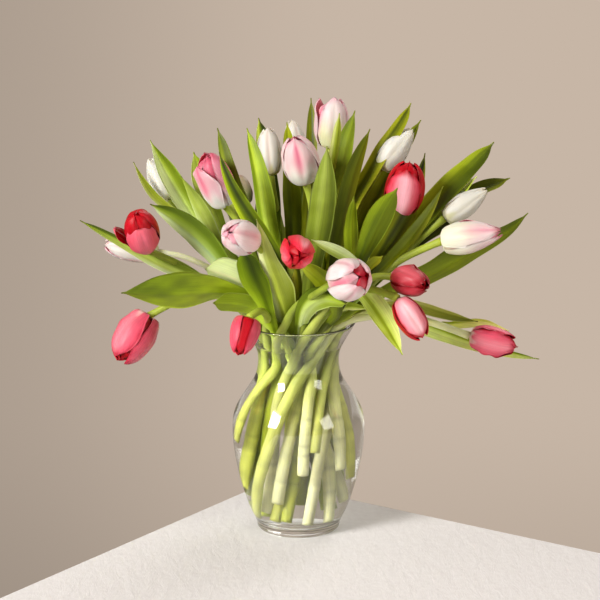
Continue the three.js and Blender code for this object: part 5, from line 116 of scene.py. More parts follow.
    [4,-1,"B9",[[79.5,127.2,258.0,0.0,-0.014,-0.022,-1.0],[71.5,118.7,258.3,8.0,-0.01,-0.01,-1.0],[63.3,110.5,258.3,16.0,0.006,0.02,-1.0],[54.7,102.7,257.9,19.7,0.026,0.065,-0.998],[46.0,95.3,256.9,22.9,0.045,0.127,-0.991],[37.1,88.5,255.2,26.1,0.065,0.219,-0.973],[28.2,82.6,252.8,27.3,0.1,0.351,-0.931],[19.4,78.1,249.4,25.6,0.15,0.486,-0.861],[10.9,74.1,245.0,23.9,0.118,0.552,-0.825],[3.1,67.9,240.3,22.2,0.021,0.526,-0.85],[-3.6,58.5,235.0,20.5,0.02,0.538,-0.842],[-8.7,49.3,228.1,17.6,0.119,0.671,-0.732],[-11.9,42.8,219.3,13.6,0.171,0.831,-0.528],[-13.0,38.2,209.2,9.5,-0.021,0.925,-0.378],[-12.9,34.4,198.7,5.5,-0.332,0.885,-0.327]]],
    [3,-1,"B10",[[-102.5,102.5,254.0,0.0,-0.011,0.011,-1.0],[-96.5,95.6,253.9,8.0,-0.025,0.023,-0.999],[-90.5,88.7,253.4,16.0,-0.06,0.057,-0.997],[-84.6,81.7,252.4,19.7,-0.108,0.101,-0.989],[-78.9,74.8,250.7,22.9,-0.162,0.151,-0.975],[-73.3,68.1,248.4,26.1,-0.221,0.203,-0.954],[-67.8,61.8,245.3,27.3,-0.286,0.259,-0.923],[-62.4,55.9,241.5,25.6,-0.356,0.319,-0.878],[-57.1,50.6,237.0,23.9,-0.427,0.389,-0.816],[-52.0,46.2,231.5,22.2,-0.485,0.475,-0.734],[-47.1,42.7,225.2,20.5,-0.49,0.571,-0.659],[-42.3,39.5,218.5,17.6,-0.416,0.662,-0.623],[-37.4,35.9,211.6,13.6,-0.334,0.71,-0.62],[-32.4,32.0,204.6,9.5,-0.378,0.673,-0.636],[-27.3,28.4,197.6,5.5,-0.52,0.542,-0.66]]],
]
# [tulip, base, tip, width, opening, colour]
FLOWERS = [
    [1,[-141.0,-14.0,209.3],[-166.3,-34.0,172.9],36.5,0.15,"red"],
    [2,[-137.8,-42.0,281.0],[-145.7,-80.0,320.6],33.9,0.62,"red"],
    [3,[-131.7,16.0,264.8],[-181.4,8.0,274.4],24.5,0.0,"pw"],
    [4,[-123.5,50.0,307.3],[-141.6,62.0,345.4],22.0,0.0,"white"],
    [5,[-67.6,-14.0,316.4],[-84.5,-26.0,366.9],31.6,0.12,"pink"],
    [6,[-42.2,-92.0,300.1],[-61.8,-131.0,317.7],30.3,0.3,"pale"],
    [7,[-45.2,-74.0,223.9],[-54.4,-92.0,195.1],26.1,0.35,"red"],
    [8,[-50.1,89.7,295.8],[-57.0,99.7,321.3],15.9,0.0,"bud"],
    [9,[-25.9,33.2,334.9],[-29.0,41.2,379.0],23.1,0.0,"white"],
    [10,[6.4,-24.0,340.5],[-4.0,-36.0,384.0],33.2,0.1,"pink"],
    [11,[0.3,96.7,328.8],[-6.5,108.7,374.4],20.5,0.0,"white"],
    [12,[29.5,38.0,360.6],[33.0,34.0,407.6],31.4,0.45,"pink2"],
    [13,[-2.6,-93.0,293.5],[1.0,-141.0,298.1],28.5,0.35,"red"],
    [14,[35.6,-104.0,266.4],[54.6,-140.0,279.9],36.0,0.38,"pw2"],
    [15,[76.3,26.9,343.3],[106.7,32.9,378.6],25.5,0.0,"white"],
    [16,[94.0,-10.8,308.1],[101.2,-22.8,357.9],35.6,0.12,"redpink"],
    [17,[135.4,-5.7,302.7],[175.3,2.3,327.5],22.9,0.0,"white"],
    [18,[131.0,-46.6,290.0],[184.4,-62.6,302.5],28.3,0.04,"pw"],
    [19,[87.5,-84.0,265.1],[113.0,-112.0,264.3],26.2,0.25,"dark"],
    [20,[89.0,-106.0,250.4],[111.5,-118.0,217.7],24.5,0.1,"redpink"],
    [21,[157.0,-60.2,204.1],[197.8,-66.2,195.8],25.5,0.2,"pinkred"],
]
VASE_OUT = [(36.0, 0), (37.6, .35), (38.8, 1.3), (39.4, 3.0), (40.1, 7), (43.4, 14), (47.0, 22), (50.2, 31), (53.2, 41),
            (56.0, 51.5), (58.4, 62), (60.4, 73), (61.9, 85), (62.5, 97), (62.2, 105), (61.2, 112), (59.6, 117),
            (57.2, 122), (52.6, 130), (47.4, 138), (43.6, 144), (40.6, 150), (38.8, 157), (38.0, 164), (38.1, 169),
            (38.9, 174), (41.2, 180), (44.4, 186), (47.6, 191.3), (50.7, 196.5), (52.6, 200.2), (53.3, 201.9)]
WATER_Z = 181.0

# ------------------------------------------------------------------ camera
PITCH = math.radians(14.5)
DIST, TARGET_X, TARGET_Z = 2.250, 0.0014025, 0.2225
cam_data = bpy.data.cameras.new("Camera")
cam_data.sensor_width = 36.0
cam_data.lens = 36.0 * (2250.0 / 0.935) / 600.0
cam_data.clip_start, cam_data.clip_end = 0.05, 60.0
cam = bpy.data.objects.new("Camera", cam_data)
cam.location = (TARGET_X, -DIST * math.cos(PITCH), TARGET_Z + DIST * math.sin(PITCH))
cam.rotation_euler = (math.pi / 2 - PITCH, 0, 0)
bpy.context.scene.collection.objects.link(cam)
bpy.context.scene.camera = cam
TO_CAM = np.array([0, -math.cos(PITCH), math.sin(PITCH)])


# ------------------------------------------------------------------ helpers
def lin(rgb):
    c = np.asarray(rgb, float) / 255.0
    return np.where(c <= 0.04045, c / 12.92, ((c + 0.055) / 1.055) ** 2.4)


def smooth(a, b, x):
    t = np.clip((np.asarray(x, float) - a) / (b - a), 0, 1)
    return t * t * (3 - 2 * t)


def mix(a, b, f):
    f = np.asarray(f)[..., None]
    return np.asarray(a) * (1 - f) + np.asarray(b) * f


def unit(v):
    v = np.asarray(v, float)
    return v / (np.linalg.norm(v, axis=-1, keepdims=True) + 1e-12)


def spline(points, n):
    """n evenly spaced samples of a smooth curve through the rows of points (first three columns set the spacing)."""
    P = np.asarray(points, float)
    d = np.linalg.norm(np.diff(P[:, :3], axis=0), axis=1) ** 0.5
    t = np.concatenate([[0], np.cumsum(np.maximum(d, 1e-6))])
    m = len(P)
    h = np.diff(t)
    A = np.zeros((m, m))
    rhs = np.zeros_like(P)
    A[0, 0] = A[-1, -1] = 1
    for i in range(1, m - 1):
        A[i, i - 1], A[i, i], A[i, i + 1] = h[i - 1], 2 * (h[i - 1] + h[i]), h[i]
        rhs[i] = 6 * ((P[i + 1] - P[i]) / h[i] - (P[i] - P[i - 1]) / h[i - 1])
    M = np.linalg.solve(A, rhs)
    tt = np.linspace(0, t[-1], 420)
    k = np.clip(np.searchsorted(t, tt, side="right") - 1, 0, m - 2)
    a, b = (t[k + 1] - tt)[:, None], (tt - t[k])[:, None]
    hh = h[k][:, None]
    Q = (M[k] * a ** 3 + M[k + 1] * b ** 3) / (6 * hh) + (P[k] / hh - M[k] * hh / 6) * a + (P[k + 1] / hh - M[k + 1] * hh / 6) * b
    s = np.concatenate([[0], np.cumsum(np.linalg.norm(np.diff(Q[:, :3], axis=0), axis=1))])
    u = np.linspace(0, s[-1], n)
    return np.stack([np.interp(u, s, Q[:, c]) for c in range(P.shape[1])], -1), s[-1]


class Soup:
    """Vertices, faces, grain coordinates and colours of one piece."""

    def __init__(self):
        self.v, self.f, self.uv, self.c, self.n = [], [], [], [], 0

    def add(self, v, f, uv, c):
        v = np.asarray(v, float)
        self.v.append(v)
        self.f += [tuple(int(i) + self.n for i in q) for q in f]
        self.uv.append(np.asarray(uv, float))
        self.c.append(np.asarray(c, float))
        self.n += len(v)

    def make(self, name, material, nodes):
        v = np.concatenate(self.v) * MM
        me = bpy.data.meshes.new(name)
        me.from_pydata(v.tolist(), [], self.f)
        uv = np.concatenate(self.uv)
        col = np.clip(np.concatenate(self.c), 0, 1)
        idx = np.zeros(len(me.loops), int)
        me.loops.foreach_get("vertex_index", idx)
        layer = me.uv_layers.new(name="Grain")
        layer.data.foreach_set("uv", uv[idx].astype(np.float32).ravel())
        ca = me.color_attributes.new(name="Col", type="FLOAT_COLOR", domain="POINT")
        ca.data.foreach_set("color", np.concatenate([col, np.ones((len(col), 1))], 1).astype(np.float32).ravel())
        me.polygons.foreach_set("use_smooth", np.ones(len(me.polygons), bool))
        me.materials.append(material)
        me.update()
        o = bpy.data.objects.new(name, me)
        bpy.context.scene.collection.objects.link(o)
        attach(o, "root")
        if nodes:
            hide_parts(*nodes)
        return o


def grid_faces(nu, nv, off=0, flip=False, wrap=False):
    f = []
    for i in range(nu - 1):
        for j in range(nv if wrap else nv - 1):
            a, b = off + i * nv + j, off + i * nv + (j + 1) % nv
            c, d = off + (i + 1) * nv + (j + 1) % nv, off + (i + 1) * nv + j
            f.append((a, d, c, b) if flip else (a, b, c, d))
    return f


def sheet(soup, P, thick, uv, col_out, col_in, out_dir):
    """A thin closed blade round the grid P[nt, ns, 3]; out_dir says which way is its outer face."""
    nt, ns, _ = P.shape
    dt = np.gradient(P, axis=0)
    ds = np.gradient(P, axis=1)
    N = unit(np.cross(dt, ds))
    if np.mean(np.sum(N * out_dir, -1)) < 0:
        N = -N
        flip = True
    else:
        flip = False
    th = thick[..., None] / 2
    outer = (P + N * th).reshape(-1, 3)
    inner = (P - N * th).reshape(-1, 3)
    n = nt * ns
    f = grid_faces(nt, ns, 0, not flip) + grid_faces(nt, ns, n, flip)
    ring = [j for j in range(ns)] + [i * ns + ns - 1 for i in range(1, nt)]
    ring += [(nt - 1) * ns + j for j in range(ns - 2, -1, -1)] + [i * ns for i in range(nt - 2, 0, -1)]
    m = len(ring)
    for k in range(m):
        a, b = ring[k], ring[(k + 1) % m]
        f.append((a, b, b + n, a + n) if flip else (b, a, a + n, b + n))
    soup.add(np.concatenate([outer, inner]), f, np.concatenate([uv.reshape(-1, 2)] * 2),
             np.concatenate([col_out.reshape(-1, 3), col_in.reshape(-1, 3)]))


def frames_along(C):
    T = unit(np.gradient(C, axis=0))
    n = np.cross(T[0], [0, 0, 1.0])
    if np.linalg.norm(n) < 1e-3:
        n = np.array([1.0, 0, 0])
    n = unit(n)
    Ns = []
    for t in T:
        n = unit(n - t * np.dot(n, t))
        Ns.append(n.copy())
    Ns = np.array(Ns)
    return T, Ns, np.cross(T, Ns)


def tube(soup, C, r, sides, colour, cap_colour=None, ovality=0.0, uv_scale=1.0, painted_side_light=0.0):
    T, N, B = frames_along(C)
    k = len(C)
    a = np.linspace(0, 2 * math.pi, sides, endpoint=False)
    ca, sa = np.cos(a), np.sin(a)
    rr = r[:, None] * (1 + ovality * np.cos(2 * a + 0.7))[None, :]
    V = C[:, None, :] + rr[..., None] * (ca[None, :, None] * N[:, None, :] + sa[None, :, None] * B[:, None, :])
    s = np.concatenate([[0], np.cumsum(np.linalg.norm(np.diff(C, axis=0), axis=1))])
    uv = np.stack(np.broadcast_arrays((a * 4.0)[None, :], s[:, None]), -1) * uv_scale
    cc = np.broadcast_to(colour[:, None, :], V.shape).copy()
    if painted_side_light > 0:
        # painted light and shade: the side turned to the key light is painted paler, the far side greener and deeper
        out = ca[None, :, None] * N[:, None, :] + sa[None, :, None] * B[:, None, :]
        key_facing = out @ unit([-0.62, -0.72, 0.3])
        cc = cc * np.stack([1 + painted_side_light * key_facing, 1 + 0.8 * painted_side_light * key_facing, 1 + 1.3 * painted_side_light * key_facing], -1)
    f = grid_faces(k, sides, 0, False, True)
    v = V.reshape(-1, 3)
    c = cc.reshape(-1, 3)
    # slightly hollowed cut face at the start, plain cap at the end
    cap = colour[0] if cap_colour is None else cap_colour
    i0 = len(v)
    ring_in = C[0] + 0.74 * (V[0] - C[0]) + T[0] * 0.1
    v = np.concatenate([v, ring_in, [C[0] + T[0] * 0.9], [C[-1]]])
    c = np.concatenate([c, np.broadcast_to(cap, (sides, 3)), [cap * 0.75], [colour[-1]]])
    uvf = np.concatenate([uv.reshape(-1, 2), uv[0], [uv[0, 0]], [uv[-1, 0]]])
    for j in range(sides):
        q = (j + 1) % sides
        f.append((j, i0 + j, i0 + q, q))
        f.append((i0 + j, i0 + sides, i0 + q))
        f.append(((k - 1) * sides + j, (k - 1) * sides + q, i0 + sides + 1))
    f = [tuple(reversed(x)) for x in f] if False else f
    soup.add(v, f, uvf, c)


# ------------------------------------------------------------------ materials
def new_mat(name):
    m = bpy.data.materials.new(name)
    m.use_nodes = True
    nt = m.node_tree
    for n in list(nt.nodes):
        nt.nodes.remove(n)
    out = nt.nodes.new("ShaderNodeOutputMaterial")
    bsdf = nt.nodes.new("ShaderNodeBsdfPrincipled")
    nt.links.new(bsdf.outputs[0], out.inputs[0])
    return m, nt, bsdf, out


def ramp(nt, stops):
    r = nt.nodes.new("ShaderNodeValToRGB")
    e = r.color_ramp.elements
    while len(e) < len(stops):
        e.new(0.5)
    for el, (p, c) in zip(e, stops):
        el.position = p
        el.color = (c, c, c, 1) if not isinstance(c, (tuple, list)) else tuple(c) + (1,)
    return r


def grown(name, rough, streak, streak_mm, mottle, sss, sss_radius, bump, sheen=0.0, spec=0.5, coat=0.0, streak_len=28.0):
    """Material of anything that grows: painted colour, long fibres along the grain, soft mottling."""
    m, nt, b, out = new_mat(name)
    L = nt.links
    col = nt.nodes.new("ShaderNodeAttribute")
    col.attribute_name = "Col"
    uv = nt.nodes.new("ShaderNodeUVMap")
    uv.uv_map = "Grain"
    mp = nt.nodes.new("ShaderNodeMapping")
    mp.inputs["Scale"].default_value = (1.0 / streak_mm, 1.0 / streak_len, 1)
    L.new(uv.outputs[0], mp.inputs[0])
    n1 = nt.nodes.new("ShaderNodeTexNoise")
    n1.inputs["Scale"].default_value = 1.0
    n1.inputs["Detail"].default_value = 3.0
    n1.inputs["Roughness"].default_value = 0.6
    L.new(mp.outputs[0], n1.inputs["Vector"])
    r1 = ramp(nt, [(0.28, 1.0 - streak), (0.5, 1.0), (0.74, 1.0 + streak * 0.55)])
    L.new(n1.outputs[0], r1.inputs[0])
    mul = nt.nodes.new("ShaderNodeMix")
    mul.data_type = "RGBA"
    mul.blend_type = "MULTIPLY"
    mul.clamp_result = False
    mul.inputs[0].default_value = 1.0
    L.new(col.outputs["Color"], mul.inputs[6])
    L.new(r1.outputs[0], mul.inputs[7])
    geo = nt.nodes.new("ShaderNodeTexCoord")
    n2 = nt.nodes.new("ShaderNodeTexNoise")
    n2.inputs["Scale"].default_value = 55.0
    n2.inputs["Detail"].default_value = 2.0
    L.new(geo.outputs["Object"], n2.inputs["Vector"])
    r2 = ramp(nt, [(0.3, 1.0 - mottle), (0.7, 1.0 + mottle * 0.6)])
    L.new(n2.outputs[0], r2.inputs[0])
    mul2 = nt.nodes.new("ShaderNodeMix")
    mul2.data_type = "RGBA"
    mul2.blend_type = "MULTIPLY"
    mul2.inputs[0].default_value = 1.0
    L.new(mul.outputs[2], mul2.inputs[6])
    L.new(r2.outputs[0], mul2.inputs[7])
    L.new(mul2.outputs[2], b.inputs["Base Color"])
    rr = ramp(nt, [(0.3, rough - 0.07), (0.7, rough + 0.08)])
    L.new(n2.outputs[0], rr.inputs[0])
    L.new(rr.outputs[0], b.inputs["Roughness"])
    bp = nt.nodes.new("ShaderNodeBump")
    bp.inputs["Strength"].default_value = bump
    bp.inputs["Distance"].default_value = 0.0004
    L.new(n1.outputs[0], bp.inputs["Height"])
    L.new(bp.outputs[0], b.inputs["Normal"])
    b.inputs["Subsurface Weight"].default_value = sss
    b.inputs["Subsurface Radius"].default_value = sss_radius
    b.inputs["Subsurface Scale"].default_value = 1.0
    b.inputs["Sheen Weight"].default_value = sheen
    b.inputs["Specular IOR Level"].default_value = spec
    return m


M_LEAF = grown("leaf_green", 0.44, 0.24, 0.62, 0.14, 0.08, (0.0016, 0.0018, 0.0003), 0.35, sheen=0.0, spec=0.24, streak_len=40.0)
M_LEAF_MATT = grown("leaf_green_matt", 0.62, 0.16, 0.62, 0.10, 0.12, (0.0016, 0.0018, 0.0003), 0.35, sheen=0.0, spec=0.16, streak_len=40.0)
M_STEM = grown("stem_green", 0.48, 0.16, 0.9, 0.12, 0.40, (0.0034, 0.0036, 0.0016), 0.3, spec=0.26)
M_PETAL = {
    "petals_red": grown("petal_red", 0.42, 0.16, 0.7, 0.05, 0.22, (0.0014, 0.0003, 0.0003), 0.35, spec=0.24),
    "petals_pink": grown("petal_pink", 0.45, 0.07, 0.75, 0.03, 0.50, (0.0034, 0.0024, 0.0022), 0.3, spec=0.30),
    "petals_white": grown("petal_white", 0.45, 0.04, 0.8, 0.02, 0.60, (0.0042, 0.0036, 0.0028), 0.25, spec=0.30),
    "petals_bud": grown("petal_bud", 0.45, 0.12, 0.8, 0.08, 0.15, (0.002, 0.0014, 0.0008), 0.3, spec=0.4),
}
M_ANTHER = grown("anther_dark", 0.7, 0.2, 0.3, 0.15, 0.0, (0.001, 0.001, 0.001), 0.5)


def clear(name, ior, rough, tint, shadow_tint, far_tint):
    m, nt, b, out = new_mat(name)
    b.inputs["Base Color"].default_value = tuple(tint) + (1,)
    b.inputs["Roughness"].default_value = rough
    b.inputs["IOR"].default_value = ior
    b.inputs["Transmission Weight"].default_value = 1.0
    lp = nt.nodes.new("ShaderNodeLightPath")
    tr = nt.nodes.new("ShaderNodeBsdfTransparent")
    # painted shadow: shadow rays through the low +X side of the vase (x past 25 mm, below 70 mm and fading out by 130
    # mm) take the darker far tint, set by position on the vase, in place of the light the water bends away from the
    # floor behind it
    where = nt.nodes.new("ShaderNodeNewGeometry")
    xyz = nt.nodes.new("ShaderNodeSeparateXYZ")
    nt.links.new(where.outputs["Position"], xyz.inputs[0])
    side = nt.nodes.new("ShaderNodeMapRange")
    low = nt.nodes.new("ShaderNodeMapRange")
    for node, sock, a, b_ in ((side, 0, 0.0, 0.025), (low, 2, 0.13, 0.07)):
        nt.links.new(xyz.outputs[sock], node.inputs[0])
        node.inputs[1].default_value = min(a, b_)
        node.inputs[2].default_value = max(a, b_)
        node.inputs[3].default_value = 0.0 if a < b_ else 1.0
        node.inputs[4].default_value = 1.0 if a < b_ else 0.0
    both = nt.nodes.new("ShaderNodeMath")
    both.operation = "MULTIPLY"
    nt.links.new(side.outputs[0], both.inputs[0])
    nt.links.new(low.outputs[0], both.inputs[1])
    blend = nt.nodes.new("ShaderNodeMix")
    blend.data_type = "RGBA"
    nt.links.new(both.outputs[0], blend.inputs[0])
    blend.inputs[6].default_value = tuple(shadow_tint) + (1,)
    blend.inputs[7].default_value = tuple(far_tint) + (1,)
    nt.links.new(blend.outputs[2], tr.inputs[0])
    mx = nt.nodes.new("ShaderNodeMixShader")
    nt.links.new(lp.outputs["Is Shadow Ray"], mx.inputs[0])
    nt.links.new(b.outputs[0], mx.inputs[1])
    nt.links.new(tr.outputs[0], mx.inputs[2])
    nt.links.new(mx.outputs[0], out.inputs[0])
    return m


M_GLASS = clear("clear_glass", 1.5, 0.0, (0.99, 1.0, 0.995), (0.86, 0.865, 0.855), (0.36, 0.36, 0.34))
M_WATER = clear("water", 1.333, 0.0, (1.0, 1.0, 0.99), (0.76, 0.775, 0.75), (0.26, 0.26, 0.24))

# ------------------------------------------------------------------ vase and water
SEG = 128


def lathe(name, prof, material, nodes, smooth_angle=None):
    """Closed revolved body; prof runs from the axis round to the axis, or closes on itself."""
    a = np.linspace(0, 2 * math.pi, SEG, endpoint=False)
    verts, faces, rows = [], [], []
    for r, z in prof:
        if r < 1e-6:
            rows.append([len(verts)])
            verts.append((0, 0, z * MM))
        else:
            rows.append(list(range(len(verts), len(verts) + SEG)))
            verts += [(r * math.cos(t) * MM, r * math.sin(t) * MM, z * MM) for t in a]
    for p, q in zip(rows[:-1], rows[1:]):
        for j in range(SEG):
            k = (j + 1) % SEG
            if len(p) == 1:
                faces.append((p[0], q[j], q[k]))
            elif len(q) == 1:
                faces.append((p[j], q[0], p[k]))
            else:
                faces.append((p[j], q[j], q[k], p[k]))
    faces = [tuple(reversed(f)) for f in faces]
    me = bpy.data.meshes.new(name)
    me.from_pydata(verts, [], faces)
    me.polygons.foreach_set("use_smooth", np.ones(len(me.polygons), bool))
    me.materials.append(material)
    me.update()
    o = bpy.data.objects.new(name, me)
    bpy.context.scene.collection.objects.link(o)
    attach(o, "root")
    if nodes:
        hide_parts(*nodes)
    return o


def wall(z):
    return 2.5 if z > 60 else 2.5 + 0.9 * (1 - z / 60.0)


out_dense, _ = spline([(r, 0, z) for r, z in VASE_OUT], 110)
out_prof = [(p[0], p[2]) for p in out_dense]
inner_prof = []
for r, z in out_prof:
    if z >= 13.5 and z < 201.0:
        inner_prof.append((r - wall(z), z))
lip = [(52.05 + 1.42 * math.cos(a), 201.58 + 1.42 * math.sin(a)) for a in np.linspace(0.15, math.pi - 0.15, 11)]
floor_prof = [(37.2, 11.2), (34.5, 9.4), (30.0, 8.4), (22.0, 8.0), (10.0, 7.9), (0, 7.9)]
under = [(0, 0.9), (20, 0.9), (30.5, 0.7), (33.5, 0.15), (34.6, 0.0)]
vase_prof = under + out_prof + lip + inner_prof[::-1] + floor_prof
lathe("vase_glass", vase_prof, M_GLASS, ["vase"])

wet = [(r + 0.12, z) for r, z in inner_prof if z < WATER_Z - 1.0]
rim_r = np.interp(WATER_Z, [z for r, z in inner_prof], [r for r, z in inner_prof])
water_prof = [(0, 7.8), (10.0, 7.8), (22.0, 7.9), (30.0, 8.3), (34.6, 9.3), (37.35, 11.15)] + wet
water_prof += [(rim_r + 0.12, WATER_Z + 0.9), (rim_r - 0.9, WATER_Z + 0.25), (rim_r - 2.4, WATER_Z), (14, WATER_Z), (0, WATER_Z)]
lathe("water", water_prof, M_WATER, [])

# ------------------------------------------------------------------ stems
rng = np.random.default_rng(11)
stem_curves = {}
STEM_FOOT_R = {7: 5.2, 14: 5.3, 21: 5.3, 16: 5.0, 19: 4.8, 18: 4.8, 8: 4.9, 11: 5.0, 3: 4.6, 17: 5.1, 4: 4.5}
STEM_TOP_R = {3: 2.6, 2: 3.0, 5: 3.0}
# colour of each stem's lower part; the stems at the back of the bunch (1, 2, 5, 6, 9, 12, 13) are given darker greens:
# painted shade
STEM_LOW_AND_SHADE = {14: (196, 200, 100), 7: (188, 193, 88), 21: (196, 199, 112), 8: (200, 199, 138), 20: (200, 199, 134), 16: (192, 194, 112),
            17: (206, 207, 124), 1: (156, 166, 44), 2: (150, 160, 40), 13: (160, 170, 50), 5: (154, 164, 46), 12: (160, 170, 52),
            6: (144, 158, 44), 9: (148, 154, 38), 15: (172, 178, 70), 10: (188, 191, 92), 19: (204, 204, 128), 18: (196, 199, 108), 3: (206, 206, 134), 11: (200, 202, 116), 4: (198, 200, 112)}
for i, pts in enumerate(STEMS):
    k = i + 1
    C, length = spline(pts, 90)
    stem_curves[k] = C
    t = np.linspace(0, 1, len(C))
    z = C[:, 2]
    r = np.interp(z, [0, 150, 175, 230], [STEM_FOOT_R.get(k, 4.7), STEM_FOOT_R.get(k, 4.7) - 0.05, 4.15, 3.9])
    r = r + (STEM_TOP_R.get(k, 3.35) - r) * smooth(0.55, 0.92, t)
    r = r * (1 + 0.02 * np.sin(t * 23 + k) + 0.015 * np.sin(t * 51 + 2 * k))
    nodes_at = rng.uniform(0.06, 0.5, 3)
    for q in nodes_at:
        r = r * (1 + 0.06 * np.exp(-((t - q) / 0.007) ** 2))
    r[-4:] = [r[-4] * 1.0, r[-4] * 1.04, r[-4] * 1.1, r[-4] * 1.12]
    low = 0.92 * lin(STEM_LOW_AND_SHADE.get(k, (196, 199, 100)))
    midc = lin((172, 184, 90))
    top = lin((164, 180, 66))
    pale = lin((255, 253, 212))
    f = smooth(100, 200, z)
    c = mix(mix(np.broadcast_to(low, (len(C), 3)), np.broadcast_to(midc, (len(C), 3)), f), np.broadcast_to(top, (len(C), 3)), smooth(0.6, 0.95, t))
    v = rng.uniform(-1, 1)
    c = c * (1 + 0.07 * v)
    c = c * np.array([0.97, 0.97, 0.86])
    # stems 3 and 21 turn pale towards the flower, partly their own colour and partly painted light; stem 3 is taken
    # fully pale, with no painted key-side shading, so it reads bright where it stands in shade
    if k in (3, 21):
        c = mix(c, np.broadcast_to(pale, c.shape), (1.0 if k == 3 else 0.5) * smooth(0.5, 0.7, t))
    if k == 14:
        c = mix(c, np.broadcast_to(lin((128, 146, 44)), c.shape), 0.8 * smooth(190, 225, z))
    if k == 15:
        c = mix(c, np.broadcast_to(lin((150, 158, 40)), c.shape), 0.8 * smooth(0.55, 0.7, t))
    if k in (8, 16, 20, 3, 11, 17, 19):
        c = mix(c, np.broadcast_to(lin((228, 226, 186)), c.shape), 0.60 * (1 - smooth(0.08, 0.34, t)))
    for q in nodes_at:
        c = c * (1 - 0.22 * np.exp(-((t - q - 0.012) / 0.006) ** 2) + 0.10 * np.exp(-((t - q + 0.006) / 0.008) ** 2))[:, None]
    c = c * (1 + 0.05 * np.sin(t * 37 + 3 * k) + 0.04 * np.sin(t * 83 + k))[:, None]
    s = Soup()
    # every stem but stem 3 gets that painted key-side light and shade
    tube(s, C, r, 18, c, cap_colour=lin((226, 226, 176)), ovality=0.03, painted_side_light=0.0 if k == 3 else 0.15)
    s.make("stem_%02d" % k, M_STEM, ["plant_%02d" % k])


# ------------------------------------------------------------------ leaves
LEAF_LIGHT_RAMP = lin(np.array([(20, 26, 0), (70, 84, 4), (122, 138, 16), (172, 186, 54), (216, 226, 132), (244, 248, 196), (255, 255, 226)]))


def leaf_tone(x):
    """Leaf colour from a deep green painted as in shade (0) to a pale green painted as in full light (1), up to near
    white at 1.5.
    """
    x = np.clip(x, 0, 1.5) * 4
    return np.stack([np.interp(x, np.arange(7), LEAF_LIGHT_RAMP[:, c]) for c in range(3)], -1)


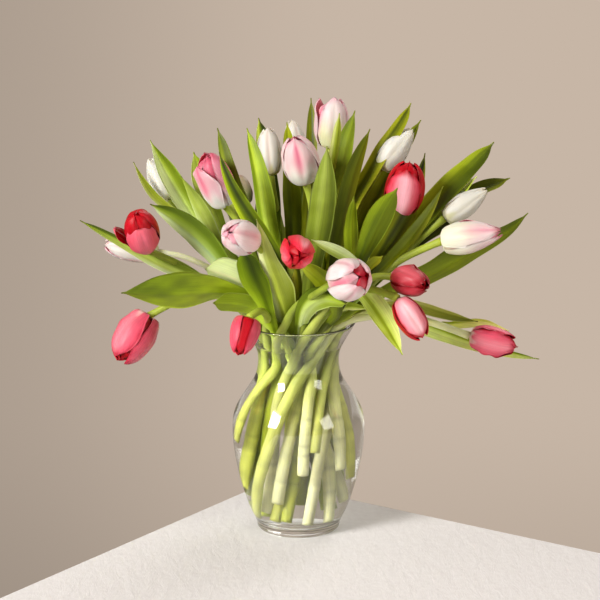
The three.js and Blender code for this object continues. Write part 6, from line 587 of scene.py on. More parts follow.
def leaf(idx, plant, side, rows, opts):
    rr = np.random.default_rng(100 + idx)
    nt, ns = 46, 15
    R, length = spline(rows, nt)
    C, w, n = R[:, :3], np.maximum(R[:, 3], 0.0) * opts.get("narrow", 1.0), unit(R[:, 4:7])
    t = np.linspace(0, 1, nt)                       # 0 tip, 1 foot
    # pointed tip
    w = w * np.minimum(1, (t / 0.05) ** 0.6) if t[1] > 0 else w
    if "blunt" in opts:
        q = np.clip(t / 0.14, 0, 1)
        w = np.maximum(w, opts["blunt"] * np.sqrt(q * (2 - q)) * (1 - smooth(0.3, 0.5, t)))
    w = np.maximum(w, 0.9)
    T = -unit(np.gradient(C, axis=0))
    n = unit(n - T * np.sum(n * T, -1, keepdims=True))
    b = np.cross(T, n)
    s = np.linspace(-1, 1, ns)
    half = w / 2
    cup = opts.get("cup", 0.40)
    cupt = cup * (0.55 + 0.75 * smooth(0.45, 1.0, t)) * (0.8 + 0.2 * smooth(0, .3, t))
    ph = rr.uniform(0, 6.28, 4)
    wave = 0.055 * np.sin(t * length / 17.0 + ph[0]) + 0.035 * np.sin(t * length / 9.0 + ph[1])
    wave2 = 0.055 * np.sin(t * length / 15.0 + ph[2]) + 0.035 * np.sin(t * length / 8.0 + ph[3])
    S = s[None, :]
    H = half[:, None]
    bend = -cupt[:, None] * H * (np.abs(S) ** 1.2)
    edge = np.where(S > 0, wave[:, None], wave2[:, None]) * H * (np.abs(S) ** 3)
    crease = -0.05 * H * np.exp(-(S / 0.10) ** 2) * (0.4 + 0.6 * smooth(0.1, 0.5, t))[:, None]
    off = bend + edge * (np.sin(np.pi * t) ** 0.5)[:, None] + crease * -1.0
    P = C[:, None, :] + b[:, None, :] * (H * S * (1 - 0.5 * (cupt[:, None] * np.abs(S)) ** 2))[..., None] + n[:, None, :] * off[..., None]
    dist = t * length
    uv = np.stack(np.broadcast_arrays(H * S + 31.0 * idx, dist[:, None]), -1)
    # colours: the level, the tip-to-foot change, the two halves and the two side strips of each leaf's tone are set to
    # how bright the leaf stands in the light, so they are painted light and shade over its own green; the small waves
    # are its own unevenness
    base_tone_and_light, tip_to_foot_shade, half_shade, side_shade_a, side_shade_b = opts.get("tone_and_shade", (0.45, 0.0, 0.0, 0.0, 0.0))
    hue = np.exp(np.array([np.clip(opts.get("hue", (0.0, 0.0))[0], -0.15, 0.16), 0.0, opts.get("hue", (0.0, 0.0))[1]]))
    foot = lin((206, 214, 112))
    one = np.ones((nt, ns, 3))
    uneven = 0.018 * np.sin(t * 9 + ph[0])[:, None] + 0.012 * np.sin(t[:, None] * 21 + 4 * S + ph[1])
    tone_and_shade_map = base_tone_and_light + tip_to_foot_shade * (0.5 - t)[:, None] + half_shade * np.tanh(S / 0.35) + uneven
    tone_and_shade_map = tone_and_shade_map + side_shade_a * smooth(0.25, 0.6, S) + side_shade_b * smooth(0.25, 0.6, -S)
    def paint(shift, edge_gain):
        c = leaf_tone(tone_and_shade_map + shift) * hue
        if opts.get("mottle"):
            blot = np.sin(t * 31 + ph[2])[:, None] * np.sin(S * 5 + 9 * t[:, None] + ph[3]) + 0.6 * np.sin(t[:, None] * 57 - 8 * S)
            c = c * (1 + opts["mottle"] * blot)[..., None]
        c = mix(c, one * foot, (0.55 * smooth(0.80, 1.0, t))[:, None] * np.ones((1, ns)))
        # stripes of growth
        st = np.zeros(ns)
        for _ in range(5):
            st += rr.uniform(-0.05, 0.05) * np.exp(-((s - rr.uniform(-1, 1)) / rr.uniform(0.08, 0.25)) ** 2)
        c = c * (1 + st)[None, :, None]
        mid = np.exp(-(s / 0.09) ** 2)[None, :] * np.ones((nt, 1))
        c = mix(c, c * 1.2, mid * 0.5)
        # pale margin along both edges: partly the leaf's own paler edge, partly painted light along the rim
        e = smooth(0.88, 1.0, np.abs(s))[None, :] * np.ones((nt, 1))
        c = mix(c, leaf_tone(tone_and_shade_map + 0.30) * hue, e * edge_gain)
        tipf = (1 - smooth(0.0, 0.05, t))[:, None] * np.ones((1, ns))
        c = mix(c, one * lin((150, 150, 60)), tipf * 0.3)
        c[..., 2] = np.minimum(c[..., 2], 0.46 * c[..., 1])
        return c
    thick = np.full((nt, ns), 0.85) * (1 - 0.6 * np.abs(s) ** 4)[None, :]
    thick = thick * (1 + 0.6 * smooth(0.8, 1, t))[:, None]
    sp = Soup()
    sheet(sp, P, thick, uv, paint(0.03, opts.get("rim", 0.38)), paint(-0.03, opts.get("rim", 0.38)), n[:, None, :] * np.ones((1, ns, 1)))
    return sp.make("leaf_%02d" % (idx + 1), M_LEAF_MATT if opts.get("matt") else M_LEAF, ["plant_%02d" % plant])


# per-leaf tone numbers paint each leaf's light and shade over its own green
LEAF_LOOK = {'L03': {'narrow': 0.72, 'tone_and_shade': (0.73, -0.28, 0.1, 0.09, 0.11), 'hue': (0.05, 0.29)}, 'L38': {'blunt': 11, 'tone_and_shade': (0.83, -0.6, -0.02, -0.01, 0.01), 'hue': (-0.3, -0.9)}, 'L16': {'matt': True, 'tone_and_shade': (0.79, -0.6, -0.02, -0.11, -0.1), 'hue': (-0.01, 0.31)}, 'L36': {'matt': True, 'tone_and_shade': (0.75, -0.6, -0.08, -0.26, 0.05), 'hue': (-0.02, 0.9)}, 'L04': {'matt': True, 'tone_and_shade': (0.84, -0.6, -0.22, -0.16, 0.21), 'hue': (-0.14, 0.78)}, 'L39': {'matt': True, 'tone_and_shade': (1.42, 0.06, -0.3, -0.06, -0.04), 'hue': (-0.11, -0.13)}, 'L33': {'matt': True, 'tone_and_shade': (0.94, -0.6, 0.09, -0.18, -0.45), 'hue': (-0.11, 0.17)}, 'L29': {'matt': True, 'tone_and_shade': (1.42, -0.6, -0.16, -0.45, -0.22), 'hue': (-0.18, -0.76)}, 'L31': {'matt': True, 'tone_and_shade': (1.42, 0.6, 0.06, -0.45, 0.15), 'hue': (-0.01, -0.9)}, 'L23': {'matt': True, 'tone_and_shade': (0.23, -0.35, 0.27, 0.19, 0.36), 'hue': (0.3, -0.9)}, 'L17': {'matt': True, 'tone_and_shade': (0.2, 0.34, 0.04, 0.1, -0.05), 'hue': (0.13, -0.9)}, 'L11': {'matt': True, 'tone_and_shade': (0.35, 0.6, -0.11, 0.12, -0.09), 'hue': (0.08, -0.9)}, 'L22': {'matt': True, 'tone_and_shade': (0.56, -0.6, 0.19, -0.02, 0.38), 'hue': (0.1, -0.14)}, 'L40': {'matt': True, 'tone_and_shade': (0.43, -0.6, -0.17, 0.2, 0.07), 'hue': (-0.3, -0.9)}, 'L37': {'mottle': 0.14, 'tone_and_shade': (0.66, -0.6, -0.11, 0.08, 0.05), 'hue': (-0.09, -0.9)}, 'L30': {'rim': 0.95, 'matt': True, 'tone_and_shade': (0.69, -0.6, -0.03, 0.2, -0.04), 'hue': (0.15, 0.9)}, 'L07': {'rim': 0.8, 'tone_and_shade': (0.27, -0.33, -0.22, 0.32, 0.22), 'hue': (-0.06, -0.9)}, 'L10': {'rim': 0.8, 'tone_and_shade': (0.65, -0.6, 0.3, 0.29, 0.02), 'hue': (-0.07, -0.9)}, 'L01': {'tone_and_shade': (1.13, -0.6, 0.3, -0.07, -0.1), 'hue': (-0.13, -0.15)}, 'L02': {'tone_and_shade': (0.82, -0.6, -0.04, -0.09, 0.06), 'hue': (-0.01, 0.87)}, 'L05': {'tone_and_shade': (1.17, -0.6, 0.09, 0.01, -0.06), 'hue': (-0.21, -0.9)}, 'L06': {'tone_and_shade': (0.65, -0.6, -0.17, 0.1, -0.17), 'hue': (0.03, 0.9)}, 'L08': {'tone_and_shade': (0.67, 0.39, -0.05, 0.07, 0.29), 'hue': (-0.02, 0.17)}, 'L09': {'tone_and_shade': (0.83, -0.18, -0.1, -0.12, -0.45), 'hue': (-0.14, -0.9)}, 'L13': {'tone_and_shade': (0.51, -0.4, 0.19, -0.16, 0.3), 'hue': (0.11, -0.9)}, 'L14': {'tone_and_shade': (0.48, 0.28, -0.07, -0.11, -0.14), 'hue': (-0.02, 0.9)}, 'L15': {'tone_and_shade': (0.68, -0.04, -0.1, 0.18, 0.29), 'hue': (-0.03, -0.41)}, 'L18': {'tone_and_shade': (0.69, -0.49, 0.18, -0.18, 0.14), 'hue': (-0.03, -0.9)}, 'L19': {'tone_and_shade': (0.21, 0.44, 0.09, -0.09, 0.2), 'hue': (-0.06, -0.9)}, 'L20': {'tone_and_shade': (0.99, 0.14, 0.08, 0.1, -0.18), 'hue': (-0.15, -0.15)}, 'L21': {'tone_and_shade': (0.43, -0.31, -0.09, 0.35, 0.13), 'hue': (0.3, -0.9)}, 'L24': {'tone_and_shade': (0.46, -0.29, 0.09, 0.19, -0.03), 'hue': (0.01, -0.9)}, 'L25': {'tone_and_shade': (0.32, 0.38, 0.11, 0.15, -0.01), 'hue': (0.06, -0.9)}, 'L26': {'tone_and_shade': (1.42, 0.6, 0.3, 0.0, -0.45), 'hue': (-0.1, -0.9)}, 'L27': {'tone_and_shade': (0.09, 0.46, -0.0, 0.03, 0.1), 'hue': (0.3, -0.9)}, 'L28': {'tone_and_shade': (0.44, -0.14, 0.09, -0.07, -0.02), 'hue': (0.01, -0.9)}, 'L32': {'tone_and_shade': (1.17, -0.6, 0.3, 0.1, 0.33), 'hue': (-0.3, -0.85)}, 'L34': {'tone_and_shade': (0.43, 0.6, 0.02, -0.11, 0.06), 'hue': (0.0, -0.9)}, 'L35': {'tone_and_shade': (1.08, -0.6, 0.26, 0.38, 0.17), 'hue': (-0.1, -0.9)}, 'L41': {'tone_and_shade': (0.2, 0.6, 0.08, 0.12, -0.01), 'hue': (0.3, -0.9)}, 'L42': {'tone_and_shade': (0.69, 0.25, -0.24, -0.29, -0.06), 'hue': (0.27, -0.9)}, 'B1': {'tone_and_shade': (0.45, 0, 0, 0, 0), 'hue': (0, 0)}, 'B2': {'tone_and_shade': (0.6, 0.26, -0.14, 0, 0), 'hue': (0, 0)}, 'B3': {'tone_and_shade': (0.45, 0, 0, 0, 0), 'hue': (0, 0)}, 'B4': {'tone_and_shade': (0.45, 0, 0, 0, 0), 'hue': (0, 0)}, 'B5': {'tone_and_shade': (0.45, 0, 0, 0, 0), 'hue': (0, 0)}, 'B6': {'tone_and_shade': (0.45, 0, 0, 0, 0), 'hue': (0, 0)}, 'B7': {'tone_and_shade': (0.45, 0, 0, 0, 0), 'hue': (0, 0)}, 'B8': {'tone_and_shade': (0.45, 0, 0, 0, 0), 'hue': (0, 0)}, 'B9': {'tone_and_shade': (0.45, 0, 0, 0, 0), 'hue': (0, 0)}, 'B10': {'tone_and_shade': (0.45, 0, 0, 0, 0), 'hue': (0, 0)}}
for i, (plant, side, name, rows) in enumerate(LEAVES):
    leaf(i, plant, side, rows, LEAF_LOOK.get(name, {}))

# ------------------------------------------------------------------ flowers
PROFILE_T = np.array([0, 0.02, 0.05, 0.10, 0.18, 0.30, 0.42, 0.55, 0.68, 0.80, 0.90, 0.96, 1.0])
PROFILE_R = np.array([0.16, 0.38, 0.57, 0.74, 0.89, 0.985, 1.0, 0.965, 0.88, 0.74, 0.54, 0.36, 0.14])
WIDTH_F = np.array([0.20, 0.34, 0.48, 0.64, 0.80, 0.96, 1.04, 1.06, 0.99, 0.82, 0.56, 0.32, 0.03])


def fine(x, table):
    """Smooth interpolation of a profile table at x."""
    P, _ = spline(np.stack([PROFILE_T, table, np.zeros_like(table)], -1), 200)
    return np.interp(x, P[:, 0], P[:, 1])


# base, body, streak (k), edge (k), tip (k), inner ; start/end of the base colour
# colours of one petal, foot to tip: base, body, central streak, margin, tip, inner face; in the red styles the pale
# central streak is partly the petal's own flame, partly a painted highlight down its middle
STYLE = {
    "red": dict(base=(230, 198, 175), body=(218, 30, 58), streak=(246, 116, 134), ks=0.70, ws=0.40, edge=(186, 4, 24), ke=0.8, tip=(196, 10, 34), kt=0.5, inner=(176, 2, 18), b0=0.0, b1=0.09),
    "redlight": dict(base=(234, 209, 190), body=(222, 40, 64), streak=(250, 140, 150), ks=0.8, ws=0.32, edge=(196, 10, 34), ke=0.85, tip=(214, 40, 66), kt=0.5, inner=(170, 6, 22), b0=0.0, b1=0.09),
    "redfront": dict(base=(222, 84, 96), body=(224, 74, 96), streak=(240, 122, 140), ks=0.7, ws=0.6, edge=(232, 96, 112), ke=0.5, tip=(236, 110, 124), kt=0.6, inner=(170, 4, 20), b0=0.0, b1=0.10),
    "deep": dict(base=(176, 8, 24), body=(182, 2, 24), streak=(216, 24, 44), ks=0.5, ws=0.3, edge=(138, 0, 10), ke=0.6, tip=(206, 20, 36), kt=0.4, inner=(150, 0, 12), b0=0.0, b1=0.10),
    "dark": dict(base=(220, 110, 110), body=(196, 20, 44), streak=(222, 74, 92), ks=0.6, ws=0.5, edge=(146, 2, 18), ke=0.75, tip=(176, 8, 26), kt=0.5, inner=(150, 2, 16), b0=0.0, b1=0.07),
    "redpink": dict(base=(240, 150, 160), body=(226, 66, 92), streak=(238, 163, 173), ks=1.0, ws=0.60, edge=(186, 4, 26), ke=0.95, tip=(206, 20, 44), kt=0.6, inner=(172, 2, 20), b0=0.0, b1=0.12),
    "pinkred": dict(base=(236, 190, 180), body=(226, 84, 108), streak=(230, 144, 155), ks=0.7, ws=0.40, edge=(186, 20, 50), ke=0.75, tip=(176, 14, 44), kt=0.7, inner=(170, 8, 34), b0=0.0, b1=0.06),
    "pink": dict(base=(238, 231, 221), body=(230, 170, 178), streak=(224, 104, 130), ks=0.80, ws=0.24, edge=(236, 205, 206), ke=0.6, tip=(216, 92, 118), kt=0.75, inner=(222, 84, 112), b0=0.10, b1=0.50),
    "pinktop": dict(base=(238, 229, 221), body=(232, 140, 158), streak=(212, 84, 112), ks=0.7, ws=0.35, edge=(224, 165, 173), ke=0.5, tip=(196, 66, 92), kt=0.8, inner=(206, 60, 90), b0=0.12, b1=0.50),
    "rim": dict(base=(238, 231, 221), body=(228, 176, 180), streak=(221, 148, 158), ks=0.5, ws=0.3, edge=(168, 24, 52), ke=1.0, tip=(176, 30, 58), kt=0.8, inner=(150, 10, 36), b0=0.10, b1=0.50),
    "pale": dict(base=(238, 224, 212), body=(237, 205, 202), streak=(223, 146, 156), ks=0.55, ws=0.22, edge=(238, 220, 217), ke=0.6, tip=(228, 166, 173), kt=0.5, inner=(232, 120, 140), b0=0.05, b1=0.4),
    "paledeep": dict(base=(234, 198, 197), body=(224, 155, 164), streak=(222, 108, 130), ks=0.6, ws=0.3, edge=(238, 211, 210), ke=0.7, tip=(232, 140, 154), kt=0.5, inner=(214, 80, 104), b0=0.0, b1=0.3),
    "pink2": dict(base=(236, 222, 156), body=(234, 207, 197), streak=(238, 228, 208), ks=0.7, ws=0.45, edge=(230, 130, 150), ke=0.9, tip=(223, 148, 160), kt=0.5, inner=(232, 130, 150), b0=0.06, b1=0.30),
    "pink2side": dict(base=(236, 220, 162), body=(236, 148, 164), streak=(224, 104, 130), ks=0.6, ws=0.30, edge=(218, 96, 122), ke=0.7, tip=(214, 84, 112), kt=0.7, inner=(224, 92, 120), b0=0.10, b1=0.45),
    "pw": dict(base=(242, 234, 204), body=(240, 204, 202), streak=(232, 140, 160), ks=0.80, ws=0.24, edge=(238, 222, 217), ke=0.5, tip=(222, 116, 140), kt=0.65, inner=(226, 110, 134), b0=0.20, b1=0.70),
    "pwedge": dict(base=(238, 231, 210), body=(234, 194, 195), streak=(224, 155, 164), ks=0.5, ws=0.25, edge=(206, 84, 108), ke=0.9, tip=(206, 78, 102), kt=0.8, inner=(216, 90, 116), b0=0.15, b1=0.60),
    "pw2": dict(base=(240, 230, 221), body=(242, 216, 213), streak=(226, 140, 156), ks=0.7, ws=0.16, edge=(242, 228, 222), ke=0.5, tip=(232, 150, 164), kt=0.7, inner=(196, 20, 40), b0=0.1, b1=0.6),
    "pw2in": dict(base=(240, 120, 130), body=(228, 86, 100), streak=(230, 148, 155), ks=0.7, ws=0.35, edge=(186, 12, 30), ke=0.8, tip=(206, 30, 48), kt=0.7, inner=(176, 6, 24), b0=0.0, b1=0.3),
    "white": dict(base=(234, 228, 180), body=(250, 241, 219), streak=(246, 230, 200), ks=0.5, ws=0.2, edge=(248, 236, 214), ke=0.4, tip=(240, 222, 186), kt=0.5, inner=(240, 226, 196), b0=0.0, b1=0.14),
    "pinksoft": dict(base=(244, 236, 220), body=(240, 192, 192), streak=(224, 104, 134), ks=0.9, ws=0.20, edge=(240, 222, 214), ke=0.6, tip=(234, 176, 184), kt=0.5, inner=(226, 120, 140), b0=0.15, b1=0.55),
    "rosered": dict(base=(206, 92, 96), body=(212, 70, 92), streak=(226, 110, 130), ks=0.5, ws=0.5, edge=(196, 30, 52), ke=0.7, tip=(190, 26, 48), kt=0.6, inner=(196, 20, 34), b0=0.0, b1=0.2),
    "creampink": dict(base=(242, 232, 180), body=(241, 206, 206), streak=(246, 230, 216), ks=0.5, ws=0.3, edge=(232, 150, 166), ke=0.9, tip=(232, 160, 174), kt=0.7, inner=(248, 190, 198), b0=0.15, b1=0.70),
    "pinkpale": dict(base=(240, 214, 210), body=(238, 192, 196), streak=(230, 150, 166), ks=0.6, ws=0.3, edge=(240, 206, 206), ke=0.6, tip=(226, 130, 150), kt=0.6, inner=(232, 140, 156), b0=0.0, b1=0.3),
    "wine": dict(base=(206, 90, 100), body=(184, 44, 58), streak=(216, 104, 114), ks=0.7, ws=0.4, edge=(150, 6, 22), ke=0.8, tip=(140, 2, 18), kt=0.7, inner=(140, 2, 16), b0=0.0, b1=0.08),
    "blushpink": dict(base=(221, 211, 160), body=(240, 229, 219), streak=(232, 200, 194), ks=0.6, ws=0.14, edge=(232, 168, 170), ke=0.8, tip=(228, 176, 172), kt=0.6, inner=(234, 214, 204), b0=0.0, b1=0.16),
    "redcore": dict(base=(236, 150, 160), body=(224, 60, 86), streak=(242, 176, 186), ks=1.0, ws=0.42, edge=(180, 2, 22), ke=1.0, tip=(182, 6, 28), kt=0.9, inner=(160, 2, 18), b0=0.0, b1=0.12),
    "rosecore": dict(base=(236, 150, 160), body=(240, 132, 146), streak=(250, 204, 208), ks=1.0, ws=0.42, edge=(180, 2, 22), ke=1.0, tip=(182, 6, 28), kt=0.9, inner=(160, 2, 18), b0=0.0, b1=0.12),
    "pinkin": dict(base=(238, 231, 221), body=(238, 212, 205), streak=(228, 150, 164), ks=0.8, ws=0.5, edge=(196, 24, 46), ke=0.7, tip=(206, 60, 84), kt=0.6, inner=(190, 14, 34), b0=0.0, b1=0.3),
    "blush": dict(base=(221, 209, 150), body=(250, 238, 219), streak=(240, 204, 190), ks=0.7, ws=0.16, edge=(246, 220, 202), ke=0.5, tip=(240, 214, 192), kt=0.5, inner=(240, 222, 196), b0=0.0, b1=0.16),
    "bud": dict(base=(150, 160, 92), body=(193, 176, 151), streak=(150, 132, 96), ks=0.6, ws=0.3, edge=(158, 90, 84), ke=0.7, tip=(150, 92, 84), kt=0.6, inner=(180, 120, 110), b0=0.1, b1=0.6),
}
SLOT = {"red": "petals_red", "dark": "petals_red", "redpink": "petals_red", "pinkred": "petals_red", "pink": "petals_pink", "pale": "petals_pink",
        "pink2": "petals_pink", "pw": "petals_pink", "pw2": "petals_pink", "white": "petals_white", "bud": "petals_bud"}


def petal_colours(st, t, s, rr):
    T, S = np.meshgrid(t, s, indexing="ij")
    one = np.ones(T.shape + (3,))
    c = mix(one * lin(st["base"]), one * lin(st["body"]), smooth(st["b0"], st["b1"], T + 0.05 * np.cos(S * 7 + rr.uniform(0, 6)) - 0.10 * (1 - np.abs(S))))
    k = st["ks"] * rr.uniform(0.8, 1.15)
    sw = np.exp(-((S + rr.uniform(-0.06, 0.06)) / st["ws"]) ** 2) * smooth(st["b0"] * 0.6, st["b1"] + 0.12, T) * (1 - 0.6 * smooth(0.86, 1, T))
    # the central streak; in the red styles partly a painted highlight
    c = mix(c, one * lin(st["streak"]), np.clip(k * sw, 0, 1))
    # feathered side streaks
    f = np.zeros(T.shape)
    for _ in range(7):
        s0, wd = rr.uniform(-0.85, 0.85), rr.uniform(0.02, 0.06)
        f += rr.uniform(0.15, 0.5) * np.exp(-((S - s0 * (0.4 + 0.6 * T)) / wd) ** 2) * smooth(0.25, 0.6, T) * (1 - smooth(0.88, 1.0, T))
    tgt = one * lin(st["streak"]) if st["ks"] < 0.9 else one * lin(st["edge"])
    c = mix(c, tgt, np.clip(f * 0.45, 0, 1))
    e = smooth(0.72, 1.0, np.abs(S) + 0.03 * np.sin(T * 19 + rr.uniform(0, 6)))
    c = mix(c, one * lin(st["edge"]), np.clip(st["ke"] * e * smooth(0.12, 0.45, T), 0, 1))
    c = mix(c, one * lin(st["tip"]), np.clip(st["kt"] * smooth(0.84, 1.0, T), 0, 1))
    inner = mix(one * lin(st["base"]), one * lin(st["inner"]), smooth(0.06, 0.25, T))
    inner = inner * (0.9 + 0.2 * smooth(0.3, 1.0, T))[..., None]
    return c, inner


def flower(k, base, tip, width, op, colour, opts):
    op = opts.get("op", op)
    width = width * opts.get("fat", 1.0)
    rr = np.random.default_rng(500 + k)
    st = dict(STYLE[colour])
    st.update(opts.get("style", {}))
    B, Tp = np.array(base, float), np.array(tip, float)
    A = Tp - B
    L = np.linalg.norm(A)
    A = A / L
    R = width / 2.0
    # first outer petal turned towards the viewer
    u = TO_CAM - A * np.dot(TO_CAM, A)
    if np.linalg.norm(u) < 0.25:
        u = np.array([0, 0, 1.0]) - A * A[2]
    u = unit(u)
    v = np.cross(A, u)
    nt, ns = 34, 21
    t = np.linspace(0, 1, nt) ** 0.9
    s = np.linspace(-1, 1, ns)
    tw = t ** opts.get("high", 1.0)
    r0 = fine(tw, PROFILE_R)
    f0 = fine(tw, WIDTH_F)
    r_in = r0 * (1 - 0.75 * smooth(0.90, 1.0, t)) if op < 0.3 else r0
    soup = Soup()
    turn = math.radians(opts.get("turn", rr.uniform(-22, 22)))
    petals = opts.get("petals", {})
    TT, SS = np.meshgrid(t, s, indexing="ij")
    for p in range(6):
        outer = p < 3
        po = petals.get(p, {})
        th0 = turn + (p % 3) * 2 * math.pi / 3 + (0 if outer else math.pi / 3) + math.radians(po.get("az", rr.uniform(-4, 4)))
        lf = opts.get("long", 1.0) * po.get("len", rr.uniform(0.96, 1.0) if outer else rr.uniform(0.94, 0.99))
        flare = po.get("flare", rr.uniform(0.0, 0.05) if outer else 0.0)
        tilt = po.get("tilt", rr.uniform(-0.02, 0.06) if outer else 0.0)
        rad = 1.0 if outer else 0.88
        oo = float(np.clip(op + po.get("op", 0.0 if outer or op > 0.4 else -0.28), 0, 1))
        up = np.clip((t * lf - 0.42) / 0.58, 0, 1)
        base_r = fine(np.clip(tw * lf, 0, 1), PROFILE_R) if outer else fine(np.clip(tw * lf, 0, 1), PROFILE_R) * (1 - 0.8 * smooth(0.88, 1.0, t) * (1 - min(1.0, oo * 2)))
        rm = R * rad * (base_r + oo * up * (1.03 - base_r))
        point = 1 - opts.get("taper", 0.0) * smooth(0.40, 1.0, t)
        rm = rm * point
        rm = rm * (1 + tilt * t) + R * flare * smooth(0.45, 1.0, t) ** 1.5
        blunt = po.get("blunt", 0.0)
        hw = R * (1.0 if outer else 0.98) * (f0 * (1 - blunt) + blunt * np.minimum(1.04, fine(t, WIDTH_F) ** 0.35)) * po.get("wide", 1.0) * point
        rl = np.maximum(rm, 0.34 * R) * (1.0 + 0.10 * oo)
        ang = np.clip(hw / rl, 0, 1.08)
        an = ang[:, None] * SS
        ph = rr.uniform(0, 6.28, 6)
        ruf = po.get("ruffle", 1.0)
        wob = ruf * (0.030 * np.sin(TT * 7 + ph[0]) * SS ** 2 + 0.022 * np.sin(TT * 17 + ph[1] + 2 * np.sign(SS)) * np.abs(SS) ** 4)
        groove = (-0.055 if outer else -0.03) * np.exp(-((SS - 0.06 * np.sin(TT * 3 + ph[2])) / 0.12) ** 2) * smooth(0.06, 0.35, TT) * (1 - smooth(0.8, 1.0, TT))
        ridge = 0.022 * (np.exp(-((np.abs(SS) - 0.33) / 0.16) ** 2)) * smooth(0.1, 0.35, TT)
        lift = (po.get("lift", opts.get("lift", 0.03)) if outer else -0.02) * np.abs(SS) ** 2.4 * smooth(0.12, 0.45, TT)
        curl = -0.10 * smooth(0.75, 1, TT) * SS ** 2 * (1 - oo)
        rho = rm[:, None] * (1 + wob * smooth(0.1, 0.3, TT) + lift + curl + groove + ridge)
        h = L * lf * TT - L * 0.035 * SS ** 2 * smooth(0.5, 1.0, TT)
        h = h + 0.013 * ruf * L * np.sin(SS * 8 + ph[3]) * smooth(0.75, 1, TT) * np.abs(SS)
        # blunt shoulders: the foot of each petal bulges back past the stem a little
        h = h - opts.get("back", 0.03) * L * np.exp(-((TT - 0.09) / 0.06) ** 2) * (1 if outer else 0)
        th = th0 + an + po.get("sweep", 0.0) * TT
        P = B + A * h[..., None] + u * (rho * np.cos(th))[..., None] + v * (rho * np.sin(th))[..., None]
        out_dir = u * np.cos(th)[..., None] + v * np.sin(th)[..., None]
        stp = dict(STYLE[po["c"]]) if "c" in po else st
        co, ci = petal_colours(stp, t, s, rr)
        if not outer:
            co = mix(co, ci, 0.35 * np.ones(TT.shape))
        gain = (1 + rr.uniform(-0.04, 0.04)) * po.get("gain", 1.0)
        thick = 0.75 * (1 - 0.55 * np.abs(SS) ** 3) * (1 - 0.4 * smooth(0.8, 1, TT)) * (1 + 0.8 * (1 - smooth(0, 0.2, TT)))
        uv = np.stack([hw[:, None] * SS + 47.0 * p + 400 * k, L * TT], -1)
        sheet(soup, P, thick, uv, co * gain, ci * gain, out_dir)
    name = "tulip_%02d" % k
    slot = SLOT[colour]
    o = soup.make(name, M_PETAL[slot], ["flower_%02d" % k])
    if opts.get("stamens", False):
        sp = Soup()
        # pistil and stamens
        C = np.stack([B + A * x for x in np.linspace(L * 0.08, L * 0.46, 12)])
        cc = np.broadcast_to(lin((206, 206, 150)), (12, 3))
        rp = np.array([2.0, 2.5, 2.7, 2.8, 2.7, 2.6, 2.5, 2.5, 2.8, 3.4, 3.3, 1.6])
        tube(sp, C, rp, 12, cc)
        for q in range(6):
            a = q * math.pi / 3 + 0.3
            d = u * math.cos(a) + v * math.sin(a)
            C = np.stack([B + A * (L * 0.08 + x * L * 0.22) + d * (2.4 + 3.2 * x) for x in np.linspace(0, 1, 6)])
            tube(sp, C, np.full(6, 0.7), 8, np.broadcast_to(lin((226, 214, 150)), (6, 3)))
        sp.make(name + "_pistil", M_STEM, [])
        sa = Soup()
        for q in range(6):
            a = q * math.pi / 3 + 0.3
            d = u * math.cos(a) + v * math.sin(a)
            C = np.stack([B + A * (L * 0.30 + x * L * 0.17) + d * (5.6 + 0.6 * x) for x in np.linspace(0, 1, 7)])
            tube(sa, C, np.array([0.8, 1.3, 1.5, 1.5, 1.5, 1.2, 0.5]), 8, np.broadcast_to(lin((58, 34, 44)), (7, 3)))
        sa.make(name + "_stamens", M_ANTHER, [])
    return o


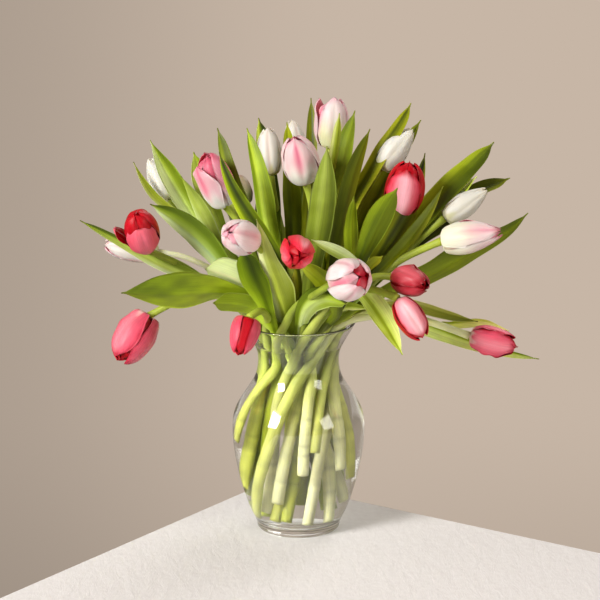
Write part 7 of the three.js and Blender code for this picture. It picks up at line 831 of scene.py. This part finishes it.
FLOWER_LOOK = {1: {'turn': 40, 'fat': 1.0, 'back': 0.1, 'petals': {0: {'c': 'pinkred', 'len': 0.98}, 2: {'len': 1.0, 'c': 'pinkred'}, 3: {'c': 'deep'}, 4: {'c': 'deep'}, 5: {'c': 'deep'}}}, 2: {'op': 0.1, 'turn': 0, 'high': 1.45, 'fat': 0.93, 'long': 0.95, 'petals': {0: {'tilt': 0.0, 'flare': 0.0, 'c': 'redfront', 'blunt': 1.0, 'wide': 1.12, 'len': 0.92}, 1: {'c': 'deep', 'len': 1.08}, 2: {'len': 0.78, 'flare': 0.55, 'az': 20, 'wide': 0.45, 'c': 'redfront'}, 3: {'c': 'deep', 'len': 1.12}, 4: {'c': 'deep', 'len': 1.14}, 5: {'c': 'deep', 'len': 1.12}}}, 3: {'style': {'base': (240, 232, 214), 'body': (252, 240, 236), 'streak': (240, 190, 196), 'edge': (236, 188, 188), 'tip': (226, 150, 164)}, 'petals': {0: {'c': 'blushpink'}, 1: {'c': 'blushpink'}}}, 4: {'high': 1.0, 'taper': 0.15, 'fat': 0.9}, 5: {'turn': -52, 'petals': {0: {'gain': 1.08, 'len': 0.9, 'flare': 0.3, 'lift': 0.05}, 1: {'len': 1.0, 'c': 'pinktop'}, 2: {'c': 'pinktop'}, 3: {'c': 'pinktop'}, 4: {'c': 'pinktop'}, 5: {'c': 'pinktop'}}}, 6: {'op': 0.0, 'turn': 20, 'lift': 0.008, 'petals': {0: {'gain': 1.1}, 1: {'gain': 1.1}, 2: {'gain': 1.1}, 3: {'c': 'pinkpale'}, 4: {'c': 'pinkpale'}, 5: {'c': 'pinkpale'}}}, 7: {'op': 0.06, 'turn': 60, 'high': 0.72, 'petals': {0: {'wide': 0.8, 'az': 9, 'flare': 0.02, 'c': 'rosered'}, 2: {'wide': 0.8, 'az': -9, 'flare': 0.02, 'c': 'rosered'}, 3: {'c': 'deep'}, 4: {'c': 'deep'}, 5: {'c': 'deep', 'ruffle': 2.5}}}, 9: {'high': 1.05, 'taper': 0.1, 'petals': {0: {'c': 'blush'}, 1: {'c': 'blush'}}}, 10: {'op': 0.04, 'turn': -6, 'petals': {0: {'c': 'pinksoft', 'len': 1.0}, 1: {'len': 1.0, 'c': 'pinksoft'}, 2: {'len': 0.97, 'flare': 0.03, 'c': 'pinksoft'}, 3: {'c': 'pinkpale'}, 4: {'c': 'rim', 'len': 1.03}, 5: {'c': 'pinkpale'}}}, 11: {'high': 1.0, 'taper': 0.1, 'petals': {0: {'c': 'blush'}}}, 12: {'op': 0.3, 'turn': 4, 'stamens': True, 'petals': {0: {'c': 'creampink', 'len': 1.05, 'tilt': 0.0, 'flare': 0.05, 'op': -0.2, 'az': 6, 'wide': 1.12}, 1: {'c': 'pinkpale', 'op': -0.1}, 2: {'c': 'pinkpale', 'len': 0.95, 'flare': 0.3, 'az': 6, 'wide': 1.0}, 3: {'c': 'pinkpale', 'len': 1.0}, 4: {'c': 'pinkpale'}, 5: {'c': 'pinksoft', 'len': 0.93, 'flare': 0.15}}}, 13: {'op': 0.04, 'turn': -25, 'petals': {0: {'c': 'redlight', 'ruffle': 2}, 1: {'len': 0.94, 'ruffle': 2, 'flare': 0.08}, 2: {'ruffle': 2}, 3: {'c': 'deep'}, 4: {'c': 'deep'}, 5: {'c': 'deep', 'ruffle': 2.5}}}, 14: {'op': 0.0, 'turn': 60, 'long': 0.94, 'fat': 1.03, 'lift': 0.01, 'petals': {0: {'len': 1.0, 'wide': 0.92, 'blunt': 0.25, 'az': 6}, 1: {'len': 0.98, 'wide': 1.25, 'blunt': 0.4}, 2: {'len': 1.0, 'wide': 0.95, 'blunt': 0.3, 'az': -5}, 3: {'c': 'redlight', 'len': 1.0}, 4: {'c': 'redlight', 'len': 0.98}, 5: {'c': 'pinksoft', 'len': 1.0, 'blunt': 0.4}}}, 15: {'high': 0.88, 'taper': 0.3, 'lift': 0.015}, 16: {'op': 0.08, 'turn': -8, 'high': 1.1, 'petals': {0: {'c': 'redcore', 'len': 0.93}, 1: {'c': 'deep'}, 2: {'c': 'deep'}, 3: {'c': 'deep', 'len': 1.0}, 4: {'c': 'deep', 'len': 1.03}, 5: {'c': 'deep', 'len': 1.0}}}, 17: {'high': 0.88, 'taper': 0.3, 'lift': 0.015}, 18: {'op': 0.0, 'turn': -25, 'fat': 1.05, 'high': 0.9, 'taper': 0.3, 'lift': 0.015, 'style': {'tip': (150, 14, 44), 'kt': 0.8}, 'petals': {}}, 19: {'op': 0.12, 'turn': -30, 'petals': {0: {'c': 'wine', 'blunt': 0.5, 'ruffle': 3, 'gain': 0.92}, 1: {'c': 'wine', 'blunt': 0.5, 'ruffle': 3, 'gain': 0.92}, 2: {'c': 'wine', 'blunt': 0.5, 'ruffle': 3, 'gain': 0.92}, 3: {'c': 'deep'}, 4: {'c': 'deep'}, 5: {'c': 'deep'}}}, 20: {'turn': -6, 'high': 1.1, 'petals': {0: {'c': 'rosecore'}, 1: {'c': 'deep'}, 2: {'c': 'deep'}, 3: {'c': 'deep'}, 4: {'c': 'deep'}, 5: {'c': 'deep'}}}, 21: {'op': 0.3, 'turn': 20, 'petals': {0: {'blunt': 0.55, 'ruffle': 3}, 1: {'blunt': 0.5, 'ruffle': 3}, 2: {'blunt': 0.5, 'ruffle': 3, 'len': 0.95}, 3: {'c': 'dark', 'len': 1.04, 'ruffle': 3}, 4: {'c': 'dark', 'ruffle': 3}, 5: {'c': 'dark', 'len': 1.05, 'ruffle': 3}}}}
for k, base, tip, width, op, colour in FLOWERS:
    flower(k, base, tip, width, op, colour, FLOWER_LOOK.get(k, {}))

# ------------------------------------------------------------------ stage
def stage_floor():
    m, nt, b, out = new_mat("floor_pale")
    tc = nt.nodes.new("ShaderNodeTexCoord")
    n = nt.nodes.new("ShaderNodeTexNoise")
    n.inputs["Scale"].default_value = 160.0
    n.inputs["Detail"].default_value = 5.0
    nt.links.new(tc.outputs["Object"], n.inputs["Vector"])
    r = ramp(nt, [(0.3, (0.745, 0.718, 0.708)), (0.7, (0.79, 0.766, 0.758))])
    nt.links.new(n.outputs[0], r.inputs[0])
    nt.links.new(r.outputs[0], b.inputs["Base Color"])
    b.inputs["Roughness"].default_value = 0.85
    mp = nt.nodes.new("ShaderNodeMapping")
    mp.inputs["Scale"].default_value = (1.0, 0.35, 1.0)
    mp.inputs["Rotation"].default_value = (0, 0, 0.5)
    nt.links.new(tc.outputs["Object"], mp.inputs[0])
    n2 = nt.nodes.new("ShaderNodeTexNoise")
    n2.inputs["Scale"].default_value = 90.0
    n2.inputs["Detail"].default_value = 6.0
    n2.inputs["Roughness"].default_value = 0.65
    n2.inputs["Distortion"].default_value = 0.4
    nt.links.new(mp.outputs[0], n2.inputs["Vector"])
    bp = nt.nodes.new("ShaderNodeBump")
    bp.inputs["Strength"].default_value = 0.6
    bp.inputs["Distance"].default_value = 0.002
    nt.links.new(n2.outputs[0], bp.inputs["Height"])
    nt.links.new(bp.outputs[0], b.inputs["Normal"])
    # a pale square top with its far corner behind the vase
    corner = np.array([-0.0309, 0.1280])
    d1, d2 = unit(np.array([-0.590, -0.807])), unit(np.array([0.835, -0.551]))
    q = [corner, corner + d1 * 2.4, corner + d1 * 2.4 + d2 * 2.4, corner + d2 * 2.4]
    v = [(p[0], p[1], -0.0002) for p in q] + [(p[0], p[1], -0.012) for p in q]
    f = [(0, 1, 2, 3), (7, 6, 5, 4), (0, 4, 5, 1), (1, 5, 6, 2), (2, 6, 7, 3), (3, 7, 4, 0)]
    me = bpy.data.meshes.new("floor")
    me.from_pydata(v, [], f)
    me.materials.append(m)
    me.update()
    o = bpy.data.objects.new("floor", me)
    bpy.context.scene.collection.objects.link(o)
    return o


stage_floor()

world = bpy.data.worlds.new("World")
bpy.context.scene.world = world
world.use_nodes = True
wn = world.node_tree
bg = wn.nodes["Background"]
geo_w = wn.nodes.new("ShaderNodeTexCoord")
sep = wn.nodes.new("ShaderNodeSeparateXYZ")
wn.links.new(geo_w.outputs["Generated"], sep.inputs[0])


def w_range(sock, a, b, c, d):
    n = wn.nodes.new("ShaderNodeMapRange")
    n.interpolation_type = "SMOOTHSTEP"
    for i, x in zip((1, 2, 3, 4), (a, b, c, d)):
        n.inputs[i].default_value = x
    wn.links.new(sock, n.inputs[0])
    return n.outputs[0]


def w_math(op, a, b):
    n = wn.nodes.new("ShaderNodeMath")
    n.operation = op
    for i, x in enumerate((a, b)):
        if isinstance(x, (int, float)):
            n.inputs[i].default_value = x
        else:
            wn.links.new(x, n.inputs[i])
    return n.outputs[0]


side_x = w_range(sep.outputs[0], -0.15, 0.03, 0.72, 1.0)
low_z = w_range(sep.outputs[2], -0.40, -0.28, 0.80, 1.0)
back_y = w_range(sep.outputs[1], -0.55, 0.25, 0.34, 1.0)
lp_w = wn.nodes.new("ShaderNodeLightPath")
# the room behind the viewer is dimmer than the backdrop, except where it is looked at directly
room = w_math("MAXIMUM", back_y, lp_w.outputs["Is Camera Ray"])
strength = w_math("MULTIPLY", w_math("MULTIPLY", side_x, low_z), room)
dim = w_range(lp_w.outputs["Is Diffuse Ray"], 0.0, 1.0, 1.0, 0.55)
strength = w_math("MULTIPLY", strength, dim)
strength = w_math("MULTIPLY", strength, w_range(lp_w.outputs["Is Glossy Ray"], 0.0, 1.0, 1.0, 0.78))
bg.inputs[0].default_value = tuple(lin((199, 182, 166))) + (1,)
wn.links.new(strength, bg.inputs[1])


def area(name, loc, target, size, power, colour=(1, 1, 1), size_y=None, glossy=1.0):
    d = bpy.data.lights.new(name, "AREA")
    d.energy = power
    d.color = colour
    d.size = size
    if size_y:
        d.shape = "RECTANGLE"
        d.size_y = size_y
    o = bpy.data.objects.new(name, d)
    o.location = loc
    o.rotation_euler = (Vector(target) - Vector(loc)).to_track_quat("-Z", "Y").to_euler()
    o.visible_camera = False
    bpy.context.scene.collection.objects.link(o)
    return o


area("key", (-1.60, -1.45, 1.20), (0, 0, 0.22), 0.70, 76, (1.0, 0.985, 0.96), 1.0)
area("fill", (1.7, -1.2, 0.9), (0, 0, 0.25), 0.8, 15, (1.0, 0.96, 0.90), 1.0)
area("back", (0.9, 1.3, 1.5), (0, 0, 0.3), 0.8, 12, (1.0, 0.99, 0.97))

sc = bpy.context.scene
sc.view_settings.view_transform = "Standard"
sc.view_settings.look = "None"
sc.view_settings.exposure = 0.0
sc.view_settings.gamma = 1.0
sc.cycles.max_bounces = 16
sc.cycles.transmission_bounces = 14
sc.cycles.glossy_bounces = 6
sc.cycles.diffuse_bounces = 4
sc.cycles.transparent_max_bounces = 16
sc.cycles.caustics_reflective = False
sc.cycles.caustics_refractive = True
sc.cycles.sample_clamp_indirect = 4.0
sc.cycles.use_denoising = True
